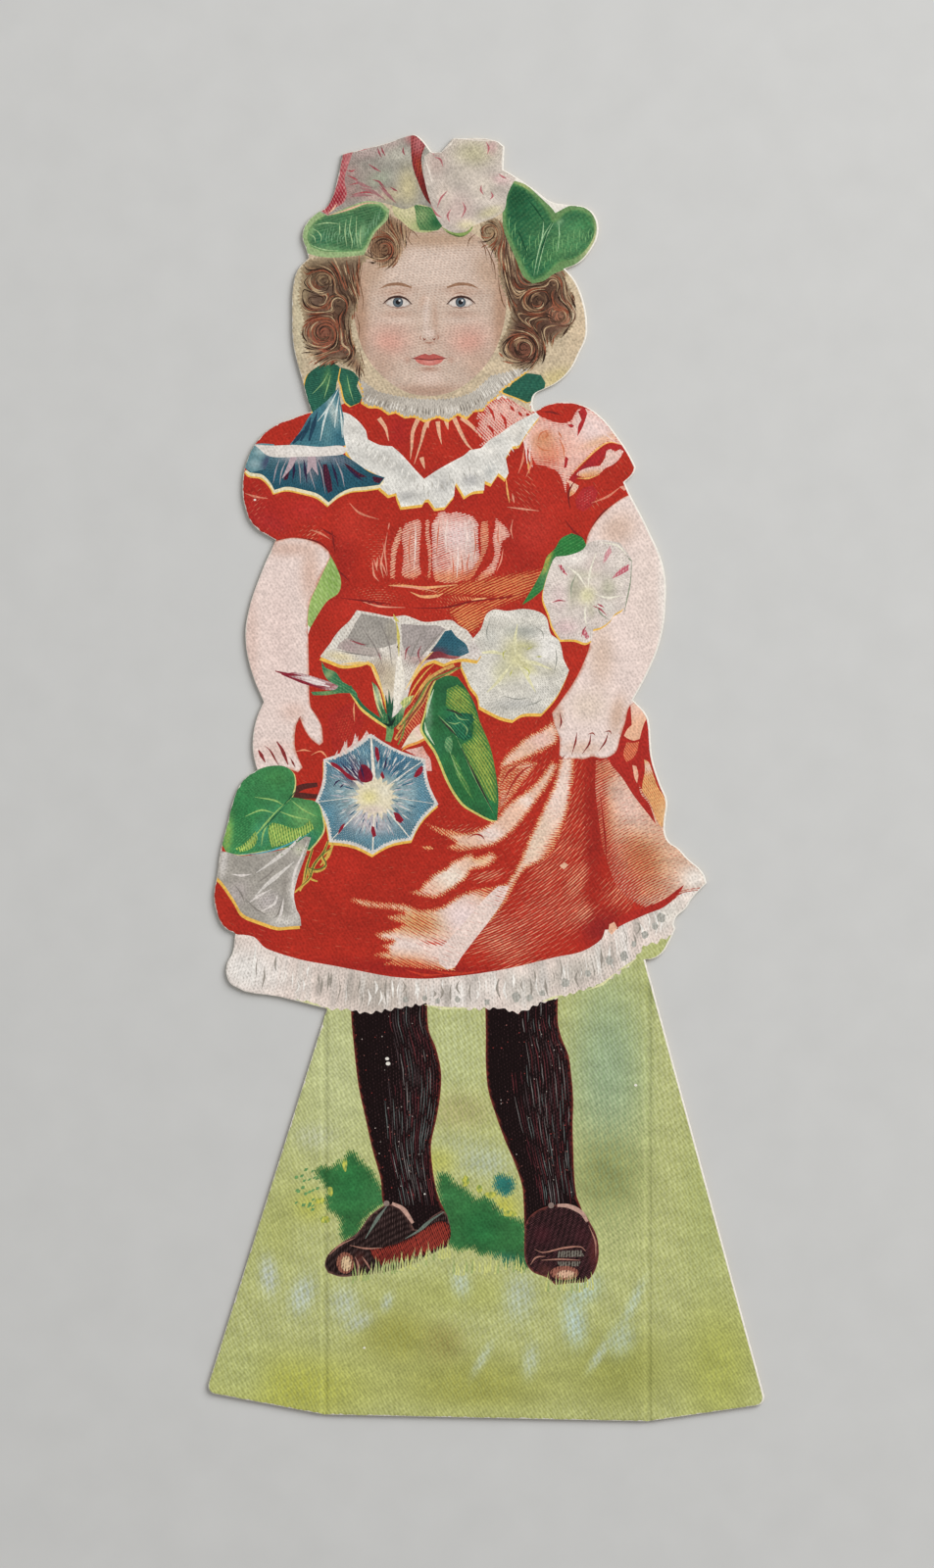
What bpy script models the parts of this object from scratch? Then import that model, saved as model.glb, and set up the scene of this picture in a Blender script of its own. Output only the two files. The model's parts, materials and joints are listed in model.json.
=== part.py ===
"""A stand-up paper doll: one die-cut sheet of thin card, scored down two folds so that the flaps
at its foot turn back and hold it up. It lies on its back here, as it leaves the printer, with
the printed face up, the head towards +Y and the back face on z = 0.
"""

import math

import bmesh
import bpy
from mathutils import Matrix, Vector

MM = 0.001

# Card stock
CARD_THICKNESS = 0.45 * MM
EDGE_ROLL = 0.1 * MM  # how far the cutting die rounds the printed face over
EDGE_ROLL_STEPS = 2

# Foot and flaps
FOLD_SPACING = 35.2 * MM
FOOT_TILT = math.radians(1.2)  # the foot was cut this far out of square with the folds
FLAP_REACH = 12.9 * MM  # from a fold out to the flap's corner
FLAP_RISE = math.radians(9.5)  # slant of a flap's foot, which leans the standing doll back
CORNER_RADIUS = 0.9 * MM
CORNER_STEPS = 6

# Scored folds
CREASE_GAP = 0.3 * MM  # crushed strip of card that bends between the figure and a flap
SCORE_WIDTH = 0.8 * MM
SCORE_DEPTH = 0.1 * MM
SCORE_SIDES = 48

# Inner corners under the skirt, where the slanted sides of the flaps begin
NOTCH_INSET = 0.3 * MM  # how far inside its fold each lies
NOTCH_HEIGHT = {"right": 0.3574, "left": 0.3188}  # of FIGURE_HEIGHT, up from the foot

# Outline of the figure on a 1 mm grid, from the centre line and up from the foot: from the
# right-hand notch up the right-hand side, over the hat and down to the left-hand notch.
FIGURE_HEIGHT = 139.6 * MM  # from the middle of the foot to the top of the hat
RIGHT_HEM = (
    (18.0, 49.9), (19.2, 50.6), (19.9, 51.7), (20.6, 53.2),
    (20.4, 53.7), (20.7, 54.5), (21.7, 55.4), (22.4, 56.5),
)
RIGHT_SKIRT = (
    (24.0, 58.2), (23.6, 59.3), (21.9, 60.9), (20.9, 62.0), (20.0, 62.6), (19.5, 63.7), (19.5, 64.9),
    (19.7, 67.1), (19.0, 68.9), (18.1, 71.8), (17.9, 73.8), (17.8, 75.2), (17.5, 76.4),
)
RIGHT_ARM = (
    (16.0, 78.1), (17.6, 81.1), (18.9, 84.4), (19.5, 88.3), (19.3, 92.5), (17.6, 96.7), (16.5, 98.9),
)
RIGHT_SLEEVE = (
    (15.6, 100.6), (15.1, 101.8), (16.1, 102.8), (16.3, 103.4), (15.6, 104.8), (14.2, 106.9),
    (12.6, 108.8), (11.1, 109.9), (10.0, 110.3), (8.6, 110.5), (7.4, 110.4), (6.4, 110.1),
)
RIGHT_HAIR = (
    (5.3, 109.5), (5.1, 110.0), (5.1, 110.7), (5.4, 111.4), (6.3, 111.9), (7.7, 112.6),
    (9.2, 114.0), (10.2, 115.9), (10.9, 117.5), (11.0, 119.0), (10.6, 121.5), (9.7, 123.7),
)
HAT_LEAF_RIGHT = (
    (8.6, 125.0), (10.2, 125.7), (11.5, 127.2), (12.2, 128.9), (11.9, 130.7),
    (10.8, 131.7), (8.7, 132.0), (7.1, 132.3), (5.3, 133.6), (3.1, 135.1),
)
HAT_FLOWERS = (
    (1.9, 135.8), (2.0, 138.3), (1.2, 138.9), (-3.6, 139.2), (-4.9, 137.7), (-5.9, 137.7),
    (-7.1, 139.2), (-7.8, 139.6), (-8.4, 139.5), (-10.8, 138.7), (-15.6, 137.5), (-16.1, 135.1),
    (-16.9, 132.4),
)
HAT_LEAF_LEFT = (
    (-17.4, 131.7), (-18.4, 131.1), (-19.6, 129.9), (-20.0, 128.5), (-19.6, 127.2),
)
LEFT_HAIR = (
    (-19.3, 126.2), (-20.5, 124.9), (-21.0, 123.1), (-21.1, 120.1), (-21.0, 117.0),
    (-20.5, 114.6), (-20.0, 112.9), (-19.6, 111.3),
)
LEFT_SLEEVE = (
    (-19.0, 109.5), (-20.9, 108.8), (-22.9, 108.0), (-24.8, 106.4),
    (-26.1, 103.9), (-26.5, 101.5), (-26.3, 99.4), (-25.3, 97.1),
)
LEFT_ARM = ((-22.9, 95.5), (-24.5, 91.9), (-25.9, 87.6), (-26.2, 85.0), (-25.5, 81.1))
LEFT_HAND = ((-24.2, 77.9), (-24.9, 76.3), (-25.4, 73.8), (-25.3, 72.0))
LEFT_LEAF = ((-24.9, 70.5), (-26.4, 69.4), (-27.4, 67.5), (-28.1, 64.8), (-28.9, 61.7))
LEFT_SKIRT = ((-29.2, 59.4), (-29.6, 56.7), (-29.2, 54.7), (-28.5, 53.4))
LEFT_HEM = (
    (-27.3, 52.7), (-27.6, 50.6), (-28.2, 49.4), (-28.2, 48.0), (-27.5, 47.0), (-22.4, 45.8),
)
FIGURE = (
    RIGHT_HEM + RIGHT_SKIRT + RIGHT_ARM + RIGHT_SLEEVE + RIGHT_HAIR + HAT_LEAF_RIGHT + HAT_FLOWERS
    + HAT_LEAF_LEFT + LEFT_HAIR + LEFT_SLEEVE + LEFT_ARM + LEFT_HAND + LEFT_LEAF + LEFT_SKIRT
    + LEFT_HEM
)
GRID = FIGURE_HEIGHT / max(y for x, y in FIGURE)
SHARP_TURN = math.radians(42)  # the outline is a smooth curve where it turns less than this
CURVE_STEPS = 4

OVERCUT = 2 * MM  # how far the score rule runs past the foot
SIDES = {"right": 1, "left": -1}


def clear_scene():
    for thing in list(bpy.data.objects):
        bpy.data.objects.remove(thing)


def make_collection(name):
    collection = bpy.data.collections.new(name)
    bpy.context.scene.collection.children.link(collection)
    return collection


def card_material(name, colour, roughness):
    material = bpy.data.materials.new(name)
    material.use_nodes = True
    shader = material.node_tree.nodes["Principled BSDF"]
    shader.inputs["Base Color"].default_value = (*colour, 1)
    shader.inputs["Roughness"].default_value = roughness
    shader.inputs["Metallic"].default_value = 0
    return material


def fold_x(side):
    return SIDES[side] * FOLD_SPACING / 2


def figure_edge(side):
    """Where the figure ends at a fold."""
    return fold_x(side) - SIDES[side] * CREASE_GAP / 2


def flap_edge(side):
    """Where a flap begins at its fold."""
    return fold_x(side) + SIDES[side] * CREASE_GAP / 2


def foot(x):
    """The point of the figure's foot at x."""
    return Vector((x, -x * math.tan(FOOT_TILT)))


def flap_corner(side):
    """The flap's outer corner before it is rounded: its foot rises from the fold at FLAP_RISE."""
    rise = FLAP_RISE - SIDES[side] * FOOT_TILT
    return foot(fold_x(side)) + Vector((SIDES[side] * FLAP_REACH, FLAP_REACH * math.tan(rise)))


def notch(side):
    """The inner corner under the skirt, where a flap's slanted side begins."""
    x = fold_x(side) - SIDES[side] * NOTCH_INSET
    return Vector((x, NOTCH_HEIGHT[side] * FIGURE_HEIGHT))


def on_line(start, end, x):
    return start.lerp(end, (x - start.x) / (end.x - start.x))


def slanted_side(side, x):
    """The point of the cut from the notch to the flap's corner at x."""
    return on_line(notch(side), flap_corner(side), x)


def flap_foot(side, x):
    """The point of the flap's slanted foot at x."""
    return on_line(foot(fold_x(side)), flap_corner(side), x)


def rounded_corner(before, corner, after):
    """Points of the arc of CORNER_RADIUS that replaces a corner."""
    to_before, to_after = (before - corner).normalized(), (after - corner).normalized()
    half = to_before.angle(to_after) / 2
    centre = corner + (to_before + to_after).normalized() * CORNER_RADIUS / math.sin(half)
    first = corner + to_before * CORNER_RADIUS / math.tan(half) - centre
    turn = math.copysign(math.pi - 2 * half, to_after.cross(to_before))
    steps = range(CORNER_STEPS + 1)
    return [centre + Matrix.Rotation(turn * step / CORNER_STEPS, 2) @ first for step in steps]


def flap_outline(side):
    inner = flap_edge(side)
    top, low = slanted_side(side, inner), flap_foot(side, inner)
    return [top, *rounded_corner(top, flap_corner(side), low), low]


def figure_outline():
    """The figure's drawn outline and, after it, the straight cuts at both folds and the foot."""
    drawn = [notch("right"), *(Vector(point) * GRID for point in FIGURE), notch("left")]
    left, right = figure_edge("left"), figure_edge("right")
    straight = [slanted_side("left", left), foot(left), foot(right), slanted_side("right", right)]
    return drawn, straight


def turns_sharply(before, here, after):
    return (here - before).angle(after - here, 0) > SHARP_TURN


def outline_curve(name, drawn, straight):
    """The outline as one filled closed curve: smooth through the drawn points' gentle turns."""
    points = [*drawn, *straight]
    curve = bpy.data.curves.new(name, "CURVE")
    curve.dimensions = "2D"
    curve.fill_mode = "BOTH"
    curve.extrude = CARD_THICKNESS / 2
    curve.resolution_u = CURVE_STEPS
    spline = curve.splines.new("BEZIER")
    spline.bezier_points.add(len(points) - 1)
    spline.use_cyclic_u = True
    for index, (knot, point) in enumerate(zip(spline.bezier_points, points)):
        knot.co = (*point, 0)
        around = points[index - 1], point, points[(index + 1) % len(points)]
        smooth = index < len(drawn) and not turns_sharply(*around)
        knot.handle_left_type = knot.handle_right_type = "AUTO" if smooth else "VECTOR"
    return bpy.data.objects.new(name, curve)


def mesh_from(curve_object, name):
    """The filled curve as a closed mesh with its back face on z = 0."""
    bpy.context.scene.collection.objects.link(curve_object)
    bpy.context.view_layer.update()
    graph = bpy.context.evaluated_depsgraph_get()
    mesh = bpy.data.meshes.new_from_object(curve_object.evaluated_get(graph))
    mesh.name = name
    build = bmesh.new()
    build.from_mesh(mesh)
    bmesh.ops.remove_doubles(build, verts=build.verts, dist=0.002 * MM)
    bmesh.ops.translate(build, verts=build.verts, vec=(0, 0, CARD_THICKNESS / 2))
    bmesh.ops.recalc_face_normals(build, faces=build.faces)
    build.to_mesh(mesh)
    build.free()
    bpy.data.objects.remove(curve_object)
    return mesh


def middle_of(meshes):
    """The middle of the whole sheet's outline."""
    xs = [vertex.co.x for mesh in meshes for vertex in mesh.vertices]
    ys = [vertex.co.y for mesh in meshes for vertex in mesh.vertices]
    return Vector(((min(xs) + max(xs)) / 2, (min(ys) + max(ys)) / 2, 0))


def lies_on(edge, x):
    return all(abs(vertex.co.x - x) < CREASE_GAP / 10 for vertex in edge.verts)


def roll_printed_edge(mesh, folds):
    """Rounds the printed side of the cut edge, as the die pulls it down, but not at the folds."""
    build = bmesh.new()
    build.from_mesh(mesh)
    middle = CARD_THICKNESS / 2
    rim = [
        edge
        for edge in build.edges
        if all(vertex.co.z > middle for vertex in edge.verts)
        and any(abs(face.normal.z) < 0.5 for face in edge.link_faces)
        and not any(lies_on(edge, x) for x in folds)
    ]
    bmesh.ops.bevel(
        build,
        geom=rim,
        offset=EDGE_ROLL,
        offset_type="OFFSET",
        segments=EDGE_ROLL_STEPS,
        profile=0.5,
        affect="EDGES",
        clamp_overlap=False,
    )
    build.to_mesh(mesh)
    build.free()


def score_rule(side, shift, cutters):
    """The round-nosed steel rule that is pressed into the printed face along a fold."""
    radius = (SCORE_WIDTH**2 / 4 + SCORE_DEPTH**2) / (2 * SCORE_DEPTH)
    name = f"{side}_score_rule"
    low = foot(fold_x(side)).y - OVERCUT
    high = slanted_side(side, fold_x(side)).y
    build = bmesh.new()
    bmesh.ops.create_cone(
        build, cap_ends=True, segments=SCORE_SIDES, radius1=radius, radius2=radius, depth=high - low
    )
    mesh = bpy.data.meshes.new(name)
    bmesh.ops.recalc_face_normals(build, faces=build.faces)
    build.to_mesh(mesh)
    build.free()
    rule = bpy.data.objects.new(name, mesh)
    rule.rotation_euler = (math.pi / 2, 0, 0)
    above = CARD_THICKNESS - SCORE_DEPTH + radius
    rule.location = Vector((fold_x(side), (low + high) / 2, above)) + shift
    rule.display_type = "WIRE"
    rule.hide_render = True
    cutters.objects.link(rule)
    return rule


def score(panel, rule):
    step = panel.modifiers.new(rule.name, "BOOLEAN")
    step.operation = "DIFFERENCE"
    step.solver = "EXACT"
    step.object = rule


def add_panel(name, mesh, material, axis, shift, parts):
    """One panel of the sheet, with its origin on the fold that it turns about."""
    for vertex in mesh.vertices:
        vertex.co -= axis
    mesh.materials.append(material)
    panel = bpy.data.objects.new(name, mesh)
    panel.location = axis + shift
    parts.objects.link(panel)
    return panel


def build_doll():
    clear_scene()
    parts = make_collection("paper_doll")
    cutters = make_collection("cutters")
    figure_card = card_material("figure_card", (0.62, 0.20, 0.13), 0.55)
    flap_card = card_material("flap_card", (0.50, 0.53, 0.20), 0.55)

    figure_mesh = mesh_from(outline_curve("figure_outline", *figure_outline()), "figure_panel")
    flap_meshes = {
        side: mesh_from(outline_curve(f"{side}_outline", [], flap_outline(side)), f"{side}_flap")
        for side in SIDES
    }
    shift = -middle_of([figure_mesh, *flap_meshes.values()])
    roll_printed_edge(figure_mesh, [figure_edge(side) for side in SIDES])
    figure = add_panel("figure_panel", figure_mesh, figure_card, Vector(), shift, parts)
    for side, mesh in flap_meshes.items():
        roll_printed_edge(mesh, [flap_edge(side)])
        axis = Vector((fold_x(side), 0, 0))
        flap = add_panel(f"{side}_flap", mesh, flap_card, axis, shift, parts)
        rule = score_rule(side, shift, cutters)
        score(figure, rule)
        score(flap, rule)
        print(f"{side} fold: x {flap.location.x:.6f} m, foot y {(foot(axis.x) + shift.xy).y:.6f} m")


build_doll()
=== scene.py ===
"""The looks of the stand-up paper doll: its printed face, its bare back and cut edges on the card panels
of the frame, and the crease strips between them.

The picture is drawn as patches of ink, laid one over another. They are cut into one flat map of
the printed face, so that each spot of card shows only the ink that lies uppermost there.
"""

import json
import math

import bpy
import numpy as np
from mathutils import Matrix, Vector
from mathutils.geometry import delaunay_2d_cdt


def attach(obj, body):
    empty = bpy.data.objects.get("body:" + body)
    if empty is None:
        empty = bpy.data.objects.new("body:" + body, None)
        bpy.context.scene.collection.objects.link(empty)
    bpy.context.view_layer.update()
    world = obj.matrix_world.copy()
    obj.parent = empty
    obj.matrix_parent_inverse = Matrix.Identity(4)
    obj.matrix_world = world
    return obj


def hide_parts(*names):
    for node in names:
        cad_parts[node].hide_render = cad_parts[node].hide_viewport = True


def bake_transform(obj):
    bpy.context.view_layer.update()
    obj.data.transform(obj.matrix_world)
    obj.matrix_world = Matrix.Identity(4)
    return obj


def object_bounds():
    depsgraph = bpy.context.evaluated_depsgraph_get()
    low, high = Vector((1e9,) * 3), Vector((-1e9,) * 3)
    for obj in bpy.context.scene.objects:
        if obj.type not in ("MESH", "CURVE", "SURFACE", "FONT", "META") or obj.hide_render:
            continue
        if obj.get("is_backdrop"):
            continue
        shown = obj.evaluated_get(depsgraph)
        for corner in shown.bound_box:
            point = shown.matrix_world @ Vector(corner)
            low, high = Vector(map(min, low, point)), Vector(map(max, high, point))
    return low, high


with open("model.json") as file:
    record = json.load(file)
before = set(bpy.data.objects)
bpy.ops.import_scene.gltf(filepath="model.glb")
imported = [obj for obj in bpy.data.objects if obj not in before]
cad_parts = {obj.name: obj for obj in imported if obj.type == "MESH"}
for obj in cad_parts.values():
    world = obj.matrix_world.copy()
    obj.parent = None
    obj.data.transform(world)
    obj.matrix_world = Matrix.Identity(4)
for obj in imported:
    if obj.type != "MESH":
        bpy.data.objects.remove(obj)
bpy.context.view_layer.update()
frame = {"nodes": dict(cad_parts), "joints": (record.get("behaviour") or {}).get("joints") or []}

MM = 0.001
TO_MM = 1000

# Card, as in the frame
CARD_THICKNESS = 0.45
EDGE_ROLL = 0.1
CREASE_GAP = 0.3
SCORE_WIDTH = 0.8
SCORE_DEPTH = 0.1

# Drawing grid: where its top left corner lies, and the size of its step
GRID = 0.035533
GRID_LEFT = -31.565
GRID_TOP = 71.836
SKIRT = 1500  # rows down to the part of the drawing that holds the skirt and the flowers
GROUND = 2640  # rows down to the part that holds the legs and the ground

BARE_RIGHT_EDGE = 0.2  # the sheet was cut this far right of its print, which bares the card along right-facing edges; this bare strip is partly off-register print and partly a painted highlight for the light that the rolled right-hand edges catch
SAMPLE_STEP = 0.42
FACE_STEP = 0.26
CURVE_STEPS = 5
SHARP_TURN = 42
AT_A_TIME = 2000  # points measured together, to keep the tables small


# Lines and outlines


def place(points, down=0):
    """Points of the drawing grid, in millimetres."""
    p = np.array([q[:2] for q in points], float)
    return np.column_stack([GRID_LEFT + GRID * p[:, 0], GRID_TOP - GRID * (p[:, 1] + down)])


def smooth(points, closed=True, steps=CURVE_STEPS, sharp=SHARP_TURN):
    """A curve through the points that keeps its sharp turns as corners."""
    p = np.asarray(points, float)
    count = len(p)
    before, after = np.roll(p, 1, axis=0), np.roll(p, -1, axis=0)
    come, go = p - before, after - p
    turn = np.degrees(np.abs(np.arctan2(come[:, 0] * go[:, 1] - come[:, 1] * go[:, 0], (come * go).sum(1))))
    corner = turn > sharp
    if not closed:
        corner[[0, -1]] = True
    tangent = after - before
    tangent /= np.maximum(np.linalg.norm(tangent, axis=1, keepdims=True), 1e-9)
    first = np.arange(count if closed else count - 1)
    last = (first + 1) % count
    chord = p[last] - p[first]
    length = np.linalg.norm(chord, axis=1, keepdims=True)
    start = np.where(corner[first, None], chord, tangent[first] * length)[:, None]
    end = np.where(corner[last, None], chord, tangent[last] * length)[:, None]
    u = (np.arange(steps) / steps)[None, :, None]
    out = ((2 * u**3 - 3 * u**2 + 1) * p[first, None] + (u**3 - 2 * u**2 + u) * start + (3 * u**2 - 2
        * u**3) * p[last, None] + (u**3 - u**2) * end).reshape(-1, 2)
    return out if closed else np.vstack([out, p[-1:]])


def frill(points, pitch, depth, seed):
    """The line through the points broken into uneven teeth, as lace or a torn edge of colour."""
    random = np.random.default_rng(seed)
    line = smooth(points, closed=False)
    run = np.concatenate([[0], np.cumsum(np.linalg.norm(np.diff(line, axis=0), axis=1))])
    count = max(3, int(run[-1] / pitch) * 2)
    at = np.linspace(0, run[-1], count)
    at[1:-1] += random.uniform(-0.25, 0.25, count - 2) * pitch / 2
    x, y = np.interp(at, run, line[:, 0]), np.interp(at, run, line[:, 1])
    way = np.gradient(np.column_stack([x, y]), axis=0)
    way /= np.maximum(np.linalg.norm(way, axis=1, keepdims=True), 1e-9)
    side = np.column_stack([way[:, 1], -way[:, 0]])
    out = np.where(np.arange(count) % 2, 1, -1) * depth / 2 * random.uniform(0.4, 1.2, count)
    return np.column_stack([x, y]) + side * out[:, None]


def frilled(outline, pitch, depth, seed, down=0):
    """A closed outline with uneven teeth all round, in millimetres."""
    return place(frill(outline + outline[:1], pitch, depth, seed)[:-1], down)


def ribbon(points, width, taper=(0.15, 1, 0.15), steps=4):
    """A brush stroke: the outline of a line that swells and thins."""
    line = smooth(points, closed=False, steps=steps, sharp=80)
    way = np.gradient(line, axis=0)
    way /= np.maximum(np.linalg.norm(way, axis=1, keepdims=True), 1e-9)
    side = np.column_stack([-way[:, 1], way[:, 0]])
    at = np.linspace(0, 1, len(line))
    half = width / 2 * np.interp(at, np.linspace(0, 1, len(taper)), taper)
    left, right = line + side * half[:, None], line - side * half[:, None]
    return np.concatenate([left, right[::-1]])


# How ink lies in a patch


def lines(angle, bend=0.0):
    """Strokes that run at an angle, and bow by bend."""
    turn = math.radians(angle)
    way = np.array([math.cos(turn), math.sin(turn)])
    side = np.array([-way[1], way[0]])

    def flow(p):
        along = p @ way
        return p @ side + bend * along**2, along

    return flow


def rays(x, y, down, reach=5.0):
    """Strokes that run out from a point."""
    centre = place([(x, y)], down)[0]

    def flow(p):
        d = p - centre
        return np.arctan2(d[:, 0], -d[:, 1]) * reach, np.linalg.norm(d, axis=1)

    return flow


def rings(x, y, down, squeeze=1.0):
    """Strokes that run round a point."""
    centre = place([(x, y)], down)[0]

    def flow(p):
        d = (p - centre) * (1, squeeze)
        return np.linalg.norm(d, axis=1), np.arctan2(d[:, 0], -d[:, 1]) * 5

    return flow


def softness(p, wash, down):
    """How strongly a wash lies at each point. A wash is a soft oval: x, y, half width, half height,
    angle, value and strength.
    """
    x, y, wide, tall, angle, _, strength = wash
    d = p - place([(x, y)], down)[0]
    turn = math.radians(-angle)
    across = (d[:, 0] * math.cos(turn) + d[:, 1] * math.sin(turn)) / (wide * GRID)
    along = (d[:, 1] * math.cos(turn) - d[:, 0] * math.sin(turn)) / (tall * GRID)
    return strength * np.exp(-((across**2 + along**2) ** 1.3))


def distance_to(p, start, end):
    """How far each point lies from the nearest of the edges that run from start to end."""
    d = end - start
    size = np.maximum((d**2).sum(1), 1e-12)
    nearest = np.empty(len(p))
    for first in range(0, len(p), AT_A_TIME):
        q = p[first : first + AT_A_TIME, None, :] - start[None]
        t = np.clip((q * d).sum(2) / size, 0, 1)
        nearest[first : first + AT_A_TIME] = np.sqrt(((q - t[..., None] * d) ** 2).sum(2).min(1))
    return nearest


def mottle(p, size, seed):
    """Soft uneven values between -1 and 1."""
    random = np.random.default_rng(seed)
    value = np.zeros(len(p))
    for _ in range(5):
        way = random.normal(size=2)
        way *= 2 * math.pi / (size * random.uniform(0.6, 1.6)) / np.linalg.norm(way)
        value += np.sin(p @ way + random.uniform(0, 6.3))
    return value / 3


def inside(p, outline):
    """Whether each point lies in an outline, also where the outline laps over itself."""
    start, end = outline, np.roll(outline, -1, axis=0)
    if len(p) < 60:
        rise = end[:, 1] - start[:, 1]
        safe = np.where(rise == 0, 1.0, rise)
        x = start[:, 0] + (end - start)[:, 0] * (p[:, 1, None] - start[:, 1]) / safe
        crosses = (start[:, 1] > p[:, 1, None]) != (end[:, 1] > p[:, 1, None])
        return ((crosses & (p[:, 0, None] < x)) * np.sign(rise)).sum(1) != 0
    turns = np.zeros(len(p), int)
    for (x0, y0), (x1, y1) in zip(start, end):
        if y0 != y1:
            crosses = (y0 > p[:, 1]) != (y1 > p[:, 1])
            turns[crosses & (p[:, 0] < (x1 - x0) * (p[:, 1] - y0) / (y1 - y0) + x0)] += 1 if y1 > y0 else -1
    return turns != 0


PATCHES = []


def lay(ink, outline, colour, down=0, washes=(), stroke=None, stroke_washes=(), amount=0.0, amounts=(),
        flow=None, rim=None, fade=None, uneven=0.0, ready=False):
    """Lays one patch of ink over those before it."""
    PATCHES.append({"ink": ink, "outline": outline if ready else smooth(place(outline, down)),
        "colour": colour, "down": down, "washes": washes, "stroke": stroke or colour,
        "stroke_washes": stroke_washes, "amount": amount, "amounts": amounts, "flow": flow or lines(90),
        "rim": rim, "fade": fade, "uneven": uneven})


def brush(ink, points, width, colour, down=0, taper=(0.15, 1, 0.15), steps=4, **more):
    """Lays one brush stroke, its width in millimetres."""
    line = ribbon(place(points, down), width, taper, steps)
    lay(ink, line, colour, down, ready=True, **more)


def brushes(ink, strokes, width, colour, down=0, taper=(0.15, 1, 0.15)):
    """Lays several brush strokes of one width and colour."""
    for points in strokes:
        brush(ink, points, width, colour, down, taper)


def rimmed(ink, outline, colour, rim_colour, shift, down=0, **more):
    """A patch over a copy of itself that was printed out of place."""
    edge = smooth(place(outline, down))
    lay("petal", edge + np.array(shift), rim_colour, down, ready=True)
    lay(ink, edge, colour, down, ready=True, **more)


def washed(start, washes, p, down):
    """The start value at each point, drawn towards the value of each wash where that lies."""
    value = np.tile(np.array(start, float), (len(p), 1))
    for wash in washes:
        value += (np.array(wash[5], float) - value) * softness(p, wash, down)[:, None]
    return value


def painted(patch, p, grain):
    """Ink colour, stroke colour and (across, along, amount) at points of a patch."""
    down, outline = patch["down"], patch["outline"]
    colour = washed(patch["colour"], patch["washes"], p, down)
    stroke = washed(patch["stroke"], patch["stroke_washes"], p, down)
    amount = washed([patch["amount"]], patch["amounts"], p, down)[:, 0]
    if patch["fade"] or patch["rim"]:
        away = distance_to(p, outline, np.roll(outline, -1, axis=0))
    if patch["fade"]:
        width, most = patch["fade"]
        amount += (np.maximum(most, amount) - amount) * np.clip(1 - away / width, 0, 1)
    if patch["rim"]:
        rim_colour, width = patch["rim"]
        colour += (np.array(rim_colour, float) - colour) * np.clip(1 - away / width, 0, 1)[:, None]
    colour *= 1 + patch["uneven"] * grain[:, None]
    across, along = patch["flow"](p)
    return colour, stroke, np.column_stack([across, along, amount])


def to_linear(colour):
    """Light of a printed colour that is given from 0 to 255."""
    c = np.clip(np.asarray(colour, float) / 255, 0, 1)
    return np.where(c <= 0.04045, c / 12.92, ((c + 0.055) / 1.055) ** 2.4)


# Colours of the inks

BARE = (236, 230, 220)
RED = (176, 44, 30)
PINK = (228, 190, 178)
ORANGE = (214, 134, 84)
LACE = (234, 217, 207)
RIM_YELLOW = (232, 184, 84)
SKIN = (232, 212, 204)
FACE = (206, 184, 168)
HAIR_DARK = (62, 42, 32)
CREAM = (200, 182, 154)
LEAF_LIGHT = (116, 158, 84)
LEAF_MARGIN = (152, 176, 124)
NECK_LEAF = (30, 84, 68)
VIOLET = (64, 24, 44)
GRASS = (190, 194, 134)
BUSH = (52, 110, 60)
STOCKING = (22, 10, 11)

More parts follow.
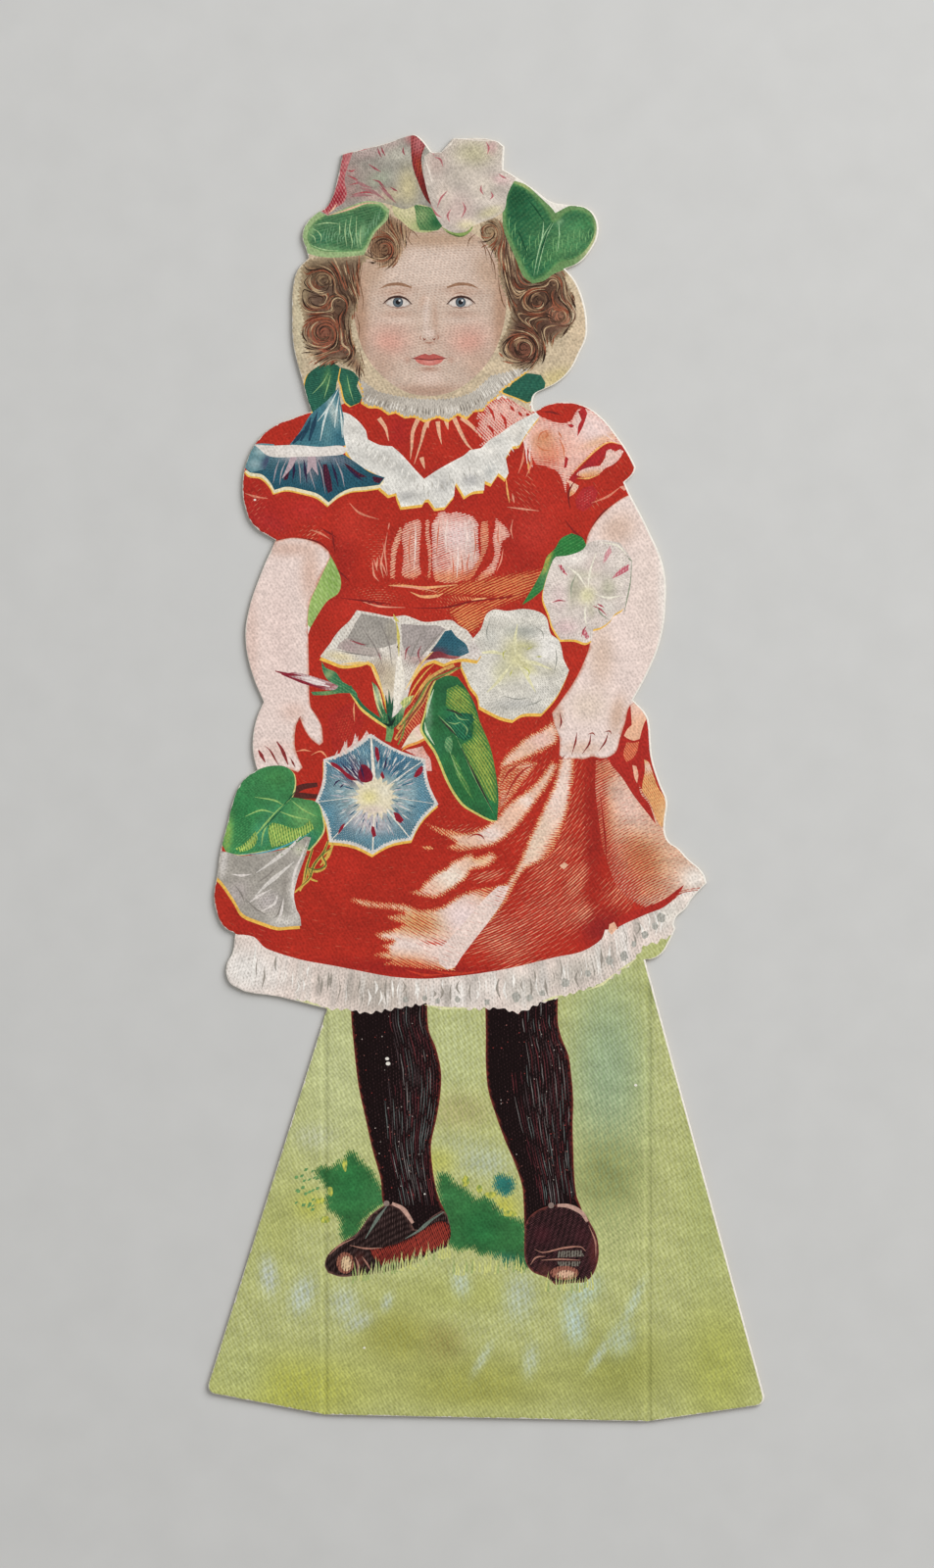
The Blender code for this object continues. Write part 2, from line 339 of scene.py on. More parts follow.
# The ground
random = np.random.default_rng(7)
circle = np.array([(math.cos(a), math.sin(a)) for a in np.linspace(0, 2 * math.pi, 17)[:-1]])
lay("ground", [(-300, -900), (1900, -900), (1900, 1700), (-300, 1700)], GRASS, GROUND,
    washes=[(1440, 30, 70, 60, 0, (146, 154, 96), 1.0), (430, 250, 110, 300, 0, (200, 205, 152), 0.9),
    (800, 200, 100, 180, 0, (196, 202, 150), 0.9), (800, 400, 110, 60, 0, (184, 178, 124), 0.9),
    (800, 530, 110, 60, 0, (186, 192, 156), 0.8), (1260, 250, 120, 260, 0, (158, 178, 144), 0.9),
    (1260, 600, 110, 120, 0, (144, 148, 90), 0.9), (1460, 250, 70, 200, 0, (194, 198, 142), 0.8),
    (1560, 700, 80, 260, 0, (178, 186, 120), 0.7), (1600, 1180, 120, 190, 0, (176, 180, 90), 0.9),
    (1300, 1190, 180, 130, 0, (150, 152, 74), 0.8), (850, 1240, 260, 100, 0, (160, 160, 74), 0.8),
    (620, 1090, 130, 90, 0, (156, 154, 70), 0.8), (760, 1110, 60, 60, 0, (150, 140, 76), 0.7),
    (300, 1250, 240, 110, 0, (184, 186, 82), 0.9), (130, 1200, 90, 110, 0, (192, 198, 134), 0.8),
    (250, 760, 60, 150, 15, (178, 182, 106), 0.6), (360, 480, 60, 40, 0, (200, 204, 172), 0.8),
    (740, 555, 60, 45, 0, (204, 204, 100), 0.8), (890, 560, 70, 44, 0, (190, 200, 176), 0.8),
    (940, 700, 50, 50, 0, (204, 202, 86), 0.9), (350, 690, 50, 50, 0, (196, 198, 84), 0.7),
    (820, 960, 240, 60, 0, (180, 184, 104), 0.7), (222, 905, 28, 62, -5, (203, 211, 200), 1.0),
    (325, 965, 36, 60, 20, (199, 209, 196), 1.0), (454, 990, 44, 52, 0, (193, 201, 178), 1.0),
    (500, 1046, 48, 26, -30, (193, 201, 182), 0.9), (585, 985, 16, 30, 20, (197, 207, 186), 1.0),
    (810, 926, 30, 46, -10, (197, 209, 184), 1.0), (990, 968, 50, 76, 5, (193, 203, 178), 1.0),
    (1158, 1046, 36, 74, -8, (189, 207, 196), 1.0), (1190, 950, 56, 40, -40, (189, 207, 190), 0.9),
    (1340, 985, 15, 72, 25, (193, 207, 186), 0.9), (876, 1160, 14, 60, 30, (195, 205, 180), 0.9),
    (1024, 1165, 24, 54, 8, (191, 201, 176), 0.9), (1232, 1150, 14, 56, 32, (193, 205, 188), 0.9),
    (1300, 1100, 42, 56, 25, (189, 203, 182), 0.8), (900, 1330, 300, 30, 2, (196, 200, 130), 0.6)],
    stroke=(166, 170, 98), stroke_washes=[(1260, 400, 120, 400, 0, (132, 158, 120), 0.9),
    (430, 300, 300, 300, 0, (180, 186, 128), 0.9)], amount=0.26, flow=lines(92, 0.001), uneven=0.05)
BUSHES = (([(383, 625), (357, 585), (372, 572), (395, 566), (412, 572), (433, 546), (446, 556), (460, 520),
    (486, 520), (500, 540), (536, 576), (561, 614), (600, 690), (560, 700), (520, 740), (500, 790),
    (452, 806), (438, 779), (436, 740), (424, 722), (396, 706), (390, 668), (404, 650)], BUSH),
    ([(735, 590), (747, 584), (775, 592), (800, 622), (831, 638), (862, 668), (880, 652), (905, 668),
    (933, 700), (978, 722), (1015, 735), (1020, 890), (985, 892), (966, 862), (956, 892), (940, 884),
    (930, 846), (916, 866), (900, 840), (870, 850), (846, 826), (800, 836), (760, 800), (740, 700)], BUSH),
    ([(908, 604), (925, 590), (950, 592), (975, 606), (982, 634), (968, 660), (940, 668), (918, 650),
    (904, 630)], (44, 118, 108)))
for outline, shade in BUSHES:
    lay("leaf", frilled(outline, 14, 10, 3, GROUND), shade, GROUND, ready=True,
        washes=[(600, 660, 260, 30, 0, (66, 130, 76), 0.6), (470, 620, 50, 80, 0, (44, 112, 60), 0.8),
        (870, 760, 60, 60, 0, (38, 104, 56), 0.8), (940, 860, 60, 24, 0, (50, 112, 96), 0.7)],
        stroke=(176, 186, 118), amount=0.0, fade=(0.45, 0.6), flow=lines(70, 0.01), uneven=0.1)
for x, y in random.uniform((306, 580), (388, 704), (26, 2)):
    brush("leaf", [(x - 5, y + 4), (x, y), (x + 6, y - 4)], random.uniform(0.2, 0.44), (104, 150, 92), GROUND)
for x, y, wide, tall in ((380, 676, 18, 10), (396, 734, 16, 12), (825, 616, 12, 18), (902, 658, 20, 10),
        (962, 716, 22, 10), (456, 566, 8, 20), (412, 646, 8, 16), (868, 640, 10, 14)):
    lay("ground", circle * (wide, tall) * random.uniform(0.8, 1.1, (len(circle), 1)) + (x, y),
        (204, 202, 88), GROUND, stroke=(70, 124, 76), amount=0.1, fade=(0.4, 0.4))

# Legs and shoes
LEFT_LEG = [(472, 40), (476, 130), (482, 190), (490, 270), (500, 340), (520, 430), (540, 520), (565, 610),
    (575, 690), (640, 800), (720, 800), (772, 780), (765, 715), (748, 680), (735, 640), (722, 560),
    (720, 500), (735, 430), (748, 350), (750, 280), (735, 210), (712, 150), (707, 40)]
RIGHT_LEG = [(885, 40), (887, 170), (887, 260), (895, 340), (920, 420), (945, 490), (975, 560), (998, 630),
    (1003, 690), (1005, 760), (1100, 800), (1200, 760), (1180, 700), (1165, 660), (1158, 600), (1155, 520),
    (1153, 440), (1155, 370), (1150, 300), (1140, 230), (1120, 180), (1108, 130), (1108, 40)]
RIBS = [(96, 104, 102), (118, 114, 112), (100, 44, 48), (78, 32, 38), (70, 58, 60)]
LEGS = (
    (LEFT_LEG, 500, 735, [(50, 472, 707), (130, 476, 705), (210, 484, 735), (280, 491, 750),
        (350, 502, 748), (430, 520, 735), (500, 534, 720), (560, 550, 722), (610, 565, 728),
        (700, 585, 745)]),
    (RIGHT_LEG, 905, 1145, [(50, 885, 1108), (130, 886, 1108), (180, 887, 1120), (230, 887, 1140),
        (300, 890, 1150), (370, 902, 1155), (440, 926, 1153), (520, 955, 1155), (600, 988, 1158),
        (680, 1002, 1168)]),
)
for leg, front, back, sides in LEGS:
    lay("stocking", leg, STOCKING, GROUND, stroke=(88, 62, 64), stroke_washes=[(back, 330, 34, 300, 0,
        (112, 40, 44), 0.9)], amount=0.06, amounts=[(back - 60, 330, 66, 280, 4, 0.2, 1.0), (front, 200, 40,
        200, 0, 0.03, 1.0)], flow=lines(86, 0.002), rim=((126, 52, 44), 0.16))
    heights = [side[0] for side in sides]
    for share in np.arange(0.3, 0.97, 0.036):
        y = random.uniform(56, 130) if share > 0.5 else random.uniform(250, 400)
        while y < 660:
            reach = random.uniform(30, 120)
            points = [(np.interp(h, heights, [side[1] * (1 - share) + side[2] * share for side in sides])
                + random.uniform(-1, 1), h) for h in np.linspace(y, min(y + reach, 690), 5)]
            brush("stocking", points, random.uniform(0.06, 0.12), RIBS[random.integers(5)], GROUND,
                (0.3, 1, 0.3), steps=2)
            y += reach + random.uniform(6, 36)
    for _ in range(70):
        y = random.uniform(56, 660)
        sides_here = [np.interp(y, heights, [side[i] for side in sides]) for i in (1, 2)]
        x = random.uniform(sides_here[0] + 8, sides_here[1] - 8)
        r = random.uniform(1.4, 2.4)
        lay("stocking", [(x - r, y), (x, y - r), (x + r, y), (x, y + r)],
            [(176, 164, 156), (140, 90, 84), (150, 60, 56)][random.integers(3)], GROUND)
lay("shoe", [(585, 684), (560, 700), (530, 724), (505, 760), (486, 780), (440, 808), (405, 840), (394, 872),
    (404, 896), (440, 908), (490, 906), (560, 898), (620, 885), (680, 862), (735, 832), (772, 815),
    (780, 770), (768, 716), (752, 706), (716, 730), (690, 766), (668, 764), (650, 730), (620, 696)],
    (26, 12, 12), GROUND, washes=[(560, 740, 26, 24, 0, (44, 28, 28), 0.7),
    (500, 858, 16, 26, 0, (84, 40, 34), 0.9)], stroke=(122, 96, 92), amount=0.16, flow=lines(35, 0.02),
    rim=((120, 84, 76), 0.12))
lay("shoe", [(530, 824), (582, 816), (646, 794), (690, 764), (748, 738), (774, 746), (780, 779), (766, 812),
    (710, 837), (658, 856), (607, 869), (569, 875), (544, 852)], (156, 58, 46), GROUND,
    washes=[(600, 850, 60, 20, -12, (120, 40, 34), 0.8)], stroke=(44, 16, 16), amount=0.36, fade=(0.3, 0.8),
    flow=lines(68, 0.01))
lay("shoe", [(1010, 745), (1005, 800), (1008, 860), (1030, 893), (1075, 912), (1100, 934), (1150, 928),
    (1192, 926), (1216, 900), (1232, 850), (1228, 790), (1206, 742), (1180, 705), (1130, 690), (1080, 692),
    (1035, 712)], (24, 10, 11), GROUND, washes=[(1060, 780, 30, 30, 0, (62, 20, 28), 0.8),
    (1216, 830, 14, 60, 0, (96, 40, 36), 0.8), (1070, 890, 24, 18, 30, (92, 50, 42), 0.8),
    (1180, 780, 20, 30, 0, (60, 22, 28), 0.7)], stroke=(122, 74, 80), amount=0.2, flow=lines(-84, 0.02),
    rim=((120, 60, 52), 0.13))
for outline in ([(1110, 830), (1180, 827), (1188, 846), (1106, 850)],
        [(1104, 862), (1177, 862), (1172, 876), (1114, 878)]):
    lay("shoe", outline, (122, 116, 106), GROUND, stroke=(40, 22, 22), amount=0.4, flow=lines(86))
for x, y, wide, tall, shade in ((457, 866, 27, 33, (150, 96, 78)), (460, 868, 17, 24, (218, 188, 150)),
        (1128, 897, 44, 22, (156, 100, 84)), (1132, 900, 28, 12, (220, 178, 150))):
    lay("shoe", circle * (wide, tall) + (x, y), shade, GROUND, stroke=(70, 34, 30), amount=0.12,
        fade=(0.3, 0.5), flow=lines(80))
brushes("shoe", [[(600, 684), (630, 698), (648, 720), (664, 744)],
    [(1106, 690), (1140, 692), (1180, 712), (1198, 740)]], 0.52, (190, 152, 138), GROUND, (0.6, 1, 0.6))
brushes("shoe", [[(640, 792), (684, 766), (716, 738), (760, 709)], [(586, 690), (556, 730), (518, 792)]],
    0.4, (106, 118, 108), GROUND)
brushes("shoe", [[(1036, 824), (1062, 834), (1126, 820), (1177, 817), (1193, 830)],
    [(1055, 858), (1113, 855), (1177, 858)], [(486, 846), (496, 870), (494, 902)],
    [(508, 846), (522, 866), (536, 890)], [(408, 842), (440, 812), (486, 790)],
    [(1024, 872), (1040, 850), (1070, 846)], [(470, 812), (520, 822), (570, 820)],
    [(1202, 750), (1222, 800), (1224, 850)]], 0.2, (170, 122, 106), GROUND)
for x, y in ((583, 684), (1087, 690)):
    lay("shoe", circle * 9 + (x, y), (136, 118, 110), GROUND)
for start, end, level, sink in ((480, 780, 905, 75), (1070, 1220, 938, 14), (780, 1010, 880, 10),
        (560, 760, 885, 60)):
    for x in np.arange(start, end, 8.0):
        root = level - sink * np.clip((x - start) / (end - start), 0, 1) + random.uniform(-4, 12)
        tip = (x + random.uniform(-6, 12), root - random.uniform(16, 46))
        shade = GRASS
        if random.random() >= 0.5:
            shade = (206, 208, 128) if random.random() < 0.6 else (160, 176, 110)
        brush("ground", [(x, root + 18), (x + 1, root), tip], 0.22, shade, GROUND, (1, 0.8, 0.05))

# Petticoat lace
LACE_TOP = [(60, 960), (125, 985), (150, 990), (180, 1000), (210, 1030), (260, 1055), (330, 1075),
    (420, 1092), (500, 1108), (600, 1126), (700, 1130), (800, 1124), (900, 1110), (1000, 1090),
    (1100, 1065), (1180, 1048), (1236, 1000), (1254, 966), (1300, 948), (1350, 922), (1420, 900),
    (1462, 872), (1500, 846), (1640, 780)]
LACE_LOW = [(1640, 850), (1510, 960), (1480, 990), (1450, 1006), (1412, 1024), (1372, 1038), (1350, 1064),
    (1330, 1090), (1290, 1122), (1240, 1150), (1180, 1172), (1110, 1192), (1060, 1208), (1010, 1232),
    (980, 1238), (920, 1226), (850, 1230), (800, 1224), (740, 1228), (700, 1214), (650, 1222), (600, 1230),
    (520, 1240), (470, 1232), (400, 1226), (340, 1206), (260, 1200), (100, 1190), (40, 1100)]


def pleats(start, end, step, top, low, lean, seed):
    """Soft bands of light and shade that run down a gathered strip, as washes."""
    random = np.random.default_rng(seed)
    bands = []
    for x in np.arange(start, end, step):
        x = x + random.uniform(-4, 4)
        high, deep = (np.interp(x, [q[0] for q in line], [q[1] for q in line]) for line in (top, low))
        shade = [(240, 234, 228), (176, 167, 158), (230, 224, 217), (196, 188, 180),
            (214, 207, 199)][random.integers(5)]
        x += random.uniform(-0.4, 0.4) * step
        bands.append((x, (high + deep) / 2 + random.uniform(-24, 24), random.uniform(0.2, 0.6) * step,
            (deep - high) * random.uniform(0.2, 0.6), lean * (x - (start + end) / 2), shade,
            random.uniform(0.4, 0.95)))
    return bands


lay("lace", place(np.concatenate([smooth(LACE_TOP, closed=False), smooth(frill(LACE_LOW, 30, 9, 11),
    closed=False, sharp=180)]), SKIRT), LACE, SKIRT, ready=True,
    washes=[(150, 1110, 110, 70, 15, (238, 232, 226), 1.0), (560, 1180, 110, 60, 5, (184, 173, 162), 0.9),
    (800, 1180, 80, 50, 0, (232, 225, 218), 0.9), (1000, 1170, 60, 50, 0, (206, 200, 190), 0.8),
    (1180, 1110, 120, 40, -20, (200, 196, 184), 0.6), (1440, 940, 60, 40, -40, (228, 222, 212), 0.9),
    (1540, 850, 60, 60, 0, (236, 226, 218), 1.0)] + pleats(240, 1450, 27.0, LACE_TOP, LACE_LOW[::-1],
    -0.012, 17), stroke=(160, 152, 142), amount=0.12, amounts=[(560, 1190, 120, 60, 0, 0.26, 1.0),
    (1250, 1100, 160, 60, -25, 0.24, 1.0)], flow=rays(760, -900, SKIRT, 75.0), uneven=0.06)
for x in np.arange(170, 1440, 18.0) + random.uniform(-9, 9, 71):
    top = np.interp(x, [q[0] for q in LACE_TOP], [q[1] for q in LACE_TOP])
    low = np.interp(x, [q[0] for q in LACE_LOW[::-1]], [q[1] for q in LACE_LOW[::-1]])
    lean = (x - 760) / 6500
    first = top + (low - top) * random.uniform(0.1, 0.5)
    last = first + (low - first) * random.uniform(0.3, 0.85)
    shade = (242, 237, 230) if random.random() < 0.6 else (156, 148, 138)
    brush("lace", [(x + lean * (first - 1100), first), (x + random.uniform(-7, 7), (first + last) / 2),
        (x + lean * (last - 1100) + random.uniform(-6, 6), last)], random.uniform(0.08, 0.34), shade, SKIRT)
for x, y, r in ((1265, 1080, 12), (1310, 1066, 13), (1374, 1002, 11), (1405, 975, 10), (1424, 948, 13),
        (1020, 1195, 10), (980, 1192, 13), (890, 1208, 8), (1130, 1148, 12), (800, 1200, 9), (740, 1204, 8),
        (1200, 1120, 9), (700, 1196, 8), (640, 1200, 9), (1060, 1180, 9), (1340, 1030, 8)):
    lay("lace", circle * (r, r * 1.2) * random.uniform(0.8, 1.15, (len(circle), 1)) + (x, y),
        (182, 180, 172), SKIRT, stroke=(150, 146, 136), amount=0.3, fade=(0.25, 0.1))
brushes("lace", [[(1350, 1072), (1320, 1096), (1290, 1112)], [(1284, 1118), (1244, 1152), (1200, 1170)],
    [(1120, 1186), (1090, 1196), (1060, 1206)], [(300, 1204), (350, 1212), (400, 1228)],
    [(700, 1216), (760, 1226), (840, 1226)]], 0.3, (222, 220, 168), SKIRT)

# Dress

DRESS = [(360, 880), (300, 905), (245, 925), (180, 975), (130, 1050), (120, 1127), (128, 1190), (160, 1260),
    (235, 1310), (330, 1310), (400, 1400), (350, 1560), (300, 1700), (60, 2100), (20, 2350), (40, 2440),
    (90, 2480), (125, 2500), (150, 2502), (180, 2510), (210, 2540), (260, 2560), (330, 2580), (420, 2596),
    (500, 2612), (600, 2630), (700, 2636), (800, 2628), (900, 2615), (1000, 2595), (1100, 2570),
    (1180, 2553), (1240, 2516), (1252, 2486), (1292, 2484), (1296, 2460), (1350, 2440), (1420, 2414),
    (1462, 2382), (1496, 2354), (1560, 2310), (1480, 2225), (1450, 2190), (1448, 2100), (1425, 2030),
    (1408, 1950), (1400, 1850), (1350, 1790), (1300, 1700), (1300, 1500), (1230, 1300), (1330, 1150),
    (1350, 1080), (1300, 985), (1245, 920), (1190, 885), (1130, 872), (1070, 880), (1030, 905), (900, 860),
    (700, 880), (480, 850), (440, 880), (420, 900)]
lay("cloth", DRESS, (228, 166, 128), washes=[(1330, 2170, 120, 190, 0, (230, 178, 140), 0.9),
    (1410, 2250, 70, 70, 0, (232, 196, 176), 0.9), (1000, 2450, 200, 120, 0, (228, 170, 140), 0.7),
    (900, 1460, 200, 60, 0, (220, 140, 90), 0.9), (1250, 2000, 60, 120, 0, (222, 150, 106), 0.8)],
    stroke=RED, stroke_washes=[(150, 1150, 60, 200, 0, (166, 38, 30), 0.6),
    (380, 1450, 90, 60, 0, (156, 38, 32), 0.6), (1215, 2150, 30, 260, 0, (150, 36, 28), 0.8),
    (1240, 2480, 70, 50, -20, (136, 32, 32), 0.8), (700, 2610, 300, 26, 4, (150, 30, 28), 0.7),
    (700, 2200, 260, 90, 0, (166, 38, 26), 0.6), (1000, 1300, 80, 120, 0, (160, 38, 30), 0.6),
    (450, 1330, 40, 100, 0, (156, 36, 30), 0.6), (560, 2450, 160, 90, 0, (164, 40, 28), 0.6),
    (1320, 1900, 60, 120, 0, (164, 44, 32), 0.6), (760, 1160, 200, 40, 0, (160, 36, 28), 0.5),
    (200, 2450, 80, 80, 0, (158, 34, 30), 0.5), (480, 1250, 60, 60, 0, (194, 56, 42), 0.7),
    (1040, 1260, 60, 60, 0, (192, 56, 44), 0.7), (340, 1200, 60, 40, 0, (188, 48, 44), 0.7),
    (1090, 1180, 50, 50, 0, (186, 48, 36), 0.6), (500, 1500, 90, 40, 0, (188, 50, 38), 0.6),
    (900, 2060, 60, 120, 30, (190, 50, 36), 0.7), (420, 2300, 100, 60, 0, (186, 46, 34), 0.6),
    (230, 1240, 60, 26, 20, (180, 50, 50), 0.7), (200, 1210, 90, 70, 0, (166, 38, 36), 0.6),
    (800, 1090, 90, 30, 0, (158, 38, 34), 0.7), (620, 960, 40, 60, 0, (160, 36, 34), 0.7)], amount=1.0,
    amounts=[(1085, 2290, 70, 230, 24, 0.72, 1.0), (930, 2510, 150, 90, 26, 0.66, 1.0),
    (1110, 2440, 110, 90, 0, 0.74, 1.0), (1170, 2330, 34, 70, 30, 0.56, 1.0),
    (1190, 2440, 34, 44, 30, 0.54, 0.9), (1300, 2380, 60, 60, 0, 0.7, 1.0),
    (1216, 2150, 22, 260, 0, 1.0, 1.0), (1240, 2480, 80, 36, -20, 1.0, 1.0),
    (1000, 2210, 40, 60, 20, 0.84, 0.9), (900, 2320, 60, 16, -10, 0.6, 1.0),
    (1150, 2040, 30, 130, 10, 0.8, 0.9), (1180, 2200, 22, 120, 6, 0.8, 0.9),
    (920, 1450, 150, 40, -12, 0.5, 1.0), (840, 1520, 50, 50, 0, 0.55, 1.0),
    (560, 1465, 60, 22, 8, 0.8, 1.0), (1000, 1990, 60, 90, 35, 0.8, 0.9), (840, 2190, 80, 26, 10, 0.7, 0.9),
    (560, 1335, 40, 60, 0, 0.86, 1.0), (1010, 1150, 40, 60, 0, 0.86, 1.0), (190, 1180, 30, 40, 0, 0.9, 1.0),
    (1220, 1172, 22, 30, 10, 0.8, 1.0), (350, 1275, 30, 24, 0, 0.8, 1.0),
    (560, 1100, 26, 14, 0, 0.86, 1.0)], flow=rings(560, 1640, 0, 1.0), uneven=0.1)

# Light on the skirt. The two long folds run together below MEETING_TOP, along MEETING_LINE (rows, columns).
MEETING_TOP = 850
MEETING_LINE = ([842, 1095], [940, 772])
MEETING_WIDTH = 60


def comb(outline, spacing, reach, colour, down, random):
    """Short strokes side by side, from an outline inwards, but none where two folds run together."""
    around = [*outline, outline[0]]
    turning = sum(x0 * y1 - x1 * y0 for (x0, y0), (x1, y1) in zip(around, around[1:]))
    for start, end in zip(np.array(around[:-1]), np.array(around[1:])):
        x, y = (start + end) / 2
        if y > MEETING_TOP and abs(x - np.interp(y, *MEETING_LINE)) < MEETING_WIDTH:
            continue
        length = np.linalg.norm(end - start)
        side = np.array([start[1] - end[1], end[0] - start[0]]) * math.copysign(1, turning)
        side = side / np.linalg.norm(side)
        for t in np.arange(0.5, length / spacing) * spacing / length:
            root = start + (end - start) * t - side * 2
            tip = root + side * random.uniform(0.4, 1.0) * reach + random.uniform(-2, 2, 2)
            brush("cloth", [root, (root + tip) / 2, tip], 0.11, colour, down, (1, 0.8, 0.1), steps=1)


random = np.random.default_rng(11)
LIGHT_FOLDS = (
    ([(1088, 470), (1060, 510), (1034, 540), (1000, 568), (964, 592), (936, 620), (920, 644), (896, 660),
        (860, 682), (820, 690), (780, 682), (740, 672), (700, 658), (724, 680), (764, 700), (796, 720),
        (764, 734), (804, 746), (852, 740), (906, 730), (946, 706), (980, 676), (1012, 636), (1044, 592),
        (1070, 556), (1088, 528), (1110, 480)], [(900, 690, 60, 30, 30, (232, 214, 206), 0.9),
        (1010, 590, 60, 20, 40, (234, 214, 202), 0.9), (750, 690, 60, 16, 0, (226, 164, 112), 0.8),
        (800, 738, 50, 12, 0, (230, 180, 130), 0.8)], [(740, 684, 50, 20, 0, 0.4, 1.0),
        (800, 736, 50, 12, 0, 0.4, 1.0)]),
    ([(924, 528), (936, 480), (1004, 470), (1048, 474), (1012, 520), (988, 552), (964, 584), (936, 616),
        (922, 632)], [(960, 520, 50, 60, 0, (224, 166, 112), 0.8)], [(970, 530, 50, 60, 30, 0.5, 1.0)]),
    ([(906, 746), (924, 764), (896, 792), (846, 804), (830, 826), (800, 852), (770, 872), (732, 890),
        (690, 884), (650, 872), (684, 862), (696, 844), (732, 812), (764, 796), (780, 778), (816, 762),
        (842, 748), (852, 764), (874, 760)], [(780, 824, 80, 40, 30, (238, 222, 206), 1.0),
        (876, 774, 40, 14, 10, (232, 190, 144), 0.8)], [(700, 870, 40, 12, 0, 0.3, 1.0)]),
    ([(956, 842), (900, 856), (852, 864), (812, 876), (780, 896), (748, 916), (690, 925), (640, 908),
        (560, 902), (480, 888), (470, 895), (520, 916), (600, 925), (640, 934), (582, 946), (602, 958),
        (640, 968), (592, 988), (545, 998), (562, 1014), (604, 1024), (562, 1036), (592, 1050),
        (540, 1064), (602, 1080), (572, 1092), (652, 1100), (740, 1108), (790, 1112), (820, 1040),
        (870, 980), (910, 920), (940, 880)], [(640, 1092, 120, 22, 5, ORANGE, 0.9),
        (690, 962, 90, 40, 0, (214, 168, 108), 0.95), (820, 950, 90, 70, 20, (234, 212, 208), 1.0),
        (900, 870, 60, 24, 20, (224, 158, 110), 0.8), (640, 1030, 110, 26, 8, (236, 216, 208), 0.95),
        (760, 1050, 60, 30, -20, (234, 212, 204), 0.9)], [(640, 1094, 140, 20, 5, 0.55, 1.0),
        (900, 866, 70, 24, 16, 0.56, 1.0), (690, 968, 84, 40, 0, 0.44, 1.0),
        (730, 1026, 46, 9, 0, 0.66, 1.0), (810, 950, 70, 60, 20, 0.0, 1.0),
        (640, 1036, 80, 20, 8, 0.04, 1.0)]),
    ([(1122, 430), (1110, 480), (1096, 536), (1068, 600), (1040, 660), (1012, 720), (990, 778),
        (968, 816), (940, 856), (916, 896), (884, 936), (852, 976), (800, 1020), (756, 1060), (780, 1100),
        (812, 1066), (848, 1020), (876, 984), (908, 952), (936, 916), (960, 880), (980, 840), (1012, 800),
        (1060, 776), (1096, 736), (1120, 680), (1140, 616), (1150, 560), (1158, 500), (1160, 436)],
        [(1110, 560, 44, 130, 12, (234, 210, 198), 0.95), (1040, 720, 30, 90, 26, (228, 204, 182), 0.9),
        (1094, 730, 18, 80, 26, (226, 170, 120), 0.8), (930, 890, 40, 60, 40, (230, 196, 172), 0.8)],
        [(1090, 740, 24, 80, 26, 0.5, 1.0), (950, 890, 36, 60, 40, 0.46, 0.9),
        (1148, 560, 12, 90, 6, 0.45, 1.0)]),
    ([(925, 500), (940, 462), (980, 422), (1010, 396), (1060, 370), (1090, 345), (1112, 372), (1105, 415),
        (1060, 440), (1000, 468), (960, 486)], [(1050, 400, 60, 30, 30, PINK, 0.9)], []),
    ([(690, 735), (715, 728), (730, 738), (712, 742)], [], []),
)
for outline, washes, amounts in LIGHT_FOLDS:
    lay("cloth", frilled(outline, 10, 6, 5, SKIRT), (232, 192, 168), SKIRT,
        washes=washes, stroke=(188, 54, 36), amount=0.08, amounts=amounts, fade=(0.45, 0.5),
        rim=((228, 170, 114), 0.34), flow=rings(1150, 200, SKIRT), ready=True)
    if len(outline) > 8:
        comb(outline, 6.4, 18, (182, 56, 38), SKIRT, random)
lay("cloth", [(958, 852), (938, 900), (900, 956), (850, 1020), (812, 1070), (792, 1100), (768, 1108),
    (744, 1090), (742, 1052), (780, 1010), (832, 950), (884, 890), (926, 852)], (232, 210, 200), SKIRT,
    stroke=(188, 70, 44), amount=0.08, amounts=[(930, 880, 20, 30, 20, 0.3, 1.0)],
    flow=rings(1150, 200, SKIRT))
for y in np.arange(486, 628, 6.0):
    left, right = np.interp(y, [486, 560, 628], [936, 926, 926]), np.interp(y, [486, 520, 584, 628],
        [1030, 1006, 960, 934])
    middle = random.uniform(left, right)
    brush("cloth", [(left + 2, y + 4), (middle, y), (right - 3, y - 6)], 0.12, (184, 74, 46), SKIRT,
        (0.9, 0.7, 0.3), steps=2)
brushes("cloth", [[(996, 476), (960, 500), (934, 540)], [(1040, 478), (1000, 500), (968, 540), (944, 590)]],
    0.3, (168, 52, 40), SKIRT, (0.2, 1, 0.1))
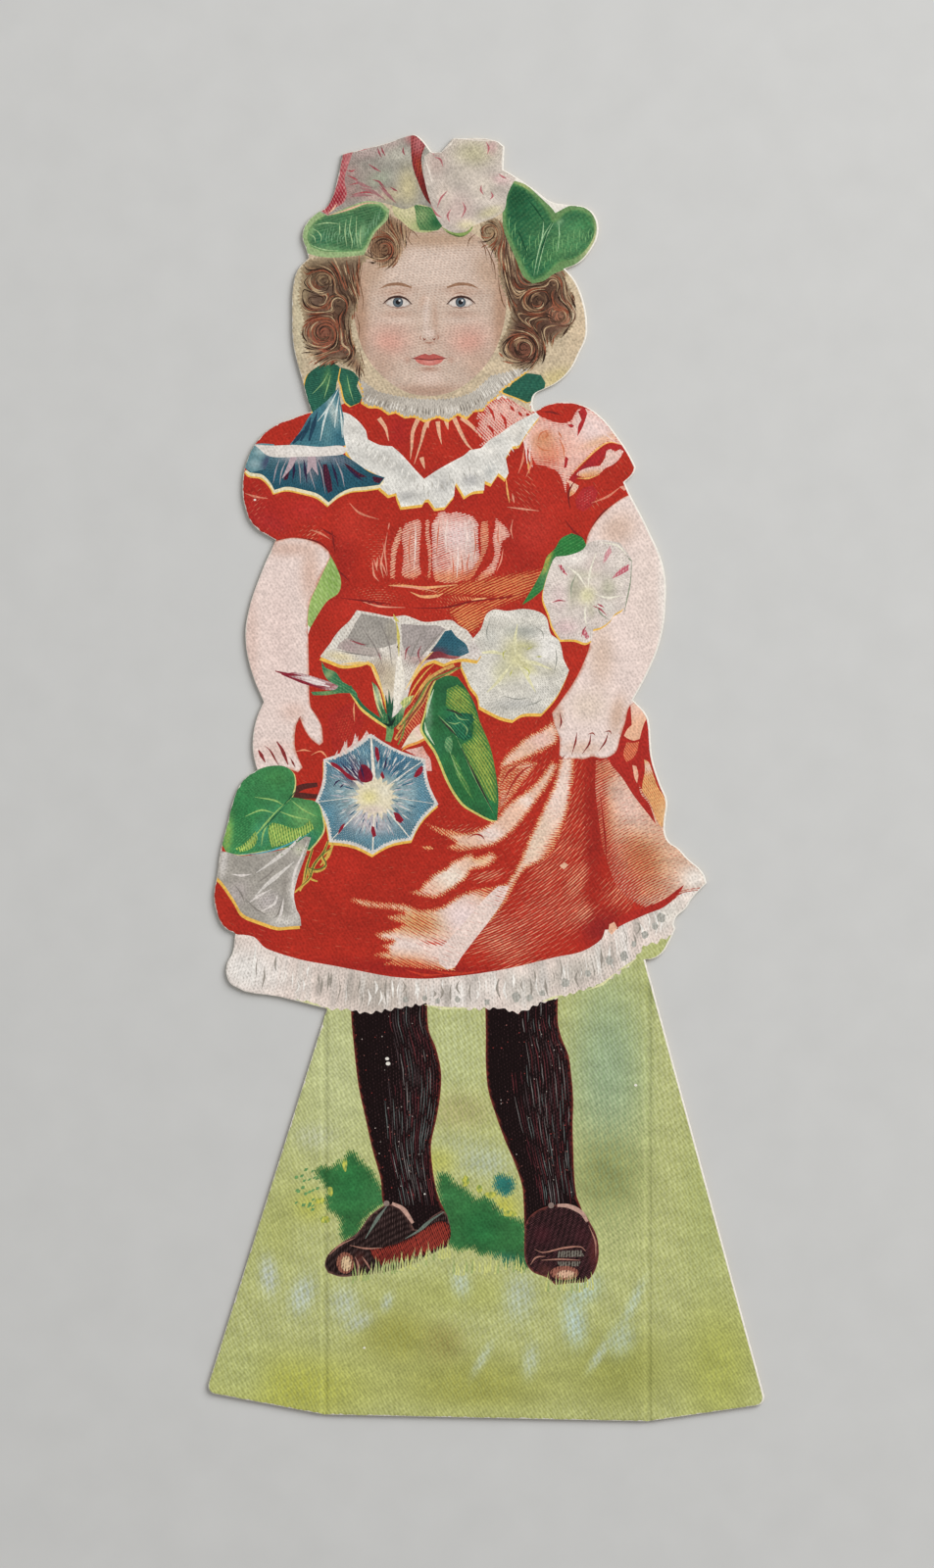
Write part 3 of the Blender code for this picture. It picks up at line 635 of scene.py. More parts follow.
lay("cloth", [(1224, 469), (1272, 462), (1320, 500), (1368, 560), (1416, 630), (1500, 640), (1640, 780),
    (1640, 860), (1495, 872), (1454, 901), (1416, 926), (1368, 915), (1320, 886), (1284, 844), (1262, 786),
    (1246, 738), (1238, 690), (1232, 642), (1226, 594), (1222, 546)], (216, 172, 146), SKIRT,
    washes=[(1330, 620, 44, 130, -30, (228, 192, 176), 1.0), (1470, 760, 60, 80, 0, (220, 182, 156), 0.9),
    (1365, 770, 66, 90, -24, (202, 148, 98), 0.9), (1380, 866, 44, 22, -10, (214, 168, 126), 0.9),
    (1246, 500, 40, 40, 0, (218, 150, 108), 0.8), (1250, 700, 30, 140, 0, (214, 140, 100), 0.8),
    (1530, 830, 54, 50, -30, (234, 224, 214), 1.0)], stroke=(176, 52, 38), amount=0.14,
    amounts=[(1350, 780, 80, 110, -24, 0.52, 1.0), (1244, 600, 18, 170, 0, 0.66, 1.0),
    (1262, 780, 44, 130, -16, 0.72, 1.0), (1310, 860, 80, 60, 20, 0.7, 1.0),
    (1262, 500, 40, 26, 0, 0.5, 1.0), (1330, 620, 26, 100, -30, 0.12, 1.0),
    (1470, 750, 50, 60, 0, 0.16, 1.0), (1400, 880, 50, 18, -24, 0.5, 0.9),
    (1530, 830, 50, 50, 0, 0.0, 1.0)], fade=(0.5, 0.7), flow=rings(1560, 1160, SKIRT), uneven=0.07)
RED_FOLDS = (
    [(1324, 292), (1334, 320), (1332, 360), (1312, 386), (1316, 402), (1340, 410), (1360, 402),
        (1366, 370), (1376, 340), (1390, 332), (1396, 380), (1394, 440), (1390, 468), (1372, 484),
        (1366, 520), (1356, 540), (1362, 570), (1386, 600), (1398, 630), (1408, 664), (1384, 632),
        (1366, 610), (1336, 570), (1304, 520), (1270, 480), (1262, 460), (1288, 420), (1304, 384),
        (1316, 340)],
    [(1494, 848), (1470, 866), (1440, 888), (1400, 908), (1345, 926), (1300, 944), (1290, 980),
        (1316, 966), (1380, 938), (1430, 918), (1462, 892), (1486, 864)],
)
for outline in RED_FOLDS:
    lay("cloth", outline, (172, 42, 34), SKIRT, stroke=(196, 70, 50), amount=0.05)
SIDE_FOLDS = (
    ([(1330, 296), (1349, 290), (1378, 310), (1388, 330), (1374, 349), (1364, 378), (1358, 402),
        (1339, 407), (1320, 400), (1310, 392), (1320, 373), (1334, 359), (1332, 325)],
        (230, 180, 148), 0.04),
    ([(1318, 412), (1340, 414), (1356, 410), (1350, 440), (1336, 462), (1318, 472), (1308, 450)],
        (222, 130, 96), 0.55),
    ([(1336, 482), (1348, 486), (1354, 512), (1350, 538), (1342, 520)], (232, 176, 148), 0.0),
    ([(1372, 464), (1386, 474), (1396, 500), (1420, 560), (1460, 590), (1460, 650), (1424, 672),
        (1410, 650), (1398, 620), (1386, 590), (1364, 562), (1368, 530), (1374, 500)],
        (224, 170, 112), 0.3),
)
for outline, shade, amount in SIDE_FOLDS:
    lay("cloth", outline, shade, SKIRT, washes=[(1345, 300, 40, 40, 0, (234, 196, 180), 0.8),
        (1385, 490, 20, 20, 0, (236, 200, 184), 0.9), (1440, 630, 24, 40, 0, (222, 180, 136), 0.8)],
        stroke=(192, 84, 52), amount=amount, amounts=[(1440, 640, 30, 40, 0, 0.06, 1.0),
        (1385, 486, 18, 14, 0, 0.05, 1.0)], flow=lines(-24, 0.02))
for outline in ([(1128, 780), (1140, 788), (1126, 802), (1112, 790)], [(1265, 970), (1280, 962),
        (1290, 980), (1272, 1002), (1262, 990)]):
    lay("cloth", outline, (230, 180, 150), SKIRT)
brushes("cloth", [[(1190, 520), (1196, 620), (1190, 700)], [(1236, 560), (1252, 700), (1258, 800)],
    [(830, 706), (856, 694), (876, 700), (884, 712)]], 0.22, (160, 40, 30), SKIRT, (0.1, 1, 0.1))
brushes("cloth", [[(700, 1105), (760, 1118), (820, 1120), (900, 1106)],
    [(640, 1108), (700, 1125), (760, 1122)]], 0.3, (196, 60, 40), SKIRT)

lay("cloth", [(402, 328), (452, 300), (504, 281), (517, 330), (510, 362), (476, 444), (440, 456),
    (422, 440)], (212, 108, 72), SKIRT, stroke=(172, 42, 34), amount=0.86, fade=(1.2, 1.0), flow=lines(70),
    uneven=0.1)
brushes("cloth", [[(484, 290), (483, 316), (485, 348)], [(306, 440), (330, 436), (352, 440)],
    [(352, 452), (380, 440), (396, 452), (404, 470)]], 0.2, (226, 150, 110), SKIRT)

# Waist and bodice
lay("hatch", [(588, 1424), (640, 1424), (700, 1436), (760, 1430), (850, 1410), (950, 1398), (1040, 1382),
    (1066, 1376), (1070, 1410), (1030, 1450), (990, 1480), (930, 1500), (890, 1540), (850, 1580),
    (820, 1576), (796, 1548), (772, 1518), (776, 1490), (800, 1480), (900, 1474), (820, 1466), (720, 1462),
    (660, 1440), (590, 1438)], (226, 146, 90), washes=[(980, 1430, 80, 30, -20, (218, 136, 84), 0.9),
    (840, 1560, 40, 30, 0, (230, 160, 100), 0.8)], stroke=(172, 44, 30), amount=0.62,
    amounts=[(980, 1420, 90, 40, -20, 0.46, 1.0), (830, 1545, 50, 50, 0, 0.48, 1.0),
    (850, 1476, 80, 10, -8, 0.9, 1.0), (640, 1436, 60, 10, 4, 0.5, 1.0), (1040, 1400, 30, 20, 0, 0.6, 1.0)],
    fade=(0.5, 0.9), flow=lines(44, 0.012))
brushes("cloth", [[(590, 1432), (640, 1433), (690, 1440), (740, 1436), (800, 1430)],
    [(656, 1452), (690, 1466), (740, 1464), (756, 1456)], [(844, 1478), (860, 1476), (890, 1470)]], 0.36,
    (232, 168, 116))
brushes("cloth", [[(820, 1482), (900, 1474), (980, 1462), (1010, 1446)]], 0.2, (150, 40, 30))
BODICE_LIGHT = (([(637, 1246), (660, 1236), (682, 1228), (690, 1242), (686, 1300), (684, 1364), (690, 1396),
    (668, 1413), (640, 1410), (628, 1396), (636, 1332), (629, 1287)], (228, 178, 158), 0.34), ([(624, 1254),
    (608, 1290), (598, 1322), (594, 1408), (608, 1412), (613, 1334), (626, 1292), (632, 1260)],
    (234, 178, 148), 0.16), ([(702, 1232), (716, 1232), (714, 1270), (721, 1330), (717, 1412), (709, 1414),
    (712, 1350), (704, 1290)], (230, 176, 150), 0.26), ([(720, 1250), (740, 1214), (752, 1204), (780, 1212),
    (797, 1208), (842, 1218), (864, 1242), (864, 1306), (870, 1352), (836, 1396), (816, 1418), (768, 1424),
    (732, 1418), (724, 1384), (723, 1300)], (230, 192, 178), 0.18), ([(874, 1236), (893, 1236), (895, 1300),
    (880, 1345), (854, 1396), (838, 1415), (816, 1416), (850, 1376), (872, 1332), (870, 1280)],
    (226, 158, 122), 0.34), ([(918, 1226), (950, 1255), (962, 1281), (944, 1294), (936, 1300), (928, 1351),
    (912, 1396), (880, 1412), (852, 1418), (872, 1396), (904, 1364), (914, 1332), (908, 1287), (915, 1255)],
    (232, 180, 162), 0.22))
for outline, shade, amount in BODICE_LIGHT:
    lay("hatch", frilled(outline, 12, 4, 9), shade, ready=True,
        washes=[(800, 1410, 200, 22, 0, (228, 146, 96), 0.8), (800, 1280, 50, 50, 0, (232, 206, 202), 0.9),
        (836, 1290, 20, 60, 0, (214, 196, 190), 0.7)], stroke=(184, 52, 38), amount=amount,
        amounts=[(752, 1350, 24, 70, -8, 0.46, 1.0), (820, 1400, 40, 24, 0, 0.42, 1.0),
        (800, 1220, 60, 16, 0, 0.4, 1.0), (800, 1290, 40, 40, 0, 0.14, 1.0),
        (926, 1240, 16, 20, 0, 0.06, 1.0)], fade=(0.3, 0.5), flow=lines(56, 0.02))
brushes("cloth", [[(784, 1340), (788, 1380), (784, 1418)], [(812, 1340), (816, 1380), (812, 1414)],
    [(850, 1250), (856, 1310), (850, 1350)], [(746, 1230), (740, 1280), (736, 1340)],
    [(838, 1330), (830, 1370), (838, 1400)], [(662, 1250), (652, 1310), (656, 1390)],
    [(926, 1246), (924, 1290), (930, 1310)]], 0.16, (206, 110, 84))
brushes("cloth", [[(800, 1300), (802, 1350), (798, 1410)], [(770, 1230), (764, 1280), (768, 1330)],
    [(826, 1240), (830, 1290), (822, 1330)], [(672, 1244), (672, 1300), (668, 1380)]], 0.2, (238, 214, 204))
brushes("cloth", [[(572, 1300), (580, 1350), (586, 1400)], [(560, 1340), (576, 1380), (584, 1404)],
    [(544, 1350), (556, 1390)], [(586, 1270), (578, 1320), (582, 1370)], [(592, 1240), (588, 1262)],
    [(940, 1320), (934, 1356), (920, 1390)], [(970, 1230), (964, 1262), (970, 1290)]], 0.17,
    (226, 146, 122))
brushes("cloth", [[(575, 1320), (566, 1370), (574, 1410)], [(556, 1345), (552, 1385)],
    [(600, 1434), (680, 1440), (740, 1452)], [(540, 1355), (545, 1400), (560, 1420)],
    [(952, 1192), (1000, 1198), (1050, 1204)], [(500, 1478), (560, 1496), (640, 1500)],
    [(968, 1150), (974, 1180)]], 0.22, (222, 150, 124))
brushes("cloth", [[(425, 1378), (450, 1400), (470, 1420)], [(440, 1470), (520, 1480), (600, 1490)],
    [(520, 1480), (530, 1486), (545, 1482), (560, 1490), (575, 1486)],
    [(650, 1500), (760, 1500), (850, 1480), (960, 1470)], [(1128, 1230), (1160, 1270), (1190, 1290)],
    [(380, 1255), (430, 1285)], [(416, 1262), (425, 1330)]], 0.24, (124, 30, 28))

# Yoke
brushes("cloth", [[(716, 918), (700, 950), (690, 990), (668, 1060)], [(740, 930), (744, 965), (752, 1000)],
    [(790, 920), (808, 960), (830, 1000), (852, 1022)], [(705, 925), (712, 950)], [(765, 925), (772, 955)],
    [(812, 918), (850, 950), (890, 1000)], [(690, 1040), (700, 1075)],
    [(682, 918), (664, 960), (660, 1010), (656, 1046)], [(560, 920), (580, 950), (590, 990)]], 0.5,
    (226, 172, 140), taper=(1, 0.7, 0.1))
lay("cloth", place(frill([(880, 868), (940, 856), (1000, 868), (1034, 900), (1045, 918), (1000, 940),
    (960, 968), (935, 1000), (900, 1020), (870, 1005), (880, 975), (850, 960), (870, 930), (852, 915),
    (880, 900), (880, 868)], 22, 14, 4)[:-1]), (226, 180, 166), ready=True, stroke=(190, 56, 42),
    amount=0.15, amounts=[(920, 960, 60, 40, -40, 0.4, 1.0)], fade=(0.6, 0.6), flow=lines(-45))
brushes("cloth", [[(885, 875), (905, 900), (915, 930)], [(930, 905), (945, 925), (950, 960)],
    [(985, 900), (1000, 915)], [(890, 940), (905, 955), (912, 975)], [(1010, 905), (1022, 915)],
    [(960, 880), (975, 900)]], 0.34, (178, 44, 34))

# Sleeves
lay("hatch", [(1030, 902), (1062, 918), (1106, 934), (1128, 935), (1150, 925), (1160, 905), (1172, 890),
    (1205, 894), (1250, 926), (1294, 980), (1326, 1012), (1300, 1002), (1262, 996), (1226, 1016),
    (1190, 1052), (1154, 1090), (1136, 1118), (1132, 1150), (1124, 1120), (1106, 1084), (1070, 1068),
    (1040, 1060), (1024, 1030), (1010, 1006), (1000, 990), (1004, 960), (1014, 930)], (230, 182, 166),
    washes=[(1220, 950, 76, 60, 30, (232, 206, 200), 1.0), (1080, 1030, 46, 36, 0, (216, 136, 104), 0.8),
    (1064, 986, 40, 30, -20, (216, 150, 110), 0.8), (1100, 950, 46, 22, 0, (232, 186, 174), 0.9),
    (1070, 972, 20, 12, -40, (204, 124, 82), 0.7), (1010, 990, 14, 60, 0, (236, 204, 194), 0.8),
    (1160, 1040, 50, 24, -40, (236, 190, 176), 0.8), (1240, 990, 60, 14, -20, (232, 176, 130), 0.6)],
    stroke=(188, 62, 46), amount=0.1, amounts=[(1080, 1056, 50, 20, 10, 0.42, 1.0),
    (1060, 940, 40, 20, 0, 0.22, 0.8), (1110, 1010, 24, 30, 0, 0.24, 0.8),
    (1220, 950, 70, 60, 30, 0.03, 1.0), (1150, 960, 30, 30, 0, 0.14, 0.8)], fade=(0.35, 0.45),
    flow=lines(-50, 0.02))
brushes("hatch", [[(1046, 990), (1056, 966), (1078, 958)], [(1064, 984), (1076, 972), (1070, 960)],
    [(1110, 980), (1124, 1010), (1128, 1050)], [(1040, 1000), (1060, 1016), (1090, 1020)],
    [(1108, 960), (1120, 980)]], 0.2, (206, 120, 84))
brushes("hatch", [[(1000, 980), (1008, 1000), (1014, 1060)], [(1024, 1000), (1022, 1040), (1030, 1070)],
    [(1196, 910), (1230, 950), (1280, 990)]], 0.3, (238, 208, 200))
SLEEVE_FOLDS = (
    [(1188, 884), (1198, 905), (1190, 930), (1182, 950), (1168, 976), (1170, 944), (1180, 926),
        (1170, 900)],
    [(1136, 940), (1150, 938), (1158, 944), (1148, 950)],
    [(1130, 1036), (1140, 1044), (1134, 1070), (1126, 1074)],
    [(1140, 1110), (1190, 1062), (1226, 1024), (1262, 1002), (1300, 1004), (1318, 1024), (1290, 1012),
        (1250, 1036), (1236, 1060), (1196, 1080), (1160, 1110), (1142, 1150)],
)
for outline in SLEEVE_FOLDS:
    lay("cloth", outline, (172, 40, 42), washes=[(1180, 1070, 30, 30, -40, (150, 34, 50), 0.8)])
lay("cloth", [(1164, 1094), (1171, 1084), (1200, 1071), (1236, 1066), (1250, 1045), (1257, 1019),
    (1268, 1014), (1283, 1022), (1298, 1015), (1309, 1021), (1298, 1042), (1277, 1062), (1252, 1074),
    (1237, 1089), (1214, 1097), (1186, 1101)], (230, 194, 182),
    washes=[(1200, 1094, 50, 10, -10, (226, 160, 104), 0.9)], stroke=(190, 60, 52), amount=0.06,
    fade=(0.2, 0.3))
lay("cloth", [(1132, 1104), (1153, 1116), (1173, 1127), (1158, 1151), (1139, 1162), (1146, 1136)],
    (228, 188, 164), washes=[(1146, 1152, 16, 10, 0, (222, 150, 84), 0.8)], stroke=(190, 60, 44),
    amount=0.08, fade=(0.2, 0.3))
lay("cloth", [(1162, 1170), (1184, 1134), (1214, 1126), (1230, 1146), (1218, 1180), (1186, 1206),
    (1166, 1196)], (208, 112, 104), stroke=(170, 42, 44), amount=0.7, fade=(1.1, 1.0), flow=lines(30))
lay("cloth", [(1296, 1130), (1312, 1126), (1324, 1136), (1310, 1142)], (222, 150, 130))
brushes("cloth", [[(1148, 1092), (1190, 1050), (1228, 1014), (1264, 994), (1300, 1000)],
    [(1166, 1104), (1200, 1104), (1236, 1092)], [(1016, 1050), (1020, 1090)],
    [(948, 1100), (954, 1150), (960, 1180)]], 0.22, (232, 176, 104))
brushes("cloth", [[(1004, 1010), (1000, 1050), (986, 1090)], [(1024, 1020), (1026, 1060), (1010, 1100)],
    [(1300, 1130), (1260, 1160), (1210, 1180)], [(350, 1262), (380, 1272), (410, 1290)],
    [(470, 1180), (500, 1210), (560, 1230)], [(150, 1150), (180, 1160), (220, 1166)]], 0.26,
    (214, 130, 104))
brushes("cloth", [[(1060, 900), (1090, 902), (1120, 912)], [(1160, 1110), (1140, 1150), (1146, 1200)],
    [(250, 1292), (320, 1290), (380, 1302), (410, 1330)],
    [(1196, 1290), (1222, 1240), (1262, 1196), (1330, 1160)]], 0.26, (120, 32, 28))

# Gap between arm and dress
lay("ground", [(405, 1328), (432, 1380), (444, 1420), (436, 1455), (402, 1480), (374, 1520), (350, 1562),
    (335, 1545), (345, 1490), (372, 1430), (392, 1380)], (150, 180, 100),
    washes=[(420, 1420, 30, 60, -10, (130, 166, 82), 0.7)], stroke=(176, 200, 130), amount=0.2,
    flow=lines(-33))

# Arms and hands
lay("skin", [(243, 1296), (300, 1286), (366, 1300), (404, 1326), (412, 1345), (392, 1385), (372, 1430),
    (350, 1480), (342, 1530), (344, 1600), (346, 1700), (350, 1800), (368, 1830), (384, 1862), (389, 1912),
    (378, 1922), (352, 1902), (332, 1872), (318, 1838), (306, 1862), (302, 1920), (310, 1952), (326, 1990),
    (312, 2004), (290, 1996), (262, 1990), (232, 1995), (214, 2012), (194, 2006), (150, 1990), (120, 1850),
    (120, 1500)], SKIN, washes=[(350, 1400, 30, 90, 0, (212, 176, 158), 0.7),
    (170, 1600, 24, 160, 0, (214, 180, 166), 0.5), (250, 1600, 60, 200, 0, (230, 206, 198), 0.6),
    (300, 1820, 40, 30, 0, (220, 186, 172), 0.6), (250, 1940, 60, 30, 0, (222, 190, 178), 0.6),
    (280, 1320, 80, 24, 0, (206, 168, 150), 0.6)], uneven=0.02, rim=((196, 134, 112), 0.14))
lay("skin", [(1196, 1292), (1215, 1250), (1252, 1206), (1300, 1168), (1336, 1150), (1500, 1300),
    (1500, 1600), (1400, 1760), (1345, 1792), (1325, 1806), (1314, 1850), (1298, 1900), (1286, 1940),
    (1262, 1958), (1240, 1962), (1214, 1956), (1186, 1964), (1158, 1962), (1128, 1966), (1112, 1952),
    (1112, 1900), (1098, 1862), (1090, 1822), (1118, 1784), (1160, 1722), (1190, 1660), (1206, 1606),
    (1200, 1500), (1185, 1400)], SKIN, washes=[(1240, 1650, 40, 90, 0, (212, 184, 164), 0.7),
    (1380, 1450, 60, 200, 0, (226, 208, 198), 0.7), (1430, 1450, 16, 260, 0, (236, 226, 218), 0.9),
    (1290, 1260, 60, 50, -40, (208, 176, 156), 0.7), (1200, 1800, 60, 50, 0, (224, 204, 186), 0.7),
    (1110, 1830, 14, 40, 0, (200, 158, 136), 0.8), (1290, 1830, 24, 60, 10, (206, 172, 150), 0.8),
    (1180, 1930, 60, 20, 0, (214, 178, 156), 0.7)], uneven=0.02, rim=((196, 134, 112), 0.14))
brushes("skin", [[(210, 1922), (228, 1939), (242, 1964), (256, 1988)],
    [(289, 1960), (297, 1976), (304, 1990)], [(1113, 1820), (1118, 1850), (1112, 1872)],
    [(1166, 1882), (1162, 1910), (1150, 1950)], [(1208, 1888), (1204, 1916), (1182, 1948)],
    [(1262, 1884), (1252, 1912), (1232, 1940)]], 0.22, (132, 44, 40))
brushes("skin", [[(191, 1936), (200, 1952), (212, 1974)],
    [(247, 1910), (262, 1932), (274, 1960), (282, 1982)]], 0.42, (140, 50, 50), taper=(0.3, 1, 0.2))
brushes("skin", [[(1200, 1888), (1214, 1884), (1222, 1892)], [(1252, 1880), (1266, 1878), (1272, 1888)],
    [(1130, 1950), (1120, 1962), (1108, 1956)], [(320, 1832), (312, 1850)]], 0.18, (150, 74, 62))

# Lace collar
COLLAR = [(445, 900), (470, 908), (500, 932), (520, 958), (526, 985), (562, 1002), (600, 1006), (624, 1026),
    (645, 1048), (675, 1082), (698, 1106), (740, 1078), (790, 1050), (820, 1034), (838, 1018), (872, 1012),
    (900, 986), (930, 968), (962, 944), (1000, 922), (1040, 902), (1052, 914), (1030, 942), (1010, 970),
    (990, 1003), (968, 1007), (948, 1042), (957, 1088), (947, 1106), (926, 1088), (904, 1121), (884, 1112),
    (882, 1141), (848, 1145), (822, 1160), (794, 1114), (790, 1158), (762, 1192), (732, 1196), (712, 1168),
    (702, 1170), (693, 1184), (628, 1192), (616, 1162), (613, 1149), (590, 1156), (562, 1132), (566, 1100),
    (540, 1086), (508, 1070), (480, 1050), (460, 1022), (455, 990), (440, 960), (442, 925)]
lay("petal", smooth(place(COLLAR), sharp=24) + np.array((-0.1, -0.32)), RIM_YELLOW, ready=True)
lay("lace", smooth(place(COLLAR), sharp=24), (226, 223, 216), ready=True,
    washes=[(560, 1050, 50, 24, 20, (198, 195, 188), 0.8), (640, 1160, 30, 16, 0, (190, 188, 184), 0.9),
    (750, 1130, 30, 24, 0, (194, 192, 188), 0.8), (840, 1110, 24, 20, 0, (188, 186, 184), 0.9),
    (900, 1080, 20, 24, 0, (190, 190, 186), 0.9), (640, 1080, 30, 24, 40, (200, 198, 192), 0.7),
    (490, 960, 24, 40, -20, (226, 222, 214), 0.8), (900, 1020, 30, 24, 0, (224, 220, 212), 0.8),
    (980, 960, 30, 30, -40, (222, 216, 206), 0.8)], stroke=(168, 164, 156), amount=0.16,
    flow=rays(705, 900, 0, 30.0), rim=((232, 228, 220), 0.35), uneven=0.07)
random = np.random.default_rng(31)
for x in np.arange(470, 1030, 9.0):
    middle = np.interp(x, [450, 600, 706, 850, 950, 1040], [960, 1060, 1140, 1085, 1030, 915])
    reach = random.uniform(14, 34)
    lean = np.interp(x, [450, 706, 1040], [-0.8, 0, 0.8]) + random.uniform(-0.2, 0.2)
    y = middle + random.uniform(-12, 12)
    shade = (234, 230, 222) if random.random() < 0.5 else (186, 182, 174)
    brush("lace", [(x - lean * reach / 2, y - reach / 2), (x + random.uniform(-3, 3), y),
        (x + lean * reach / 2, y + reach / 2)], random.uniform(0.1, 0.2), shade)

# Neck leaves and the pale ground round the hair
lay("cream", [(345, 420), (300, 440), (270, 520), (270, 700), (300, 800), (330, 860), (352, 905),
    (420, 890), (500, 860), (700, 900), (940, 850), (1032, 905), (1020, 880), (1045, 850), (1105, 825),
    (1260, 740), (1260, 500), (1140, 440), (1000, 300), (700, 200), (420, 260)], CREAM,
    washes=[(1170, 640, 40, 110, 0, (212, 190, 160), 0.7), (315, 600, 20, 180, 0, (196, 186, 156), 0.8),
    (1100, 800, 60, 30, -20, (206, 190, 130), 0.7), (1080, 480, 60, 30, 0, (184, 170, 128), 0.6)],
    stroke=(174, 150, 122), amount=0.12, flow=lines(60, 0.02), uneven=0.06)
NECK_LEAVES = (
    ([(339, 792), (363, 768), (390, 754), (423, 753), (440, 765), (445, 786), (432, 807), (426, 843),
        (408, 877), (384, 902), (360, 908), (346, 880), (332, 837)],
        [(400, 800, 12, 40, 10, LEAF_LIGHT, 0.5)]),
    ([(444, 765), (480, 777), (500, 800), (492, 822), (508, 855), (502, 872), (474, 884), (456, 868),
        (444, 819), (438, 801)], [(462, 830, 12, 40, 0, (70, 130, 84), 0.6)]),
    ([(934, 812), (948, 824), (960, 824), (984, 792), (1014, 783), (1056, 788), (1070, 812), (1065, 830),
        (1043, 846), (1030, 866), (1014, 872), (993, 862), (966, 852), (940, 842)],
        [(1010, 820, 30, 20, 0, (40, 100, 84), 0.5)]),
)
for outline, washes in NECK_LEAVES:
    lay("leaf", smooth(place(outline)) + np.array((-0.14, -0.1)), RIM_YELLOW, ready=True)
    lay("leaf", outline, NECK_LEAF, washes=washes, stroke=(64, 124, 96), amount=0.22, flow=lines(60, 0.02),
        uneven=0.06)
brushes("leaf", [[(406, 780), (388, 812), (356, 846)], [(412, 786), (404, 820), (392, 860)],
    [(462, 790), (470, 830), (482, 868)]], 0.16, (140, 178, 120))

# Neck ruffle
RUFFLE = [(496, 800), (520, 812), (560, 838), (640, 856), (714, 862), (790, 858), (850, 838), (884, 808),
    (905, 790), (940, 782), (985, 770), (1022, 768), (992, 790), (960, 812), (936, 832), (920, 852),
    (895, 870), (880, 892), (852, 894), (830, 918), (802, 904), (772, 926), (742, 912), (700, 926),
    (670, 912), (640, 914), (612, 898), (590, 904), (560, 884), (530, 882), (506, 868), (512, 840)]
lay("petal", smooth(place(RUFFLE), sharp=30) + np.array((-0.05, -0.26)), RIM_YELLOW, ready=True)
lay("lace", frilled(RUFFLE, 12, 6, 16), (198, 190, 178), ready=True,
    washes=[(560, 850, 60, 30, 20, (166, 156, 144), 0.7), (900, 820, 50, 26, -30, (204, 198, 188), 0.8),
    (714, 880, 90, 22, 0, (196, 188, 178), 0.6)], stroke=(138, 130, 120), amount=0.24,
    flow=rays(714, 500, 0, 26.0), uneven=0.06)
for x in np.arange(515, 985, 9.0):
    low = np.interp(x, [515, 600, 714, 830, 985], [868, 894, 912, 900, 790])
    reach = random.uniform(12, 30)
    lean = (x - 714) / 420
    shade = (228, 222, 212) if random.random() < 0.55 else (136, 128, 118)
    brush("lace", [(x - lean * reach, low - reach), (x, low - reach * 0.3), (x + lean * 3, low)],
        random.uniform(0.1, 0.2), shade)

# Face
lay("face", [(520, 420), (590, 350), (714, 320), (840, 350), (910, 410), (944, 490), (950, 570), (938, 650),
    (906, 730), (850, 796), (786, 838), (714, 852), (644, 840), (578, 798), (522, 732), (492, 650),
    (482, 570), (488, 490)], FACE, washes=[(714, 450, 150, 90, 0, (220, 200, 186), 0.9),
    (500, 620, 30, 200, 0, (170, 132, 106), 0.75), (936, 620, 30, 200, 0, (172, 134, 108), 0.75),
    (540, 470, 40, 60, 20, (186, 154, 128), 0.6), (894, 470, 40, 60, -20, (186, 154, 128), 0.6),
    (598, 676, 74, 56, 10, (218, 170, 154), 0.7), (830, 676, 74, 56, -10, (218, 170, 154), 0.7),
    (590, 690, 40, 30, 10, (214, 152, 136), 0.5), (838, 690, 40, 30, -10, (214, 152, 136), 0.5),
    (560, 760, 50, 50, 30, (190, 156, 136), 0.6), (868, 760, 50, 50, -30, (190, 156, 136), 0.6),
    (714, 836, 120, 22, 0, (176, 140, 120), 0.7), (714, 796, 40, 26, 0, (224, 200, 186), 0.8),
    (714, 770, 34, 8, 0, (184, 142, 124), 0.7), (714, 712, 9, 12, 0, (192, 156, 140), 0.6),
    (648, 742, 10, 10, 0, (186, 144, 126), 0.6), (780, 742, 10, 10, 0, (186, 144, 126), 0.6),
    (704, 600, 9, 60, 2, (224, 204, 192), 0.9), (732, 616, 9, 56, -2, (186, 152, 132), 0.6),
    (694, 560, 10, 24, 20, (190, 156, 136), 0.5), (714, 660, 18, 14, 0, (226, 204, 192), 0.9),
    (740, 668, 10, 12, 0, (196, 160, 142), 0.6), (714, 690, 24, 6, 0, (184, 142, 124), 0.6),
    (618, 530, 60, 12, -4, (188, 152, 132), 0.6), (810, 530, 60, 12, 4, (188, 152, 132), 0.6),
    (618, 546, 50, 8, 0, (212, 184, 168), 0.6), (810, 546, 50, 8, 0, (212, 184, 168), 0.6),
    (618, 600, 50, 10, 0, (190, 156, 138), 0.55), (810, 600, 50, 10, 0, (190, 156, 138), 0.55),
    (618, 622, 56, 10, 0, (222, 200, 186), 0.6), (810, 622, 56, 10, 0, (222, 200, 186), 0.6),
    (714, 372, 200, 26, 0, (170, 136, 106), 0.6), (600, 400, 40, 40, 0, (178, 146, 118), 0.5)],
    stroke=(160, 122, 104), amount=0.16, flow=lines(30, 0.01), uneven=0.03)
EYE_Y, EYE_GAP, EYE_HALF = 566, 96, 42
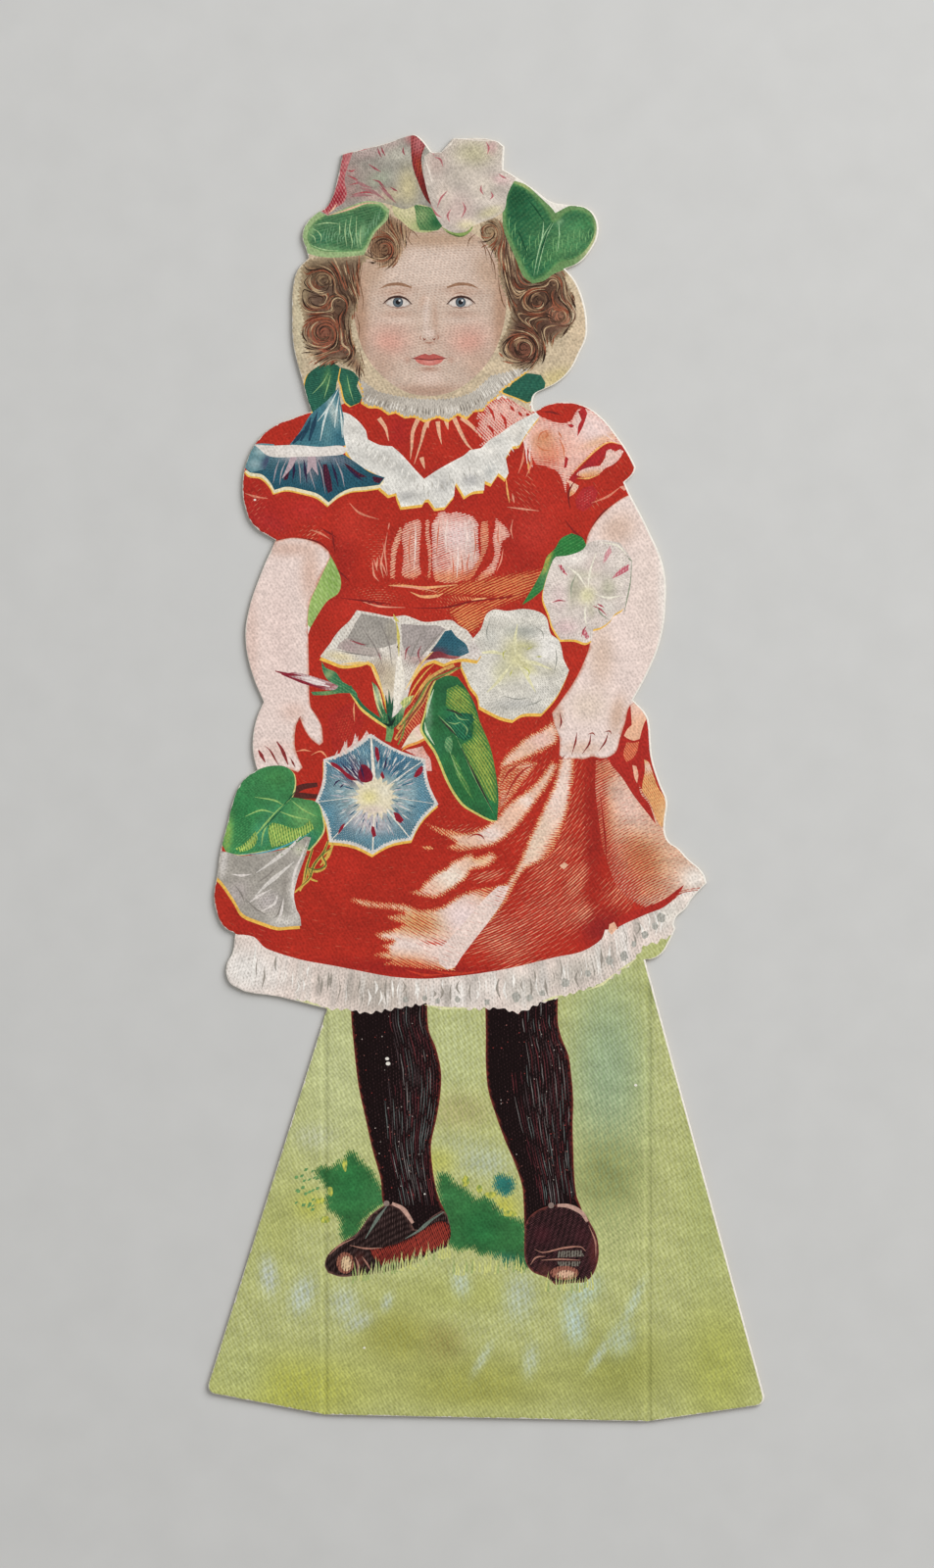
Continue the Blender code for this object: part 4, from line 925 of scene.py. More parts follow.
for side in (-1, 1):
    x, y, h = 714 + side * EYE_GAP, EYE_Y, EYE_HALF * side
    white = [(x - h, y + 5), (x - h * 0.6, y - 10), (x, y - 17), (x + h * 0.6, y - 11), (x + h, y + 3),
        (x + h * 0.55, y + 13), (x, y + 16), (x - h * 0.6, y + 13)]
    lay("face", white, (212, 202, 194), rim=((150, 122, 108), 0.1))
    lay("face", circle * (16, 15.5) + (x, y - 1), (96, 108, 116), rim=((56, 60, 66), 0.12))
    lay("face", circle * 7.5 + (x, y - 1), (28, 24, 26))
    lay("face", circle * 3.2 + (x + 5, y - 6), (236, 232, 228))
    brush("face", [(x - h * 1.02, y + 6), (x - h * 0.6, y - 11), (x, y - 18), (x + h * 0.62, y - 12),
        (x + h * 1.1, y + 4)], 0.26, (66, 42, 36), taper=(0.3, 0.8, 1, 0.9, 0.2))
    brush("face", [(x - h * 0.8, y + 11), (x, y + 17), (x + h * 0.7, y + 12)], 0.1, (150, 106, 92))
    brush("face", [(x - h * 0.7, y - 22), (x, y - 30), (x + h * 0.8, y - 20)], 0.12, (164, 122, 102))
    brush("face", [(x - h * 1.0, y - 46), (x - h * 0.2, y - 56), (x + h * 0.7, y - 54), (x + h * 1.35,
        y - 42)], 0.36, (150, 112, 88), taper=(0.5, 1, 0.8, 0.1))
    brush("face", [(714 + side * 9, 676), (714 + side * 15, 680), (714 + side * 20, 674)], 0.2, (140, 84, 70))
    brush("face", [(714 + side * 24, 664), (714 + side * 28, 674), (714 + side * 22, 682)], 0.12,
        (172, 124, 106))
brush("face", [(702, 686), (714, 690), (726, 686)], 0.16, (176, 128, 110))
lay("face", [(662, 737), (684, 728), (702, 723), (714, 727), (726, 723), (744, 728), (766, 737), (740, 740),
    (714, 742), (688, 740)], (184, 92, 84), rim=((170, 78, 72), 0.08))
lay("face", [(668, 738), (714, 742), (760, 738), (746, 752), (714, 759), (682, 752)], (200, 112, 102),
    washes=[(714, 748, 22, 6, 0, (224, 156, 146), 0.8)])
brush("face", [(658, 737), (688, 739), (714, 742), (740, 739), (770, 737)], 0.14, (116, 48, 46),
    taper=(0.4, 1, 0.8, 1, 0.4))
brush("face", [(696, 766), (714, 769), (732, 766)], 0.16, (176, 130, 114))

# Hair
HAIR_LEFT = [(345, 434), (400, 424), (470, 424), (515, 416), (540, 400), (530, 430), (508, 452), (498, 500),
    (500, 546), (486, 600), (476, 640), (484, 690), (502, 730), (516, 770), (500, 795), (470, 765),
    (440, 752), (400, 756), (366, 744), (338, 706), (322, 660), (330, 620), (318, 580), (314, 540),
    (322, 500), (322, 460)]
HAIR_RIGHT = [(868, 330), (905, 300), (950, 330), (975, 400), (1000, 470), (1030, 500), (1065, 488),
    (1100, 462), (1136, 462), (1130, 500), (1156, 545), (1150, 600), (1156, 640), (1116, 672), (1072, 690),
    (1076, 722), (1044, 756), (1000, 772), (958, 754), (932, 722), (928, 690), (950, 650), (962, 600),
    (952, 555), (934, 510), (926, 470), (918, 430), (896, 395), (876, 366)]
FORELOCK = [(590, 295), (640, 322), (664, 350), (640, 378), (630, 420), (604, 456), (562, 458), (530, 426),
    (518, 385), (542, 340), (566, 312)]
CURLS = [(398, 660, 66, (150, 84, 64), (92, 50, 38)), (392, 500, 44, (150, 124, 94), (70, 50, 38)),
    (440, 570, 40, (132, 106, 80), (62, 44, 34)), (1118, 604, 46, (170, 112, 86), (104, 66, 50)),
    (1006, 706, 58, (150, 92, 70), (74, 46, 36)), (1050, 560, 50, (112, 84, 64), (48, 32, 26)),
    (1092, 506, 34, (130, 100, 76), (66, 46, 36)), (578, 402, 48, (132, 98, 74), (64, 42, 32)),
    (460, 716, 30, (150, 92, 70), (90, 54, 42)), (900, 350, 34, (164, 134, 100), (112, 82, 58))]


def hair_strokes(outline, drift, count, seed, shades, width=0.13):
    """Fine strokes that bend round the curls and stray a little out of a mass of hair."""
    random = np.random.default_rng(seed)
    mass = smooth(np.array(outline, float))
    low, high = mass.min(0), mass.max(0)
    made = 0
    while made < count:
        at = random.uniform(low, high)
        if not inside(at[None], mass)[0]:
            continue
        strokes, stray = [at.copy()], random.integers(0, 4)
        for _ in range(random.integers(4, 10)):
            way = np.array(drift, float)
            for x, y, r, _, _ in CURLS:
                d = at - (x, y)
                near = math.exp(-((np.hypot(*d) / r / 1.2) ** 2)) * 4
                way = way + near * np.array([-d[1], d[0]]) / max(np.hypot(*d), 1)
            at = at + way / np.hypot(*way) * 9
            if not inside(at[None], mass)[0]:
                stray -= 1
                if stray < 0:
                    break
            strokes.append(at.copy())
        if len(strokes) > 2:
            made += 1
            shade = shades[random.integers(len(shades))]
            brush("hair", strokes, width * random.uniform(0.6, 1.4), shade, steps=2)


def ringlet(x, y, radius, light, dark, seed):
    """A curl of hair: arcs one inside another."""
    random = np.random.default_rng(seed)
    for _ in range(int(radius * 0.6)):
        reach = radius * random.uniform(0.12, 1.08)
        first, sweep = random.uniform(0, 6.3), random.uniform(0.8, 2.2)
        angle = first + np.linspace(0, sweep, 7)
        shrink = reach * np.linspace(1, random.uniform(0.6, 0.95), 7)
        points = np.column_stack([x + shrink * np.cos(angle), y + shrink * np.sin(angle) * 0.95])
        shade = light if random.random() < 0.45 else dark
        brush("hair", points, random.uniform(0.09, 0.2), shade, steps=2)


CREAM_EDGE = ((184, 164, 132), 0.9)
lay("hair", frilled(HAIR_LEFT, 12, 9, 51), (112, 89, 74), ready=True,
    rim=CREAM_EDGE, washes=[(398, 660, 60, 60, 0, (150, 86, 66), 0.7),
    (450, 600, 34, 90, 0, (96, 72, 54), 0.7), (400, 470, 80, 40, 0, (118, 98, 72), 0.6),
    (330, 520, 20, 90, 0, (172, 150, 114), 0.7), (490, 770, 24, 30, 0, (140, 80, 62), 0.6),
    (360, 470, 30, 30, 0, (100, 80, 58), 0.6)], stroke=HAIR_DARK, amount=0.3, flow=lines(75, 0.05))
lay("hair", frilled(HAIR_RIGHT, 12, 9, 52), (95, 69, 58), ready=True,
    rim=CREAM_EDGE, washes=[(1118, 604, 50, 50, 0, (178, 130, 104), 0.7),
    (1006, 706, 56, 50, 0, (146, 88, 68), 0.7), (1030, 570, 60, 90, 0, (82, 58, 44), 0.8),
    (900, 350, 40, 60, 0, (178, 152, 116), 0.9), (1120, 500, 34, 40, 0, (120, 92, 66), 0.6),
    (950, 440, 20, 60, -20, (110, 82, 62), 0.6)], stroke=HAIR_DARK, amount=0.34, flow=lines(70, -0.05))
lay("hair", frilled(FORELOCK, 10, 7, 53), (150, 120, 92), ready=True,
    rim=((190, 160, 134), 0.6), washes=[(572, 396, 34, 40, 0, (118, 86, 64), 0.8)], stroke=HAIR_DARK,
    amount=0.25)
SHADES = [(46, 30, 22), (70, 48, 36), (186, 160, 126), (96, 70, 52), (156, 124, 94), (52, 34, 26),
    (124, 66, 44), (146, 84, 60)]
for index, (x, y, radius, light, dark) in enumerate(CURLS):
    ringlet(x, y, radius, light, dark, 60 + index)
hair_strokes(HAIR_LEFT, (0.1, 1), 280, 41, SHADES, 0.15)
hair_strokes(HAIR_RIGHT, (0.15, 1), 330, 42, SHADES, 0.15)
hair_strokes(FORELOCK, (-0.2, 1), 60, 43, SHADES)
brushes("hair", [[(498, 440), (486, 500), (498, 560)], [(505, 430), (498, 480), (508, 530)],
    [(512, 440), (502, 500), (512, 560), (508, 600)], [(640, 330), (690, 348), (744, 352)],
    [(660, 340), (650, 372), (664, 392)], [(872, 372), (900, 420), (908, 470)],
    [(866, 366), (884, 400), (890, 440)], [(500, 760), (512, 780), (516, 800)],
    [(930, 520), (936, 560), (952, 590)], [(636, 330), (668, 352), (684, 372)],
    [(860, 352), (838, 372), (830, 396)], [(890, 400), (912, 450), (918, 500)],
    [(924, 480), (930, 530), (944, 580)], [(490, 600), (500, 640), (496, 690)],
    [(500, 700), (508, 740), (522, 776)]], 0.12, (116, 84, 62))

# Hat
lay("leaf", [(371, 286), (420, 280), (470, 270), (520, 256), (562, 258), (592, 282), (586, 312), (548, 352),
    (526, 396), (514, 420), (440, 428), (380, 426), (330, 412), (306, 370), (318, 322)], LEAF_MARGIN,
    flow=lines(60))
lay("leaf", [(392, 300), (430, 292), (474, 282), (520, 266), (560, 268), (584, 288), (576, 312), (542, 350),
    (520, 392), (508, 408), (440, 412), (384, 408), (352, 396), (340, 368), (352, 332)], (28, 90, 54),
    washes=[(430, 330, 50, 24, 10, (50, 104, 70), 0.7), (400, 400, 50, 10, 6, (112, 150, 102), 0.8),
    (540, 296, 40, 20, 0, (30, 92, 52), 0.8), (506, 360, 14, 44, 14, (130, 164, 116), 0.8),
    (352, 350, 12, 34, 0, (150, 176, 120), 0.8), (380, 370, 26, 20, 0, (24, 104, 76), 0.8)],
    stroke=(138, 172, 124), amount=0.26, flow=lines(78, 0.03), uneven=0.1, rim=((110, 148, 90), 0.24))
for x in np.arange(392, 566, 8.5):
    foot = np.interp(x, [380, 500, 570], [400, 396, 330]) - random.uniform(4, 30)
    brush("leaf", [(x + 6, foot - random.uniform(20, 60)), (x - 2, foot - 14), (x, foot)], 0.11,
        (116, 158, 120))
brushes("leaf", [[(356, 340), (372, 348), (384, 366), (380, 384)], [(346, 356), (362, 366), (366, 384)],
    [(352, 390), (390, 404), (440, 408)], [(476, 300), (470, 340), (478, 380), (476, 404)],
    [(492, 300), (490, 350), (496, 400)], [(505, 330), (502, 370), (506, 400)],
    [(460, 310), (456, 350), (462, 396)], [(360, 330), (400, 322), (440, 326)], [(440, 320), (440, 360)]],
    0.13, (164, 192, 140))
HEART = [(964, 190), (1010, 206), (1052, 242), (1088, 276), (1100, 292), (1150, 268), (1192, 268),
    (1226, 294), (1240, 355), (1218, 405), (1180, 446), (1136, 462), (1096, 478), (1064, 500), (1030, 508),
    (1002, 486), (980, 436), (962, 394), (942, 344), (938, 290), (944, 240)]
lay("leaf", HEART, (104, 140, 88), washes=[(1230, 390, 40, 80, 30, (196, 196, 146), 1.0),
    (1010, 206, 40, 20, 0, (176, 184, 120), 0.8)])
lay("leaf", [(966, 198), (1008, 216), (1046, 250), (1080, 288), (1092, 318), (1106, 312), (1136, 286),
    (1180, 284), (1212, 304), (1220, 350), (1200, 396), (1160, 430), (1110, 444), (1086, 466), (1060, 488),
    (1032, 498), (1010, 476), (988, 424), (968, 384), (950, 336), (946, 288), (950, 238)], (30, 92, 60),
    washes=[(1160, 350, 40, 44, 0, (64, 126, 80), 0.8), (1030, 330, 20, 90, 10, (42, 104, 66), 0.6),
    (1100, 420, 50, 24, -20, (66, 122, 72), 0.7), (985, 250, 30, 50, 0, (24, 76, 46), 0.8),
    (1196, 320, 26, 24, 0, (60, 124, 72), 0.6), (1110, 316, 14, 14, 0, (150, 180, 140), 0.8),
    (1048, 300, 30, 60, 20, (30, 92, 58), 0.7), (1044, 480, 20, 16, 0, (36, 100, 64), 0.7)],
    stroke=(118, 164, 104), amount=0.18, amounts=[(1130, 380, 80, 60, 0, 0.36, 1.0),
    (985, 260, 40, 70, 0, 0.04, 1.0)], flow=lines(82, 0.02), uneven=0.1, rim=((88, 136, 80), 0.25))
brushes("leaf", [[(1088, 322), (1062, 366), (1046, 420), (1034, 484)],
    [(1094, 322), (1070, 370), (1056, 424), (1044, 480)], [(1064, 316), (1062, 350), (1054, 390)],
    [(1110, 320), (1112, 360), (1106, 410)]], 0.15, (160, 196, 150))
for x in np.arange(960, 1216, 9.0):
    top = np.interp(x, [960, 1010, 1060, 1100, 1150, 1216], [300, 300, 340, 360, 330, 330])
    foot = np.interp(x, [960, 1010, 1036, 1100, 1160, 1216], [370, 460, 484, 440, 420, 370])
    y = random.uniform(top, foot - 16)
    brush("leaf", [(x + 3, y), (x - 2, y + 14), (x, min(y + random.uniform(24, 60), foot))], 0.11,
        (112, 160, 104))
brushes("leaf", [[(1080, 340), (1062, 390), (1050, 440)], [(1006, 240), (1040, 280), (1066, 320)],
    [(980, 330), (1000, 380), (1020, 430)]], 0.2, (24, 76, 48))
lay("petal", [(600, 262), (650, 254), (700, 262), (734, 286), (756, 318), (744, 344), (700, 352),
    (664, 346), (630, 318), (606, 296)], (196, 190, 144),
    washes=[(650, 280, 34, 30, 0, (212, 204, 164), 0.9), (704, 330, 40, 20, 0, (130, 156, 96), 0.8)],
    stroke=(140, 150, 96), amount=0.14, flow=lines(-50))
lay("leaf", [(666, 264), (690, 270), (724, 278), (748, 304), (756, 330), (740, 344), (712, 346), (686, 344),
    (676, 322), (672, 290)], (92, 132, 82), washes=[(690, 300, 20, 24, 0, (150, 170, 116), 0.8),
    (736, 320, 20, 18, 0, (26, 84, 48), 0.9)], stroke=(40, 96, 56), amount=0.25, flow=lines(-50))
brushes("leaf", [[(752, 336), (780, 352), (812, 358), (838, 346), (852, 322)]], 0.4, (128, 152, 84))
brushes("leaf", [[(756, 344), (784, 358), (812, 364), (836, 354)]], 0.16, (84, 104, 56))
HAT_LEFT = [(440, 90), (560, 40), (655, 40), (690, 56), (716, 90), (730, 110), (742, 180), (738, 240),
    (722, 276), (680, 266), (640, 280), (600, 268), (560, 258), (520, 256), (470, 272), (404, 300),
    (380, 290), (396, 262), (420, 180)]
lay("petal", HAT_LEFT, (161, 157, 147), washes=[(470, 200, 26, 60, 12, (172, 120, 118), 0.6),
    (530, 200, 50, 60, 0, (166, 150, 140), 0.7), (560, 190, 40, 26, -30, (160, 172, 148), 0.7),
    (610, 110, 50, 40, 0, (186, 182, 168), 0.8), (560, 240, 50, 20, -10, (190, 160, 150), 0.8),
    (650, 210, 34, 60, 0, (204, 192, 148), 0.9), (600, 240, 30, 24, 0, (206, 194, 156), 0.8),
    (520, 110, 60, 20, -10, (186, 160, 156), 0.7), (600, 80, 40, 14, -16, (192, 168, 162), 0.7),
    (660, 64, 20, 20, 0, (186, 110, 112), 0.8), (500, 230, 40, 20, -10, (158, 130, 122), 0.7)],
    stroke=(122, 112, 104), amount=0.24, amounts=[(620, 120, 50, 60, 0, 0.14, 1.0)],
    flow=rays(640, 280, 0, 10.0), uneven=0.1)
lay("petal", [(446, 110), (480, 106), (466, 146), (456, 180), (456, 204), (462, 232), (452, 260),
    (430, 274), (402, 298), (384, 286), (416, 234), (438, 165)], (158, 46, 58),
    washes=[(466, 130, 14, 40, 12, (190, 130, 130), 0.8), (434, 250, 24, 20, 0, (140, 30, 42), 0.8),
    (440, 190, 10, 30, 12, (180, 96, 100), 0.6)], stroke=(196, 130, 128), amount=0.24, fade=(0.5, 0.6),
    flow=lines(-60))
brushes("petal", [[(462, 176), (484, 186), (496, 192)], [(460, 160), (476, 164), (488, 158)],
    [(470, 206), (500, 200), (516, 206)], [(450, 104), (500, 100), (560, 84)],
    [(476, 236), (520, 228), (560, 236)]], 0.18, (166, 70, 78))
lay("petal", [(658, 56), (682, 54), (702, 84), (690, 124), (696, 179), (714, 226), (724, 272), (704, 250),
    (682, 204), (664, 152), (658, 103)], (146, 48, 46), washes=[(680, 80, 24, 34, 0, (188, 112, 114), 0.95),
    (686, 150, 10, 26, -12, (178, 84, 50), 0.8), (704, 220, 12, 50, -14, (96, 28, 26), 0.95)],
    stroke=(90, 24, 26), amount=0.25, fade=(0.3, 0.5), flow=lines(80))
HAT_RIGHT = [(700, 118), (725, 100), (752, 100), (786, 56), (860, 60), (930, 64), (950, 90), (950, 158),
    (985, 180), (968, 204), (952, 240), (944, 282), (914, 306), (880, 318), (852, 330), (812, 352),
    (772, 346), (744, 318), (724, 276), (706, 220), (696, 160)]
lay("petal", HAT_RIGHT, (200, 189, 179), washes=[(800, 280, 50, 50, 0, (208, 184, 176), 0.8),
    (850, 110, 60, 40, 0, (196, 190, 152), 0.8), (736, 140, 30, 40, 0, (196, 172, 162), 0.7),
    (930, 190, 30, 14, 10, (200, 160, 162), 0.7), (830, 330, 30, 16, 0, (214, 204, 160), 0.8),
    (906, 90, 16, 24, 0, (190, 150, 150), 0.7), (880, 210, 40, 40, 0, (218, 206, 190), 0.8),
    (760, 240, 26, 50, 0, (212, 196, 182), 0.7), (900, 290, 40, 16, -20, (206, 198, 150), 0.7),
    (810, 170, 40, 40, 0, (190, 180, 166), 0.6), (940, 160, 10, 30, 0, (222, 210, 198), 0.8)],
    stroke=(164, 148, 134), amount=0.18, flow=rays(820, 240, 0, 8.0), uneven=0.08)
brushes("petal", [[(556, 92), (560, 106), (568, 122)], [(566, 88), (572, 104), (580, 118)],
    [(634, 90), (634, 104), (640, 116)], [(528, 142), (548, 156), (566, 166)],
    [(560, 200), (580, 224), (600, 248)], [(540, 190), (560, 196), (580, 216)],
    [(594, 212), (606, 220), (618, 226)]], 0.22, (150, 76, 84))
brushes("petal", [[(816, 258), (824, 280), (812, 308)], [(770, 224), (750, 246), (738, 276)],
    [(780, 280), (770, 300), (776, 320)], [(888, 74), (896, 92), (892, 112)],
    [(926, 172), (940, 182), (950, 186)], [(900, 250), (908, 240), (902, 226)],
    [(880, 236), (872, 222), (874, 206)], [(730, 120), (748, 128), (756, 150)],
    [(720, 270), (736, 296), (752, 306)]], 0.24, (180, 108, 112))
brushes("petal", [[(500, 214), (540, 226), (580, 252)], [(484, 190), (510, 206), (540, 216)],
    [(560, 210), (590, 238), (612, 262)], [(470, 244), (500, 236), (540, 240)]], 0.4, (158, 112, 112),
    taper=(0.1, 1, 0.1))
brushes("petal", [[(560, 60), (600, 48), (650, 46)], [(470, 92), (520, 76), (560, 60)],
    [(690, 62), (712, 92), (730, 116)]], 0.22, (196, 120, 124))
brushes("petal", [[(432, 262), (420, 280), (404, 294)], [(400, 300), (440, 290), (480, 276), (520, 262),
    (560, 262)]], 0.2, (226, 180, 150))
brushes("petal", [[(700, 120), (712, 160), (724, 200)], [(940, 100), (936, 140), (944, 160)],
    [(790, 64), (850, 68), (920, 72)], [(760, 100), (780, 80), (790, 66)]], 0.18, (226, 216, 204))

# Flower on the shoulder
SHOULDER = [(150, 1072), (200, 1050), (225, 1034), (320, 1030), (440, 1028), (492, 1058), (530, 1084),
    (578, 1102), (562, 1124), (520, 1130), (478, 1134), (440, 1150), (406, 1178), (372, 1152), (330, 1140),
    (280, 1130), (240, 1140), (225, 1114), (200, 1092), (165, 1086)]
lay("petal", smooth(place(SHOULDER)) + np.array((-0.14, -0.52)), RIM_YELLOW, ready=True)
lay("petal", smooth(place(SHOULDER)) + np.array((-0.04, -0.36)), (228, 218, 184), ready=True)
lay("petal", SHOULDER, (40, 88, 104), washes=[(330, 1042, 90, 16, 0, (206, 190, 190), 0.9),
    (350, 1080, 30, 40, 20, (150, 130, 138), 0.6), (230, 1060, 40, 24, 0, (90, 120, 130), 0.6),
    (440, 1050, 50, 20, 10, (120, 120, 132), 0.7)], stroke=(20, 60, 78), amount=0.28,
    flow=rays(330, 980, 0, 7.0), uneven=0.06)
DARK_PETALS = (
    [(300, 1042), (290, 1070), (280, 1108), (268, 1110), (276, 1080), (286, 1050)],
    [(388, 1062), (400, 1060), (412, 1100), (418, 1142), (404, 1150), (392, 1110)],
    [(452, 1056), (470, 1066), (494, 1084), (524, 1100), (500, 1100), (474, 1086)],
    [(222, 1042), (208, 1056), (196, 1076), (206, 1074), (220, 1056)],
    [(540, 1098), (574, 1104), (560, 1120), (544, 1114)],
)
for outline in DARK_PETALS:
    lay("petal", outline, VIOLET, stroke=(120, 50, 70), amount=0.15)
brushes("petal", [[(376, 1046), (384, 1080), (390, 1130)], [(414, 1054), (426, 1090), (436, 1130)],
    [(330, 1046), (334, 1080), (340, 1120)], [(462, 1070), (490, 1096), (510, 1112)],
    [(300, 1050), (300, 1080), (296, 1112)]], 0.3, (44, 30, 62))
brushes("petal", [[(312, 1040), (318, 1080), (320, 1120)], [(340, 1040), (350, 1090), (366, 1140)],
    [(370, 1040), (384, 1080), (396, 1150)], [(424, 1040), (446, 1090), (454, 1130)],
    [(256, 1044), (244, 1080), (236, 1120)], [(280, 1042), (262, 1084), (256, 1124)]], 0.18,
    (156, 150, 156))
brushes("petal", [[(300, 1038), (286, 1070), (264, 1104)], [(352, 1040), (348, 1066), (340, 1090)],
    [(356, 1036), (362, 1066), (374, 1094)]], 0.7, (182, 160, 166), taper=(1, 0.8, 0.1))
lay("petal", [(172, 1010), (190, 998), (240, 1000), (228, 1036), (212, 1076), (170, 1086), (148, 1070),
    (160, 1030)], (96, 136, 144), washes=[(200, 1020, 24, 16, 0, (170, 190, 190), 0.8),
    (180, 1060, 20, 16, 0, (150, 172, 176), 0.8), (214, 1056, 12, 24, 20, (60, 62, 92), 0.8)])
lay("petal", [(286, 1002), (318, 962), (348, 912), (372, 890), (404, 864), (436, 826), (442, 870),
    (452, 920), (450, 962), (458, 1004), (380, 1010)], (72, 122, 134),
    washes=[(420, 900, 14, 50, -14, (196, 206, 200), 0.9), (350, 960, 30, 40, 30, (52, 100, 114), 0.7),
    (440, 980, 14, 30, 0, (48, 96, 112), 0.8), (400, 960, 16, 40, 0, (106, 146, 150), 0.7)],
    stroke=(40, 88, 102), amount=0.22, flow=rays(430, 830, 0, 6.0))
brushes("petal", [[(330, 956), (312, 980), (296, 998)], [(352, 916), (340, 950), (320, 990)],
    [(372, 900), (360, 940), (346, 990)]], 0.5, (34, 64, 84), taper=(0.1, 1, 0.4))
brushes("petal", [[(436, 830), (410, 880), (372, 930)], [(438, 850), (430, 900), (424, 950)],
    [(440, 880), (446, 930), (448, 980)], [(420, 860), (400, 900), (386, 960)],
    [(410, 880), (392, 930), (380, 990)]], 0.24, (206, 216, 212))
lay("petal", [(176, 1000), (230, 1004), (300, 1002), (380, 1008), (440, 1004), (466, 1014), (450, 1030),
    (400, 1036), (320, 1038), (250, 1040), (218, 1034), (196, 1016)], (222, 214, 206),
    washes=[(330, 1020, 90, 10, 0, (232, 226, 220), 0.8)])

# Small leaf and white flower on the arm
lay("leaf", [(1098, 1320), (1118, 1288), (1150, 1272), (1182, 1286), (1196, 1312), (1178, 1330),
    (1130, 1345), (1112, 1380), (1086, 1410), (1062, 1444), (1028, 1474), (998, 1492), (1030, 1440),
    (1060, 1384), (1074, 1344)], (44, 118, 58), washes=[(1075, 1400, 20, 50, 30, (90, 140, 100), 0.7),
    (1075, 1360, 8, 40, 20, RIM_YELLOW, 0.8)], stroke=(84, 150, 84), amount=0.2, flow=lines(30),
    uneven=0.06)
ARM_FLOWER = [(1092, 1356), (1102, 1344), (1140, 1340), (1182, 1324), (1202, 1302), (1240, 1292),
    (1298, 1302), (1330, 1346), (1336, 1372), (1326, 1430), (1310, 1500), (1282, 1520), (1268, 1540),
    (1240, 1560), (1216, 1566), (1212, 1600), (1192, 1608), (1160, 1598), (1116, 1598), (1092, 1560),
    (1080, 1520), (1062, 1470), (1070, 1420)]
lay("petal", smooth(place(ARM_FLOWER)) + np.array((-0.1, -0.24)), RIM_YELLOW, ready=True)
lay("petal", ARM_FLOWER, (220, 208, 200), washes=[(1196, 1462, 30, 30, 0, (226, 220, 178), 1.0),
    (1150, 1350, 60, 24, -14, (234, 226, 218), 0.9), (1158, 1442, 18, 50, 10, (186, 182, 158), 0.9),
    (1262, 1440, 24, 30, 0, (190, 188, 164), 0.9), (1200, 1400, 40, 16, 0, (198, 194, 172), 0.8),
    (1220, 1370, 26, 30, 0, (226, 206, 198), 0.7), (1130, 1560, 40, 26, 0, (218, 188, 188), 0.8),
    (1110, 1470, 24, 40, 0, (222, 198, 196), 0.7), (1240, 1540, 30, 30, 0, (216, 200, 192), 0.7),
    (1300, 1400, 16, 60, 0, (224, 214, 204), 0.8), (1250, 1500, 30, 20, 0, (232, 226, 216), 0.8),
    (1210, 1510, 12, 20, 0, (190, 184, 162), 0.8)], stroke=(176, 166, 152), amount=0.2,
    amounts=[(1160, 1450, 26, 60, 0, 0.36, 1.0), (1262, 1440, 30, 40, 0, 0.34, 1.0),
    (1150, 1350, 60, 20, 0, 0.04, 1.0)], flow=rays(1205, 1450, 0, 6.0), uneven=0.06)
ARM_PETALS = (
    ([(1108, 1370), (1118, 1368), (1128, 1386), (1138, 1402), (1124, 1394)], (176, 60, 78)),
    ([(1268, 1310), (1272, 1330), (1256, 1356), (1246, 1366), (1250, 1340)], (208, 144, 150)),
    ([(1326, 1366), (1324, 1386), (1300, 1400), (1272, 1412), (1286, 1394), (1306, 1376)],
        (190, 90, 106)),
    ([(1182, 1580), (1192, 1566), (1204, 1590), (1196, 1598)], (190, 92, 106)),
)
for outline, shade in ARM_PETALS:
    lay("petal", outline, shade, stroke=(214, 180, 178), amount=0.2, fade=(0.25, 0.4))
brushes("petal", [[(1214, 1494), (1236, 1504), (1258, 1524)], [(1228, 1488), (1250, 1500)],
    [(1180, 1590), (1186, 1570), (1196, 1556)], [(1090, 1484), (1110, 1478), (1132, 1480)]], 0.22,
    (170, 76, 88))
brushes("petal", [[(1334, 1352), (1330, 1420), (1318, 1480), (1310, 1520)], [(1322, 1346), (1336, 1360)],
    [(1224, 1490), (1240, 1520), (1262, 1536)], [(1166, 1396), (1150, 1430), (1148, 1476)]], 0.18,
    (148, 154, 134))
brushes("petal", [[(1196, 1440), (1170, 1400), (1130, 1370)], [(1200, 1440), (1206, 1390), (1226, 1330)],
    [(1216, 1456), (1260, 1470), (1310, 1460)], [(1196, 1480), (1190, 1520), (1196, 1560)],
    [(1240, 1300), (1290, 1310), (1320, 1340)]], 0.24, (236, 230, 212))

